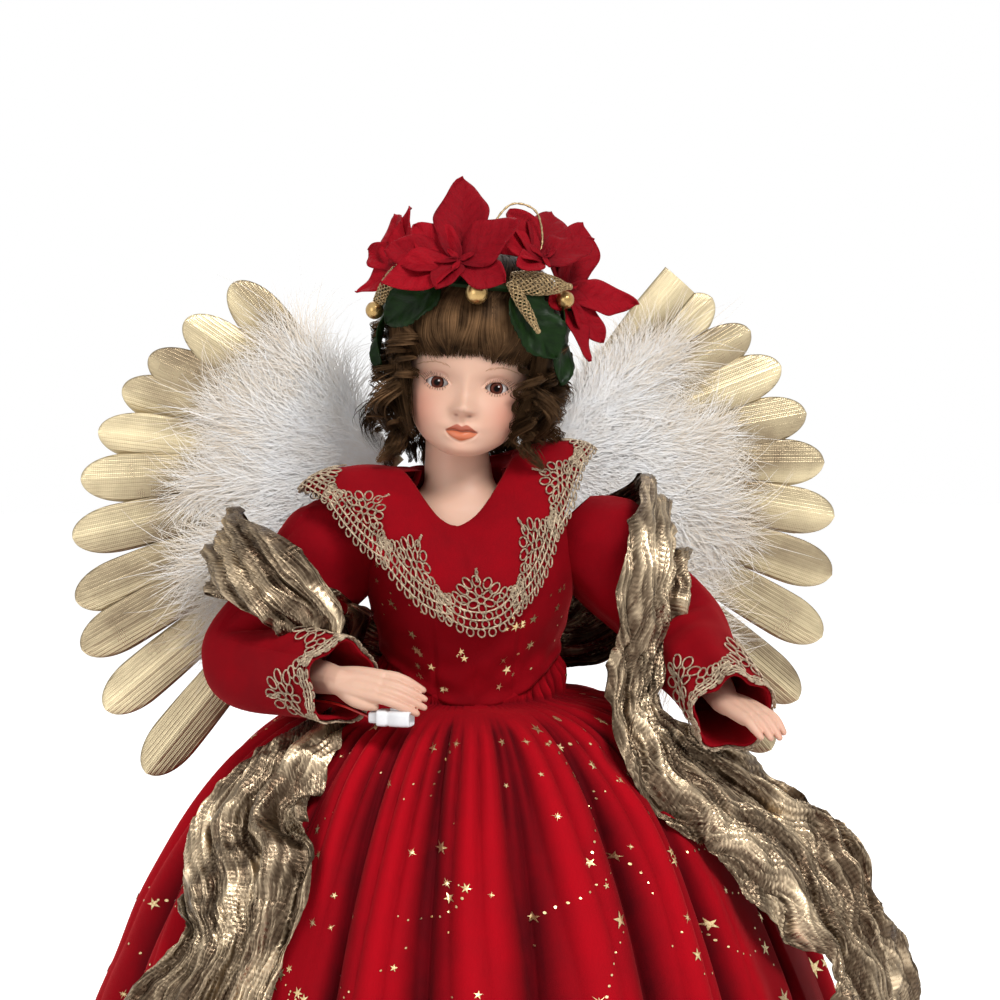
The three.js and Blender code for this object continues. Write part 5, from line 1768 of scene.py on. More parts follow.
@dataclass
class Hand:
    """Porcelain forearm and hand."""

    arm: Arm
    elbow_ball: float = 9.3
    palm: float = 20.0
    palm_half: float = 9.0
    voxel: float = 0.55
    limb_rings: int = 16
    limb_sides: int = 14

    def build(self) -> None:
        """Makes the arm from rounded limbs that are melted into one skin."""
        arm = self.arm
        along, across, back, length = arm.hand_axes()
        wrist, elbow = np.array(arm.wrist, float), np.array(arm.elbow, float)
        toward = unit(wrist - elbow)

        def at(x: float, y: float, z: float) -> Array:
            """A point of the hand: along, across and out of its back."""
            return wrist + along * x + across * y + back * z

        limbs = [
            ([elbow + toward * self.elbow_ball, elbow + toward * 19, wrist - toward * 16, wrist, at(6, 0, 0)],
             [4.5, 9.0, 8.6, 6.8, 5.6]),
        ]
        for lane, wide in ((-6.2, 3.4), (-2.1, 4.2), (2.1, 4.2), (6.2, 3.4)):
            bones = [at(-2, lane * 0.45, 0), at(9, lane * 0.85, 0.6), at(self.palm, lane, 0.2)]
            limbs.append((bones, [4.6, wide + 0.4, 3.4]))
        for slot in (-1.5, -0.5, 0.5, 1.5):
            reach = length - self.palm - 2.2 * abs(slot - 0.3 * arm.thumb)
            y = slot * self.palm_half / 2
            droop = -0.34 * reach
            spread = 1 + 0.05 * abs(slot)
            limbs.append((
                [at(self.palm - 4, y * 0.95, 0.4), at(self.palm + reach * 0.3, y * spread, 0.2),
                 at(self.palm + reach * 0.62, y * spread, droop * 0.35), at(self.palm + reach * 0.96, y, droop)],
                [2.7, 2.45, 2.25, 1.7],
            ))
        side = arm.thumb * self.palm_half
        limbs.append((
            [
                at(3, side * 0.45, -1), at(10, side * 0.95, -1.6), at(16, side * 1.1, -2.4),
                at(21, side * 1.05, -3.2),
            ],
            [4.2, 3.4, 2.7, 2.0],
        ))
        piece = Piece(f"{arm.side.label}_porcelain_arm")
        for points, radii in limbs:
            self._limb(piece, np.array(points), radii)
        made = piece.make(PORCELAIN)
        self._melt(made)
        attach(made, arm.fore_body)
        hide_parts(f"{arm.side.label}_forearm")

    def _limb(self, piece: Piece, points: Array, radii: list[float]) -> None:
        """Adds a closed limb with rounded ends.

        Args:
            piece: The piece.
            points: Bones of the limb.
            radii: A radius for each.
        """
        count, sides = self.limb_rings, self.limb_sides
        path = smooth_path(points, count)
        places = np.concatenate([[0], np.cumsum(np.linalg.norm(np.diff(points, axis=0), axis=1))])
        size = np.interp(np.linspace(0, places[-1], count), places, radii)
        first, last = unit(path[0] - path[1]), unit(path[-1] - path[-2])
        head = [(math.sin(a), math.cos(a)) for a in (1.55, 1.2, 0.8, 0.4)]
        rings = [path[0] + first * size[0] * s for s, _ in head] + list(path)
        rings += [path[-1] + last * size[-1] * s for s, _ in reversed(head)]
        all_radii = [size[0] * c for _, c in head] + list(size) + [size[-1] * c for _, c in reversed(head)]
        made, faces = tubes(np.array(rings)[None], np.array(all_radii)[None], sides)
        start = len(made)
        piece.add(made, faces)
        for ring in (np.arange(sides), np.arange(start - sides, start)[::-1]):
            piece.faces.append(ring[None] + piece.count - start)

    def _melt(self, made: Object) -> None:
        """Joins the limbs into one smooth skin and paints it.

        Args:
            made: The object.
        """
        remesh = made.modifiers.new("join", "REMESH")
        remesh.mode = "VOXEL"
        remesh.voxel_size = self.voxel * MM
        ease = made.modifiers.new("ease", "SMOOTH")
        ease.iterations = 7
        ease.factor = 0.5
        graph = bpy.context.evaluated_depsgraph_get()
        mesh = bpy.data.meshes.new_from_object(made.evaluated_get(graph))
        made.modifiers.clear()
        made.data = mesh
        mesh.polygons.foreach_set("use_smooth", np.ones(len(mesh.polygons), bool))
        size = len(mesh.vertices)
        places = np.zeros(size * 3, np.float32)
        mesh.vertices.foreach_get("co", places)
        along, _, _, length = self.arm.hand_axes()
        reach = (places.reshape(-1, 3) / MM - self.arm.wrist) @ along / length
        warm = (0.25 * smooth(reach, 0.55, 1.0))[:, None]
        paint = np.array(SKIN) * (1 - warm) + np.array(BLUSH) * warm
        set_layer(mesh, "paint", paint)
        set_layer(mesh, "tone", np.full(size, SKIN_GLOSS))


@dataclass
class Head:
    """Porcelain head with a painted face, glass eyes and a shoulder plate."""

    place: Point = (0.5, -2, 508)
    roll: float = 6.0
    yaw: float = -7.0
    sections: Rows = (
        (-43.5, 6.5, 29, -14), (-41, 13, 33, -5), (-35.5, 20.8, 34.5, 5), (-27, 26.8, 35, 16), (-18, 30, 34.5, 27),
        (-8, 31.5, 34.5, 34), (4, 33.5, 36, 39), (16, 35, 36.5, 41), (28, 33.5, 33.5, 39), (38, 27, 26, 31),
        (45, 16, 15, 19), (48, 5, 4, 6),
    )
    relief: Rows = (
        (0, -19.6, 3.1, 3.2, 5.6), (0, -12.5, 2.8, 7.5, 2.4), (4.2, -20.8, 2.2, 2.0, 2.0),
        (14.7, -9, 6.5, 4.6, -3.6),
        (0, -28.8, 6, 1.6, 2.2), (0, -33.2, 5, 1.8, 2.6), (0, -40, 6.5, 3.4, 2.4), (18, -23, 8.5, 8, 2.2),
        (3.3, -23.0, 1.2, 0.8, -1.5), (0, -25.7, 0.9, 1.6, -0.5), (2.0, -25.7, 0.8, 1.6, 0.35),
    )
    neck: Rows = (
        (472, 15, 13, -7, 2), (458, 16.5, 15, -6, 2), (447, 19, 17, -5, 1), (438, 32, 23, -4, 0),
        (428, 45, 29, -2, 0), (413.3, 48.5, 31, 0, 0),
    )
    eye_apart: float = 14.7
    eye_set: float = 12.7
    eye_level: float = -9.0
    eye_radius: float = 7.6
    eye_depth: float = -20.4
    # Painted catchlight that stands in for a reflection on the eye: its place from the eye's middle and its
    # radius, in millimetres.
    glint: Point = (0.95, 1.05, 0.5)
    lid: tuple[float, float, float] = (5.6, 2.75, 2.5)
    mouth_half: float = 7.9
    mouth_level: float = -30.8
    columns: int = 300
    rows: int = 250
    neck_rows: int = 60
    neck_columns: int = 96
    eye_rows: int = 60
    eye_columns: int = 56
    stroke_steps: int = 7

    def __post_init__(self) -> None:
        """Works out the head's frame and the heights of its rows."""
        a, b = math.radians(self.roll), math.radians(self.yaw)
        about_y = np.array([[math.cos(a), 0, math.sin(a)], [0, 1, 0], [-math.sin(a), 0, math.cos(a)]])
        about_z = np.array([[math.cos(b), -math.sin(b), 0], [math.sin(b), math.cos(b), 0], [0, 0, 1]])
        self.turn = about_y @ about_z
        self.shares = np.linspace(0, 1, 400)
        self.heights = row_at(np.array(self.sections), self.shares)[:, 0]

    def out(self, points: Array) -> Array:
        """Takes points of the head's own frame into the shared frame."""
        return points @ self.turn.T + np.array(self.place)

    def skull(self, angle: Array, z: Array, grow: tuple[Array | float, Array | float, Array | float]) -> Array:
        """Points of the bare skull, grown at the sides, in front and behind.

        Args:
            angle: Bearings from the front.
            z: Heights.
            grow: Growth each way.

        Returns:
            The points.
        """
        z = np.asarray(z, float)
        row = row_at(np.array(self.sections), np.interp(z, self.heights, self.shares))
        half, face, nape = row[..., 1] + grow[0], row[..., 2] + grow[1], row[..., 3] + grow[2]
        middle, reach = (nape - face) / 2, (nape + face) / 2
        return np.stack([half * np.sin(angle), middle - reach * np.cos(angle), z + 0 * angle], -1)

    def _lips(self, x: Array) -> tuple[Array, Array, Array]:
        """Heights of the lips' upper border, of the line between them and of their lower border.

        Args:
            x: Places across the face.

        Returns:
            The three heights.
        """
        t = np.clip(np.abs(x) / self.mouth_half, 0, 1)
        line = self.mouth_level - 0.35 * bell(x, 0, 1.6) + 0.3 * bell(np.abs(x), 3.4, 2.0) - 0.3 * t**3
        upper = line + (3.3 - 0.7 * bell(x, 0, 1.1) + 0.35 * bell(np.abs(x), 2.3, 1.2)) * (1 - t**1.7)
        lower = line - 4.5 * (1 - t**2.2) ** 0.85
        return upper, line, lower

    def _lid_gap(self, x: Array, z: Array) -> Array:
        """How far a point lies inside an eye's opening, in millimetres, negative outside.

        Args:
            x: Places across the face.
            z: Heights.

        Returns:
            The distances.
        """
        half, up, low = self.lid
        u = np.clip((np.abs(x) - self.eye_apart) / half, -1.6, 1.6)
        v = z - self.eye_level
        arch = np.clip(1 - u * u, -1.6, 1)
        above = up * np.sign(arch) * np.abs(arch) ** 0.75 - v
        below = v + low * np.sign(arch) * np.abs(arch) ** 0.9
        return np.minimum(above, below)

    def face_relief(self, x: Array, z: Array) -> Array:
        """How far the face stands out from the plain skull.

        Args:
            x: Places across the face.
            z: Heights.

        Returns:
            Distances in millimetres.
        """
        total = np.zeros(np.broadcast(x, z).shape)
        for place, level, wide, tall, height in self.relief:
            total += height * bell(np.abs(x), place, wide) * bell(z, level, tall)
        upper, line, lower = self._lips(x)
        on_mouth = smooth(self.mouth_half + 0.6 - np.abs(x), 0, 2.2)
        total += -1.25 * np.exp(-(((z - line) / 0.5) ** 2)) * on_mouth
        total += 0.35 * np.exp(-(((z - upper) / 0.5) ** 2)) * on_mouth
        total += -0.5 * np.exp(-(((z - lower + 0.5) / 0.8) ** 2)) * on_mouth
        gap = self._lid_gap(x, z)
        total += 0.75 * np.exp(-(((gap + 0.7) / 0.55) ** 2))
        total += -0.45 * np.exp(-(((gap + 2.5) / 0.5) ** 2)) * (z > self.eye_level)
        total += -7.0 * smooth(gap, -0.05, 0.4)
        return total

    def face_point(self, x: Array, z: Array, lift: float = 0.0) -> Array:
        """Points on the face at places seen from the front, in the head's own frame.

        Args:
            x: Places across the face.
            z: Heights.
            lift: How far they stand off.

        Returns:
            The points.
        """
        row = row_at(np.array(self.sections), np.interp(z, self.heights, self.shares))
        angle = np.arcsin(np.clip(x / row[..., 1], -0.98, 0.98))
        points = self.skull(angle, z, (0, 0, 0))
        points[..., 1] -= smooth(np.cos(angle), 0, 0.5) * self.face_relief(x, z) + lift
        return points

    def build(self) -> None:
        """Makes the head, the shoulder plate, the eyes, the brows and the lashes."""
        step = circle(self.columns)
        angle = step - 0.45 * np.sin(step)
        share = np.linspace(0, 1, self.rows)
        z = row_at(np.array(self.sections), share)[:, 0]
        angles, levels = np.meshgrid(angle, z)
        points = self.skull(angles, levels, (0, 0, 0))
        facing = smooth(np.cos(angles), 0, 0.5)
        points[..., 1] -= facing * self.face_relief(points[..., 0], levels)
        paint, gloss = self._paint(points[..., 0], levels, facing)
        piece = Piece("bisque_head")
        piece.grid(self.out(points), True, tone=gloss, paint=paint)
        piece.place(PORCELAIN, FIGURE, "porcelain_head")
        self._plate()
        for side in Side:
            self._eye(side)
        self._strokes()

    def _paint(self, x: Array, z: Array, facing: Array) -> tuple[Array, Array]:
        """Colours the face: blush, lips, nostrils and lid lines.

        Args:
            x: Sideways place of each point.
            z: Height of each point.
            facing: 1 on the face, 0 behind.

        Returns:
            The colour and the gloss of each point.
        """
        paint = np.broadcast_to(np.array(SKIN), (*x.shape, 4)).copy()

        def lay(colour: Colour, cover: Array) -> None:
            """Lays a colour over what is painted."""
            share = np.clip(cover * facing, 0, 1)[..., None]
            paint[:] = paint * (1 - share) + np.array(colour) * share

        lay(BLUSH, 0.8 * bell(np.abs(x), 22.5, 7.5) * bell(z, -22, 9))
        lay(BLUSH, 0.25 * bell(x, 0, 5) * bell(z, -41, 4))
        lay(shade(168, 116, 100), 0.55 * bell(np.abs(x), self.eye_apart + 1, 6.0) * bell(z, -5.0, 1.8))
        lay(shade(150, 92, 76), 0.85 * bell(np.abs(x), 3.3, 0.8) * bell(z, -23.2, 0.55))
        upper, line, lower = self._lips(x)
        edge = 0.28
        in_width = smooth(self.mouth_half + 0.2 - np.abs(x), 0, 0.5)
        in_upper = smooth(upper - z, -edge, edge) * smooth(z - line, -edge, edge) * in_width
        in_lower = smooth(line - z, -edge, edge) * smooth(z - lower, -edge, edge) * in_width
        lay(LIP_UPPER, in_upper)
        lay(LIP_LOWER, in_lower)
        lay(shade(132, 58, 40), 0.75 * np.exp(-(((z - line) / 0.4) ** 2)) * in_width)
        gap = self._lid_gap(x, z)
        on_top = (z > self.eye_level - 0.6) * 1.0
        lay(shade(70, 38, 30), 0.9 * smooth(gap, -0.55, -0.1) * on_top)
        lay(shade(150, 104, 90), 0.5 * smooth(gap, -0.5, 0.0) * (1 - on_top))
        return paint, np.maximum(np.clip(in_upper + in_lower, 0, 1), SKIN_GLOSS)

    def _plate(self) -> None:
        """Neck and shoulder plate under the collar."""
        rows = row_at(np.array(self.neck), np.linspace(0, 1, self.neck_rows))
        angle = circle(self.neck_columns)
        z, wide, deep, x, y = (rows[:, k, None] for k in range(5))
        hollow = 1.2 * bell(angle, 0.0, 0.35) + 1.2 * bell(angle, TURN, 0.35)
        pit = hollow * bell(z, 436, 5)
        points = np.stack([x + wide * np.sin(angle), y - (deep - pit) * np.cos(angle), z + 0 * angle], -1)
        piece = Piece("bisque_neck")
        warm = np.clip(0.25 * bell(z, 462, 9) + 0 * angle, 0, 1)[..., None]
        paint = np.array(SKIN) * (1 - warm) + np.array(BLUSH) * warm
        piece.grid(points, True, tone=SKIN_GLOSS, paint=paint)
        piece.place(PORCELAIN, FIGURE, "porcelain_head")

    def _eye(self, side: Side) -> None:
        """A glass eye whose rings are painted round the way it looks.

        Args:
            side: The doll's own side.
        """
        look = math.radians(15) * side.value
        ahead = np.array([math.sin(look), -math.cos(look), 0.0])
        beside = np.array([math.cos(look), math.sin(look), 0.0])
        polar = math.pi * np.linspace(0, 1, self.eye_rows) ** 1.5
        turn = circle(self.eye_columns)
        p, t = np.meshgrid(polar, turn, indexing="ij")
        off = p * self.eye_radius
        radius = self.eye_radius + 0.35 * smooth(3.6 - off, 0, 1.6)
        ball = np.cos(p)[..., None] * ahead + np.sin(p)[..., None] * (
            np.cos(t)[..., None] * beside + np.sin(t)[..., None] * np.array([0.0, 0.0, 1.0])
        )
        middle = np.array([side.value * self.eye_set, self.eye_depth, self.eye_level])
        spot = np.stack([t * 5, off * 0.2, 0 * t], -1)
        # Painted catchlight: a small spot in the sclera's white that stands in for a reflection.
        glint = np.hypot(off * np.cos(t) - self.glint[0], off * np.sin(t) - self.glint[1])
        tone = np.where(glint < self.glint[2], 0.42, off / 10)
        piece = Piece(f"{side.label}_glass_eye")
        piece.grid(self.out(middle + ball * radius[..., None]), True, tone=tone, spot=spot)
        piece.place(EYE_GLASS, FIGURE, f"{side.label}_eye")

    def _strokes(self) -> None:
        """Painted brows and lashes as fine raised strokes."""
        chance = np.random.default_rng(90)
        strokes, tones = [], []
        t = np.linspace(0, 1, self.stroke_steps)
        half, up, low = self.lid
        for side in (-1, 1):
            for u in np.linspace(-0.9, 1.05, 17):
                arch = max(0.0, 1 - u * u) ** 0.75
                x0, z0 = self.eye_apart + u * half, self.eye_level + up * arch + 0.3
                reach = chance.uniform(2.0, 3.0) * (1 + 0.5 * u)
                lean = 0.2 + 0.85 * u + chance.normal(0, 0.08)
                strokes.append(np.stack([side * (x0 + reach * t * lean), z0 + reach * (t - 0.25 * t * t)], -1))
                tones.append(chance.uniform(0.1, 0.5))
            for u in np.linspace(-0.75, 0.95, 9):
                x0, z0 = self.eye_apart + u * half, self.eye_level - low * (1 - u * u) ** 0.9 - 0.2
                reach = chance.uniform(0.9, 1.5)
                lean = 0.5 * u + chance.normal(0, 0.08)
                strokes.append(np.stack([side * (x0 + reach * t * lean), z0 - reach * t], -1))
                tones.append(chance.uniform(0.0, 0.2))
            for k in range(26):
                at = k / 25
                x0 = 8.6 + 15.5 * at
                z0 = -1.6 + 2.7 * math.sin(math.pi * (at * 0.8 + 0.1)) + chance.normal(0, 0.16)
                reach = chance.uniform(1.5, 2.4)
                rise = 0.75 - 1.2 * at
                strokes.append(np.stack([side * (x0 + reach * t * 0.9), z0 + reach * t * rise], -1))
                tones.append(chance.uniform(0.7, 1.0))
        flat = np.array(strokes)
        paths = self.out(self.face_point(flat[..., 0], flat[..., 1], 0.1))
        width = 0.34 * np.sin(np.pi * np.linspace(0.18, 1, self.stroke_steps)) ** 0.7 + 0.04
        points, faces = ribbons(paths, width, self.turn @ np.array([0.0, -1.0, 0.0]))
        piece = Piece("painted_brows_and_lashes")
        piece.add(points, faces, np.repeat(tones, 2 * self.stroke_steps))
        piece.place(LASH_PAINT, FIGURE)


@dataclass
class Hair:
    """Brown wig: a fringe, smooth sides and back, and loose ringlets."""

    head: Head
    level: float = 38.0
    fringe_end: float = 4.5
    back_end: float = -30.0
    thick: float = 8.5
    stretch: float = 1.177
    middle: Point = (0.0, 2.0, 5.0)
    net_columns: int = 120
    net_rows: int = 44
    strand: float = 0.44
    curl_strand: float = 0.4
    fringe_strands: int = 2700
    crown_strands: int = 1500
    side_strands: int = 3300
    small_curls: int = 48
    nape_curls: int = 16
    stray_loops: int = 20
    ringlets: tuple[Pair, ...] = (
        (-62, -52), (-95, -55), (-128, -57), (62, -47), (95, -39), (128, -47), (-158, -56), (158, -53),
    )

    def cap(self, angle: Array, z: Array, part: Array) -> Array:
        """Points between the skull at part 0 and the outside of the hair at part 1.

        Args:
            angle: Bearings from the front.
            z: Heights.
            part: Parts of the depth.

        Returns:
            The points.
        """
        sides, front = self.thick * part, 5.6 * part
        low = np.asarray(z) / (1 + (self.stretch - 1) * part)
        points = self.head.skull(angle, np.clip(low, -46, 47.9), (sides + 0.4, front + 0.4, sides + 0.4))
        points[..., 2] = z
        return points

    def build(self) -> None:
        """Makes the cap, the fringe, the sides and the ringlets."""
        self._cap()
        self._falls()
        for side in Side:
            self._curls(side)

    def _cap(self) -> None:
        """Dark net under the strands."""
        angle = circle(self.net_columns)
        rows = []
        for s in np.linspace(0, 1, self.net_rows):
            window = smooth(np.cos(angle), math.cos(1.08), math.cos(0.9))
            bottom = self.back_end + (9.0 - self.back_end) * window
            z = bottom + (52.5 - bottom) * s
            rows.append(self.cap(angle, z, np.full(self.net_columns, 0.45)))
        last, middle = rows[-1], rows[-1].mean(0)
        rows += [middle + (last - middle) * share + [0, 0, 0.8 * (1 - share)] for share in (0.7, 0.4, 0.02)]
        piece = Piece("wig_cap")
        faces = grid_faces(len(rows), self.net_columns, wrap=True)
        piece.add(self.head.out(np.concatenate(rows)), faces, 0.05)
        piece.place(HAIR, FIGURE, "wig")

    def _strands(self, piece: Piece, paths: Array, tones: Array, painted_shine: Array, width: float) -> None:
        """Adds strands in the head's own frame, lighter where the light bends over them.

        Args:
            piece: The piece.
            paths: Strands by steps by 3.
            tones: A tone for each strand.
            painted_shine: Extra tone along them, a painted highlight.
            width: Width of a strand.
        """
        facing = unit(paths - np.array(self.middle))
        steps = paths.shape[1]
        taper = width * np.interp(np.linspace(0, 1, steps), [0, 0.08, 0.75, 1], [0.5, 1, 1, 0.25])
        points, faces = ribbons(self.head.out(paths), taper, facing @ self.head.turn.T)
        tone = np.repeat(tones, 2 * steps)
        # The painted highlight raises the tone, more on lighter strands.
        extra = np.repeat(np.broadcast_to(painted_shine, paths.shape[:2]).reshape(-1), 2)
        piece.add(points, faces, np.clip(tone + extra * (0.4 + tone), 0, 1))

    def _falls(self) -> None:
        """Fringe, crown, sides and back as smooth falls of strands."""
        chance = np.random.default_rng(14)
        piece = Piece("hair_falls")
        f = np.linspace(0, 1, 13)
        count = self.fringe_strands
        start = chance.uniform(-1.05, 1.05, count)
        lock = np.round(start * 9) / 9
        end = self.fringe_end + 1.5 - 5.0 * start**2 + chance.normal(0, 0.9, count)
        end = end + 0.5 * np.sin(start * 26)
        bow = 0.05 * np.sin(5.5 * f + (start * 11)[:, None]) * f
        angle = start[:, None] + (0.06 * (lock - start) + 0.1 * np.sin(start * 9))[:, None] * f**2 + bow
        z = self.level + (end[:, None] - self.level) * f
        depth = chance.uniform(0.45, 1.08, count)[:, None]
        part = depth * (0.55 + 0.5 * np.sin(np.pi * np.clip(f * 0.95, 0, 1)) - 0.5 * smooth(f, 0.72, 1))
        tones = np.clip(chance.beta(1.0, 12.0, count) + 0.03 * np.sin(lock * 31), 0, 1)
        # Painted highlight: a lighter band across the middle of the fringe, stronger on some locks.
        painted_shine = 0.7 * bell(f, 0.5, 0.13) * (0.5 + 0.5 * np.sin(lock * 23 + 1))[:, None]
        self._strands(piece, self.cap(angle, z, part), tones, painted_shine, self.strand)
        count = self.crown_strands
        start = chance.uniform(-np.pi, np.pi, count)
        f = np.linspace(0, 1, 9)
        z = 55.5 - (55.5 - self.level + 3) * f**1.6 + chance.normal(0, 0.5, count)[:, None]
        angle = start[:, None] + 0.5 * (1 - f)
        part = chance.uniform(0.7, 1.05, count)[:, None] + 0 * f
        crown = self.cap(angle, np.minimum(z, 55.6), part)
        middle = crown[:, 0].mean(0) + [0, 0, 0.6]
        inner = middle + (crown[:, :1] - middle) * np.array([0.0, 0.35, 0.7])[:, None]
        tones = chance.beta(1.0, 14, count)
        self._strands(piece, np.concatenate([inner, crown], 1), tones, np.zeros(12), self.strand)
        count = self.side_strands
        start = np.where(chance.random(count) < 0.5, -1, 1) * chance.uniform(0.86, np.pi, count)
        f = np.linspace(0, 1, 15)
        end = self.back_end + chance.uniform(-8, 12, count)
        z = self.level + (end[:, None] - self.level) * f
        wave = 0.07 * np.sin(7 * f + start[:, None] * 12) * f
        angle = start[:, None] + wave
        part = chance.uniform(0.5, 1.1, count)[:, None] * (0.7 + 0.36 * np.sin(np.pi * f * 0.9))
        tones = np.clip(chance.beta(1.0, 14.0, count) + 0.03 * np.sin(start * 37), 0, 1)
        # The sides get a painted highlight band about a third of the way down.
        self._strands(piece, self.cap(angle, z, part), tones, 0.4 * bell(f, 0.35, 0.15), self.strand)
        piece.place(HAIR, FIGURE, "wig")

    def _curls(self, side: Side) -> None:
        """Ringlets of one side: wound locks, smaller curls between them and stray loops.

        Args:
            side: The doll's own side.
        """
        chance = np.random.default_rng(33 + side.value)
        piece = Piece(f"{side.label}_hair_curls")
        for bearing, bottom in self.ringlets:
            if bearing * side.value > 0:
                self._lock(piece, chance, math.radians(bearing), 2.0, bottom, 6.0, 4.4, 1.6, 90)
        for _ in range(self.small_curls):
            bearing = math.radians(side.value * chance.uniform(44, 165))
            top = chance.uniform(-24, 24)
            low = max(top - chance.uniform(10, 22), -46)
            self._lock(piece, chance, bearing, top, low, chance.uniform(4, 8), 1.7, chance.uniform(0.9, 1.5), 26)
        for _ in range(self.nape_curls):
            bearing = math.radians(side.value * chance.uniform(112, 172))
            low = chance.uniform(-57, -44)
            self._lock(piece, chance, bearing, chance.uniform(-18, -4), low, chance.uniform(4, 7), 2.4, 1.3, 40)
        for _ in range(self.stray_loops):
            bearing = math.radians(side.value * chance.uniform(50, 140))
            top = chance.uniform(-26, 6)
            low = top - chance.uniform(12, 24)
            self._lock(piece, chance, bearing, top, low, chance.uniform(7, 10), 0.8, 1.3, 4)
        ringlets = [f"{side.label}_ringlet_{place}" for place in ("front", "side", "back")]
        piece.place(HAIR, FIGURE, *ringlets, f"back_ringlet_{side.label}")

    def _lock(
        self,
        piece: Piece,
        chance: np.random.Generator,
        bearing: float,
        top: float,
        bottom: float,
        coil: float,
        thick: float,
        turns: float,
        count: int,
    ) -> None:
        """Adds one wound lock.

        Args:
            piece: The curls that it becomes part of.
            chance: Source of unevenness.
            bearing: Where it hangs round the head.
            top: Height of its upper end.
            bottom: Height of its lower end.
            coil: Radius of its winding.
            thick: Radius of the lock itself.
            turns: How often it winds round.
            count: How many strands it has.
        """
        f = np.linspace(0, 1, 34)
        stand = np.array([math.sin(bearing), -math.cos(bearing), 0.0])
        beside = np.array([math.cos(bearing), math.sin(bearing), 0.0])
        base = self.cap(np.array([bearing]), np.array([max(top, -14.0)]), np.array([0.8]))[0]
        way = chance.choice([-1, 1])
        phase = chance.uniform(0, TURN)
        wind = phase + way * TURN * turns * f
        radius = coil * (0.35 + 0.65 * smooth(f, 0, 0.25)) * (1 - 0.25 * smooth(f, 0.7, 1.0))
        sunk = stand * (2.0 - 5.0 * (1 - smooth(f, 0, 0.3)))[:, None]
        guide = base + sunk + np.outer(np.cos(wind) * radius, beside)
        guide = guide + np.outer(np.sin(wind) * radius, stand)
        guide[:, 2] = top + (bottom - top) * f + 1.2 * np.sin(wind)
        body = np.sin(np.pi * np.clip(f * 0.92 + 0.06, 0, 1)) ** 0.6
        offset = chance.normal(0, 0.5, (count, 3)) * thick
        drift = chance.normal(0, 0.5, (count, 3)) * thick
        paths = guide + (offset[:, None] + drift[:, None] * f[:, None]) * body[:, None]
        tones = np.clip(chance.beta(1.0, 20.0, count) + chance.normal(0, 0.015), 0, 1)
        # Painted highlight on one side of each turn of the coil.
        painted_shine = np.clip(0.36 * np.cos(wind - 0.6) ** 7, 0, 1)
        self._strands(piece, paths, tones, painted_shine, self.curl_strand)


# Petals of each flower: heading from the ring's own direction, length and width
PETALS: dict[str, tuple[Point, ...]] = {
    "front": (
        (98, 44, 26), (36, 34, 21), (152, 30, 20), (183, 36, 19), (212, 39, 20), (250, 20, 14), (334, 27, 18),
    ),
    "right": ((128, 34, 19), (98, 30, 16), (165, 27, 14), (230, 24, 14), (58, 20, 13)),
    "crown": ((62, 36, 23), (18, 30, 18), (112, 30, 19), (160, 26, 16), (205, 20, 13)),
    "left": ((62, 38, 25), (356, 41, 17), (312, 32, 16), (281, 36, 14), (110, 26, 16), (205, 19, 12)),
    "back": tuple((60 * k, 33 - 4 * (k % 2), 18) for k in range(6)),
}


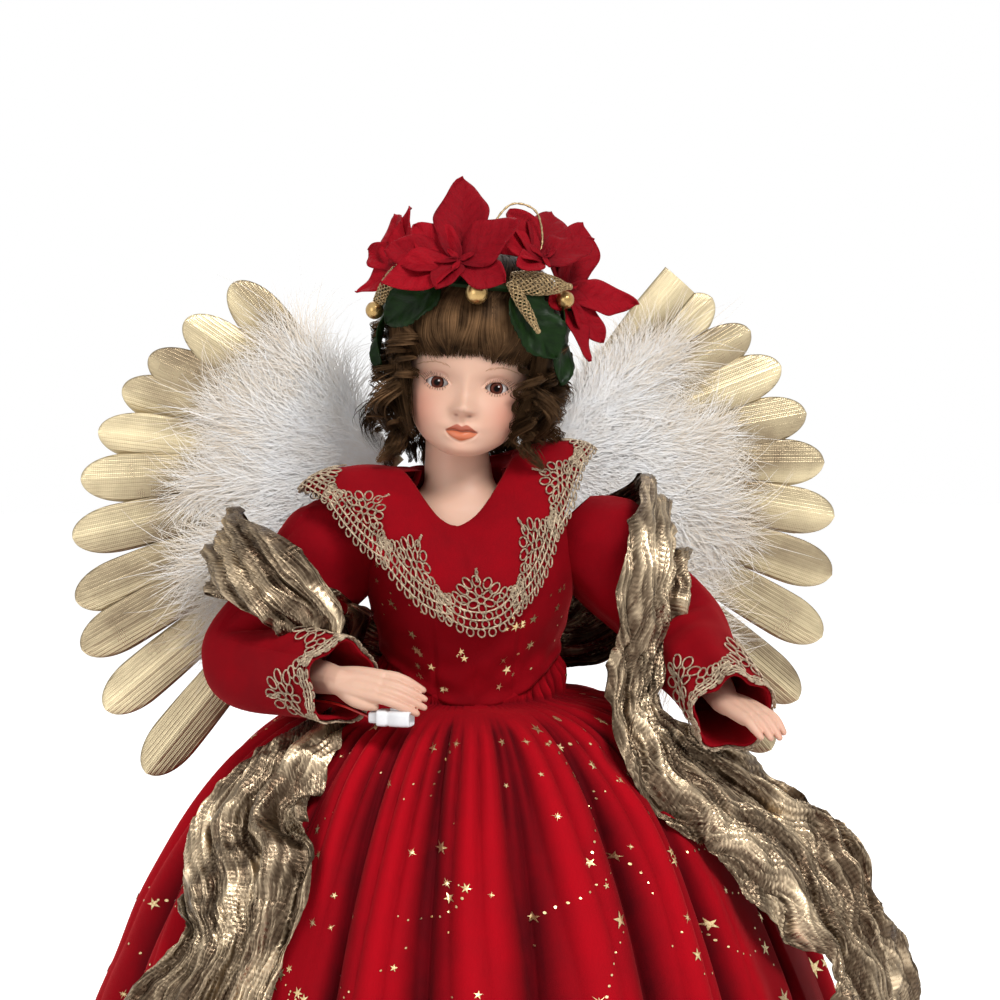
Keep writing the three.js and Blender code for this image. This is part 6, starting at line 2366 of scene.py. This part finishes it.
@dataclass
class Wreath:
    """Wreath of cloth poinsettias, leaves, pearl berries and gilt sprigs on a wire ring."""

    head: Head
    level: float = 40.0
    half: Pair = (41.0, 42.0)
    back: float = 4.5
    wire: float = 1.6
    heart: float = 4.5
    flowers: tuple[tuple[str, float, float, float, float], ...] = (
        ("front", -12, -12, 30, 9), ("right", -68, -56, 26, 3), ("crown", 44, 34, 46, 13),
        ("left", 74, 46, 14, 0),
        ("back", 172, 172, 26, 0),
    )
    leaves: tuple[tuple[str, float, float, float, float, float, float], ...] = (
        ("leaf_right_front", -25, 16, -3, 32, 19, -139), ("leaf_left_front", 24, 16, -3, 38, 22, -50),
        ("leaf_left_side", 68, 12, -2, 44, 16, -95), ("leaf_right_side", -72, 12, -2, 44, 15, -85),
    )
    sprigs: dict[str, Rows] = field(default_factory=lambda: {
        "sprig_right": (
            (-58, 14, 1, 25, 9, -118, 6.5), (-60, 14, 2, 15, 4.5, 70, 5), (-20, 40, 4, 54, 5, 106, -8),
        ),
        "sprig_left": ((22, 14, 3, 31, 10, 0, 4), (20, 14, 2, 28, 5, -57, 6.5)),
    })
    blade_stand: float = 2.7
    petal_cloth: float = 0.6
    leaf_cloth: float = 0.5
    berry_rows: int = 28
    berry_columns: int = 40
    berries: tuple[tuple[str, float, float, float, float], ...] = (
        ("berry_front", 1, 5.5, 0, 0), ("berry_right", -66, 4.5, 7, 15), ("berry_left", 60, 4.5, 3, 0),
    )

    def spot(self, bearing: float) -> Array:
        """Point of the ring at a bearing from the front, in the head's own frame."""
        a = math.radians(bearing)
        return np.array([self.half[0] * math.sin(a), self.back - self.half[1] * math.cos(a), self.level])

    def axes(self, bearing: float, lift: float) -> Array:
        """Rows of a frame on the ring: along it, up, and out at a lift above level.

        Args:
            bearing: Degrees from the front.
            lift: Degrees above level.

        Returns:
            The frame.
        """
        a, r = math.radians(bearing), math.radians(lift)
        out = np.array([math.sin(a) * math.cos(r), -math.cos(a) * math.cos(r), math.sin(r)])
        side = np.array([math.cos(a), math.sin(a), 0.0])
        return np.array([side, np.cross(out, side), out])

    def build(self) -> None:
        """Makes the flowers, leaves, sprigs and berries."""
        for index, row in enumerate(self.flowers):
            self._flower(row, 700 + index)
        for index, row in enumerate(self.leaves):
            self._leaf(row, 800 + index)
        for name, fronds in self.sprigs.items():
            self._sprig(name, fronds)
        for row in self.berries:
            self._berry(row)
        self._loop()

    def _loop(self) -> None:
        """A thin gilt wire that bows up behind the front flower."""
        count = 60
        passes = [(4, -34, 52), (5, -30, 70), (13, -26, 81), (24, -24, 79), (29, -24, 66), (28, -28, 54)]
        radii = 0.55 + 0.12 * np.sin(np.arange(count) * 1.9)[None]
        piece = Piece("gilt_wire_loop")
        piece.add(*tubes(self.head.out(smooth_path(passes, count))[None], radii, 7))
        piece.place(MESH_GOLD, FIGURE)

    @staticmethod
    def blade(length: float, width: float, bend: float, seed: int, teeth: float = 0.0) -> tuple[Array, Array]:
        """A pointed petal or leaf along +X.

        Args:
            length: From the stalk to the tip.
            width: Greatest width.
            bend: How far the tip bends up, as a share of the length.
            seed: Fixes the waves of its edges.
            teeth: Depth of the teeth of its edge, as a share of the width.

        Returns:
            Points and cloth coordinates, rows along by 11 across.
        """
        chance = np.random.default_rng(seed)
        s = np.linspace(0, 1, 26)[:, None]
        w = np.linspace(-1, 1, 11)[None]
        shape = (s + 0.02) ** 0.62 * (1 - s) ** 0.72
        shape = shape / shape.max() * (1 + 0.12 * np.sin(9 * s + chance.uniform(0, 6)) * s * (1 - s) * 4)
        shape = shape * (1 + teeth * np.abs(np.sin(s * 30)) * (np.abs(w) > 0.9))
        half = width / 2 * shape
        x = length * s + 0 * w
        y = half * w
        sway = chance.normal(0, 0.05) * length * s * s
        cup = 0.3 * np.abs(y) + 0.07 * length * np.abs(w) ** 2 * np.sin(7 * s + chance.uniform(0, 6) + w)
        curl = bend * s * s * length + chance.normal(0, 0.03) * length * s
        points = np.stack([x, y + sway, cup + curl], -1)
        veins = np.stack([x - 0.9 * np.abs(y), y, 0 * x], -1)
        return points, veins

    def _lay(
        self, piece: Piece, points: Array, veins: Array, frame_rows: Array, base: Array, tone: float = 0.6
    ) -> None:
        """Places a blade on the ring and adds it, with painted shade towards its root at the flower's heart and
        darker along its middle vein.

        Args:
            piece: The piece.
            points: The blade.
            veins: Spots of its pattern.
            frame_rows: Frame on the ring.
            base: Place of its root.
            tone: Its tone.
        """
        flat = points.reshape(-1, 3) @ frame_rows + base
        s = np.linspace(0, 1, points.shape[0])[:, None]
        w = np.linspace(-1, 1, points.shape[1])[None]
        # Painted shade towards the root, where the petals crowd at the heart; the middle vein is darker as well.
        tones = tone * (0.25 + 0.75 * smooth(s, 0.0, 0.4)) * (1 - 0.3 * bell(w, 0, 0.16) * (1 - s))
        piece.add(self.head.out(flat), grid_faces(*points.shape[:2]), tones.reshape(-1), veins)

    @staticmethod
    def spin(points: Array, degrees: float) -> Array:
        """Turns points about their local Z.

        Args:
            points: The points.
            degrees: The turn.

        Returns:
            The turned points.
        """
        a = math.radians(degrees)
        turn = np.array([[math.cos(a), math.sin(a), 0], [-math.sin(a), math.cos(a), 0], [0, 0, 1]])
        return points @ turn

    def _flower(self, row: tuple[str, float, float, float, float], seed: int) -> None:
        """A poinsettia: pointed petals round a heart of small ones.

        Args:
            row: Its row of the table.
            seed: Seed of its chances.
        """
        name, bearing, faces, lift, raised = row
        frame_rows = self.axes(faces, lift)
        base = self.spot(bearing) + np.array([0, 0, raised]) + frame_rows[2] * (self.wire + self.heart * 0.4)
        piece = Piece(f"cloth_poinsettia_{name}")
        chance = np.random.default_rng(seed)
        small = [(25 + 120 * k, 8, 3.2) for k in range(3)]
        for k, (heading, reach, width) in enumerate([*PETALS[name], *small]):
            points, veins = self.blade(reach, width, 0.24 if k % 2 else 0.1, seed * 10 + k)
            out = frame_rows[2] * (0.8 * (k % 3) if reach > 10 else 2.2)
            self._lay(piece, self.spin(points, heading), veins, frame_rows, base + out, chance.uniform(0.45, 1.0))
        thicken(piece.place(PETAL_CLOTH, FIGURE, f"poinsettia_{name}"), self.petal_cloth)

    def _leaf(self, row: tuple[str, float, float, float, float, float, float], seed: int) -> None:
        """A dark leaf under the flowers.

        Args:
            row: Its row of the table.
            seed: Seed of its chances.
        """
        name, bearing, lift, raised, length, width, turn = row
        frame_rows = self.axes(bearing, lift)
        base = self.spot(bearing) + np.array([0, 0, raised]) + frame_rows[2] * self.blade_stand
        points, veins = self.blade(length, width * 1.1, -0.08, seed, 0.12)
        piece = Piece(f"cloth_{name}")
        self._lay(piece, self.spin(points, turn), veins, frame_rows, base)
        thicken(piece.place(LEAF_CLOTH, FIGURE, name), self.leaf_cloth)

    def _sprig(self, name: str, fronds: Rows) -> None:
        """A sprig of knitted gilt wire: fronds of small loops.

        Args:
            name: The CAD node that it replaces.
            fronds: For each its bearing, lift, rise, length, width, heading and stand off the ring.
        """
        piece = Piece(f"gilt_{name}")
        t = circle(10)
        for bearing, lift, raised, length, width, turn, stand in fronds:
            frame_rows = self.axes(bearing, lift)
            base = self.spot(bearing) + np.array([0, 0, raised]) + frame_rows[2] * stand
            loops = []
            rows, round_it = max(8, round(length / 1.5)), max(7, round(width * 1.3))
            for i in range(rows):
                s = (i + 0.5) / rows
                half = width / 2 * (0.55 + 0.6 * math.sin(math.pi * min(1.0, s + 0.15)))
                half = half * (1 - 0.7 * float(smooth(s, 0.75, 1.0)))
                for j in range(round_it):
                    a = j / round_it * TURN + i * 0.3
                    middle = np.array([length * s, half * math.cos(a), half * 0.55 * math.sin(a)])
                    ring = [1.05 * np.cos(t), -math.sin(a) * 1.1 * np.sin(t), math.cos(a) * 0.9 * np.sin(t)]
                    loops.append(middle + np.stack(ring, -1))
            turned = self.spin(np.array(loops), turn)
            piece.add(*tubes(self.head.out(turned @ frame_rows + base), 0.26, 4, wrap=True))
        piece.place(MESH_GOLD, FIGURE, name)

    def _berry(self, row: tuple[str, float, float, float, float]) -> None:
        """A pearl berry with a small wire stalk.

        Args:
            row: Name, bearing, radius, how far it stands out and hangs.
        """
        name, bearing, radius, stand, hang = row
        ring = self.spot(bearing)
        out = unit(ring * [1, 1, 0])
        below = np.array([0, 0, -radius * 0.6 - hang])
        middle = ring + out * (self.wire + 0.3 + radius * 0.8 + stand) + below
        around = circle(self.berry_columns)
        polar, turn = np.meshgrid(np.linspace(0, math.pi, self.berry_rows), around, indexing="ij")
        dent = 1 - 0.06 * np.exp(-((polar / 0.22) ** 2))
        ball = np.stack([np.sin(polar) * np.cos(turn), np.sin(polar) * np.sin(turn), np.cos(polar)], -1)
        piece = Piece(f"pearl_{name}")
        piece.grid(self.head.out(middle + ball * (radius * dent)[..., None]), True)
        stalk = smooth_path([ring, ring + (middle - ring) * 0.5 + out * stand * 0.3, middle], 12)
        piece.add(*tubes(self.head.out(stalk)[None], 0.5, 6))
        piece.place(PEARL_GOLD, FIGURE, name)


@dataclass
class Wing:
    """One wing: a fan of foil feathers with a thick trim of down in front."""

    side: Side
    feathers: int = 11
    root: Point = (34, 54, 452)
    pin: Pair = (16, 49)
    angles: Pair = (49, -50)
    lengths: Pair = (126, 205)
    half: float = 12.5
    card: float = 60.0
    gap: float = 5.0
    down_share: float = 0.57
    down_thick: float = 8.0
    strands: int = 19000
    foil: float = 0.5
    feather_rows: int = 46
    feather_columns: int = 15

    @property
    def spread(self) -> float:
        """How far the wing is folded back in the photograph, in degrees."""
        return {Side.RIGHT: 0.0, Side.LEFT: 6.0}[self.side]

    def out(self, points: Array) -> Array:
        """Takes points of the wing's own plane, root at the origin, into the shared frame.

        Args:
            points: The points.

        Returns:
            The points in the shared frame.
        """
        sign = self.side.value
        local = points + np.array([self.root[0] - self.pin[0], self.root[1] - self.pin[1], self.root[2]])
        a = sign * math.radians(self.spread)
        x, y = sign * local[..., 0], local[..., 1]
        turned = [x * math.cos(a) - y * math.sin(a), x * math.sin(a) + y * math.cos(a), local[..., 2]]
        return np.stack(turned, -1) + np.array([sign * self.pin[0], self.pin[1], 0])

    def length(self, place: Array) -> Array:
        """Length of the feather at a place in the fan."""
        share = np.clip(np.asarray(place, float) / (self.feathers - 1), 0, 1)
        return self.lengths[0] + (self.lengths[1] - self.lengths[0]) * share**1.15

    def bearing(self, place: Array) -> Array:
        """Angle above level of the feather at a place in the fan.

        Args:
            place: Places from 0 to 1.

        Returns:
            Angles in radians.
        """
        share = np.asarray(place, float) / (self.feathers - 1)
        even = self.angles[0] + (self.angles[1] - self.angles[0]) * share
        if self.side is Side.RIGHT:
            even = even - self.gap * smooth(share, 0.0, 0.1) * (1 - share)
        return np.radians(even)

    def build(self) -> None:
        """Makes the feathers and the down."""
        self._feathers()
        self._down_pad()
        self._barbs()

    def _feathers(self) -> None:
        """Foil feathers with a spine, cupped and a little twisted, on a card."""
        chance = np.random.default_rng(120 + self.side.value)
        piece = Piece(f"{self.side.label}_foil_wing")
        s = np.sin(np.linspace(0, np.pi / 2, self.feather_rows))[:, None]
        w = np.linspace(-1, 1, self.feather_columns)[None]
        for i in range(self.feathers):
            length = float(self.length(i))
            x = length * s
            to_tip = np.clip((length - x) / (2 * self.half), 0, 1)
            body = 0.42 + 0.58 * smooth(x, length * 0.15, length - 1.7 * self.half)
            half = self.half * body * np.sqrt(np.clip(1 - (1 - to_tip) ** 2.2, 0, 1))
            if self.side is Side.LEFT and i == 0:
                half = 0.85 * self.half * body
            twist = chance.normal(0, 0.1)
            y = half * w
            cup = 1.4 * w**2 + twist * y * s + chance.uniform(-1, 3) * s**3
            spine = -0.7 * np.exp(-((y / 0.5) ** 2)) * (s < 0.97)
            depth = 0.6 + (i % 2) * 1.1 + cup + spine
            a = float(self.bearing(i)) + chance.normal(0, 0.012)
            flat = np.stack([x * math.cos(a) - y * math.sin(a), depth, x * math.sin(a) + y * math.cos(a)], -1)
            spot = np.stack([y + 0 * x + 40 * i, x + 0 * y, 0 * x + 0 * y], -1)
            # Painted highlight: a lighter band along each feather. The tone also differs at random from feather to
            # feather, with a darker band at seven tenths of the length and a lighter tip.
            painted_highlight = bell(w, chance.uniform(-0.8, 0.8), 0.4) * chance.uniform(0.2, 0.7)
            tone = chance.uniform(-0.15, 0.3) + painted_highlight + 0.15 * smooth(s, 0.7, 1) - 0.2 * bell(s, 0.7, 0.08)
            piece.grid(self.out(flat), tone=np.clip(tone, 0, 1), spot=spot)
        fan = np.radians(np.linspace(self.angles[1], self.angles[0], 24))[None]
        r = np.linspace(2, self.card, 10)[:, None]
        card = np.stack([r * np.cos(fan), 0 * r * fan + 3.0, r * np.sin(fan)], -1)
        piece.grid(self.out(card))
        wing = f"{self.side.label}_wing"
        thicken(piece.place(FOIL, wing, wing), self.foil)

    def _down_pad(self) -> None:
        """The soft pad under the barbs."""
        label = self.side.label
        pad = Piece(f"{label}_down_pad")
        s = np.linspace(0.04, 1, 30)[:, None]
        place = np.linspace(-0.3, self.feathers - 0.7, 60)[None]
        angle = self.bearing(place)
        reach = self.length(np.maximum(place, 0)) * self.down_share * s * 0.96
        crown = self.down_thick * 0.55 * np.sin(np.pi * np.clip(s, 0, 1) ** 0.7) ** 0.6
        front = -0.6 - crown * (0.85 + 0.15 * np.sin(9 * place))
        points = np.stack([reach * np.cos(angle), front + 0 * angle, reach * np.sin(angle)], -1)
        pad.grid(self.out(points), tone=0.9)
        made = pad.place(DOWN, f"{label}_wing", f"{label}_wing_down")

    def _barbs(self) -> None:
        """Thousands of fine barbs of down that fan outwards."""
        label = self.side.label
        chance = np.random.default_rng(200 + self.side.value)
        count = self.strands
        place = chance.uniform(-0.7, self.feathers - 0.3, count)
        root_share = chance.uniform(0.03, 1.0, count) ** 0.75
        seed = 410 + self.side.value
        tuft = ripple(seed, place * 13, 0 * place, 15, 44)
        lean = ripple(seed + 5, place * 13, root_share * 90, 16, 46)
        start = self.length(np.maximum(place, 0)) * self.down_share * root_share
        start = start * (1 + 0.07 * tuft * root_share)
        angle = self.bearing(place)
        f = np.linspace(0, 1, 6)
        wisp = np.where(chance.random(count) < 0.06, 1.5, 1.0)
        long = chance.uniform(14, 34, count) * (0.75 + 0.35 * root_share) * (1 + 0.2 * tuft) * wisp
        fan = angle + chance.normal(0, 0.28, count) + 0.3 * lean
        swirl = chance.normal(0, 0.75, count)
        bearing = fan[:, None] + swirl[:, None] * f
        step = long[:, None] / 5
        run_x = np.cumsum(np.cos(bearing) * step, axis=1) - np.cos(bearing[:, :1]) * step
        run_z = np.cumsum(np.sin(bearing) * step, axis=1) - np.sin(bearing[:, :1]) * step
        crown = np.sin(np.pi * np.clip(root_share, 0.06, 1) ** 0.7) ** 0.35
        height = self.down_thick * chance.uniform(0.2, 1.05, count) * crown
        lift = -1.0 - height[:, None] * (0.45 + 0.55 * np.sin(np.pi * (0.15 + 0.7 * f)))
        paths = np.stack([
            (start * np.cos(angle))[:, None] + run_x, lift, (start * np.sin(angle))[:, None] + run_z,
        ], -1)
        width = 0.34 * np.array([0.9, 1.0, 0.9, 0.75, 0.5, 0.16])
        sway = chance.normal(0, 0.22, (count, 1, 3))
        points, faces = ribbons(self.out(paths), width, unit(np.array([0.0, -1.0, 0.2]) + sway))
        barbs = Piece(f"{label}_down_barbs")
        tone = chance.uniform(0.75, 1.0, count) - chance.uniform(0, 0.85, count) * smooth(root_share, 0.55, 0.9)
        barbs.add(points, faces, np.repeat(tone, 12))
        barbs.place(DOWN, f"{label}_wing", f"{label}_wing_down", soft=(0.0, -0.9, 0.43))


@dataclass
class Stole:
    """Crinkled gilt stole from behind the back over both arms and down the skirt."""

    skirt: Skirt
    back: Point = (0, 52, 362)
    right_arm: tuple[Point, ...] = (
        (-58, 38, 364), (-97, 30, 388), (-119, 12, 412), (-117, -15, 415), (-104, -33, 409), (-89, -42, 398),
        (-77, -41, 384), (-67, -25, 374), (-57, -7, 363), (-55, -9, 344),
    )
    left_arm: tuple[Point, ...] = (
        (56, 39, 372), (83, 26, 404), (91, 14, 420), (92, -4, 428), (86, -29, 413), (80, -39, 391),
        (75, -42, 367), (72, -50, 346),
    )
    half_arm: Pair = (22.0, 27.0)
    half_hem: float = 40.0
    rise: float = 42.0
    facing: float = 60.0
    layer: float = 23.0
    lap: float = 16.0
    folds: Pair = (7.0, 9.0)
    pinches: tuple[Pair, ...] = ((348, 0.3), (236, 0.34), (150, 0.2))
    columns: int = 200
    rows: int = 440

    def path(self, arm: Arm) -> Array:
        """Middle line of one half, from the back to the hem.

        Args:
            arm: The arm it lies on.

        Returns:
            The points.
        """
        if arm.side is Side.RIGHT:
            over_arm, fall = self.right_arm, RIGHT_FALL
        else:
            over_arm, fall = self.left_arm, LEFT_FALL
        lap = (-self.lap * arm.side.value, self.back[1], self.back[2])
        return smooth_path([lap, self.back, *over_arm, *[self._on_skirt(*row) for row in fall]], self.rows)

    def _on_skirt(self, bearing: float, z: float, ease: float) -> Point:
        """A point outside the skirt's folds at a bearing and a height.

        Args:
            bearing: Degrees from the front.
            z: Height.
            ease: How far it stands off.

        Returns:
            The point.
        """
        share = self.skirt.share_at(z)
        wide, deep = self.skirt.radii(share)
        out = float(self.skirt.fold_depth(share)) + ease
        a = math.radians(bearing)
        return (float(wide + out) * math.sin(a), -float(deep + out) * math.cos(a), z)

    def build(self) -> None:
        """Makes both halves."""
        for arm in (RIGHT_ARM, LEFT_ARM):
            self._half(arm)

    def _half(self, arm: Arm) -> None:
        """One half of the stole, gathered on the arm and spread on the skirt.

        Args:
            arm: The arm it lies on.
        """
        s = arm.side.value
        path = self.path(arm)
        onward = unit(np.gradient(path, axis=0))
        spread = smooth(self.skirt.share_at(path[:, 2]), -0.05, 0.3)
        front = path[:, 1] - self.facing * spread
        from_body = unit(np.stack([path[:, 0] * 0.9, front, np.full(self.rows, self.rise)], -1))
        side = unit(np.cross(onward, from_body)) * s
        out = np.cross(side, onward) * s
        start = self.half_arm[s > 0]
        half = (start + (self.half_hem - start) * spread)[:, None]
        length = np.linalg.norm(np.diff(path, axis=0), axis=1).sum()
        run = (np.linspace(0, 1, self.rows) * length)[:, None]
        w = np.linspace(-1, 1, self.columns)[None]
        seed = 300 + s
        flat = half * w
        bend = 9 * ripple(seed, run, 0 * w, 70, 190) + 3.5 * ripple(seed + 1, run, flat, 26, 70)
        fold = ripple(seed + 2, flat + bend, run * 0.16, 17, 34)
        layer = np.abs(np.cos(np.pi * (flat + bend) / (self.layer * (0.6 + 0.4 * spread))[:, None])) ** 0.7
        crest = (1 - np.minimum(np.abs(ripple(seed + 3, flat + bend * 1.3, run * 0.05, 3.4, 7.5, 9)), 1)) ** 2
        thread = (1 - np.minimum(np.abs(ripple(seed + 5, flat + bend * 0.8, run * 0.09, 1.7, 3.6, 9)), 1)) ** 2
        crush = ripple(seed + 6, flat * 1.4, run, 9, 30, 12)
        cinch = sum(share * bell(path[:, 2], level, 13) for level, share in self.pinches)[:, None]
        fade = smooth(run, 0, 40)
        deep = (self.folds[0] + (self.folds[1] - self.folds[0]) * spread)[:, None]
        proud = 4.5 + (3.0 * (1 - spread) * smooth(path[:, 1], 16, 2))[:, None] + 0.5 * s
        relief = deep * (0.75 * (layer - 0.6) + 0.5 * fold) + 1.5 * crest + 0.5 * thread + 1.1 * crush
        height = proud + fade * relief - 6.0 * np.abs(w) ** 5
        edge = half * (1 - cinch + 0.07 * ripple(seed + 4, run, 0 * w, 24, 90))
        points = path[:, None] + side[:, None] * (edge * w)[..., None] + out[:, None] * height[..., None]
        # Painted light and shade: highlights along the crinkle crests and in broad patches, lighter on the crests
        # of the big folds, painted shade in their valleys.
        crest_highlight = np.maximum(crest**3, 0.7 * thread**4)
        painted_highlight = smooth(ripple(seed + 7, flat, run * 0.6, 22, 60), 0.2, 1.1)
        tone = -0.1 + 0.14 * layer + crest_highlight * (0.5 + 0.5 * painted_highlight) + 0.22 * painted_highlight - 0.3 * (1 - layer) ** 2
        tone = np.clip(tone, 0.0, 1.0)
        spot = np.stack([half * w * 1.2 + 0 * run, 0.13 * run + 0 * w, 0 * run + 0 * w], -1)
        piece = Piece(f"{arm.side.label}_gilt_stole")
        piece.grid(points, tone=tone, spot=spot)
        made = piece.make(GILT_CLOTH)
        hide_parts("stole")
        start, end = (s * 60 * MM, 0.0, 330 * MM), (s * 90 * MM, 0.0, 380 * MM)
        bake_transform(made)


def dress_inner_parts() -> None:
    """Gives the board, the bell, the cell box and the wires their finishes."""
    dress(WOOD, "base_plate", "support_post")
    dress(FOAM, "skirt_core")
    dress(CASING, "battery_box", "battery_door", "switch_knob", "wing_bracket")
    dress(JACKET, "cell_1", "cell_2")
    dress(LEAD_RED, "lead_riser")
    dress(WIRE, "arm_wire", "right_wing_wire", "left_wing_wire")
    dress(LEAF_CLOTH, "wreath_wire")


def main() -> None:
    """Builds the studio and then the figure from the base up."""
    Studio().build()
    HandLight().build()
    dress_inner_parts()
    bodice = Bodice()
    bodice.build()
    skirt = Skirt(bodice=bodice)
    skirt.build()
    collar = Collar()
    collar.build()
    CollarLace(collar).build()
    for arm in (RIGHT_ARM, LEFT_ARM):
        Sleeve(arm).build()
        Hand(arm).build()
    head = Head()
    head.build()
    Hair(head).build()
    Wreath(head).build()
    for side in Side:
        Wing(side).build()
    Stole(skirt).build()


if __name__ == "__main__":
    main()
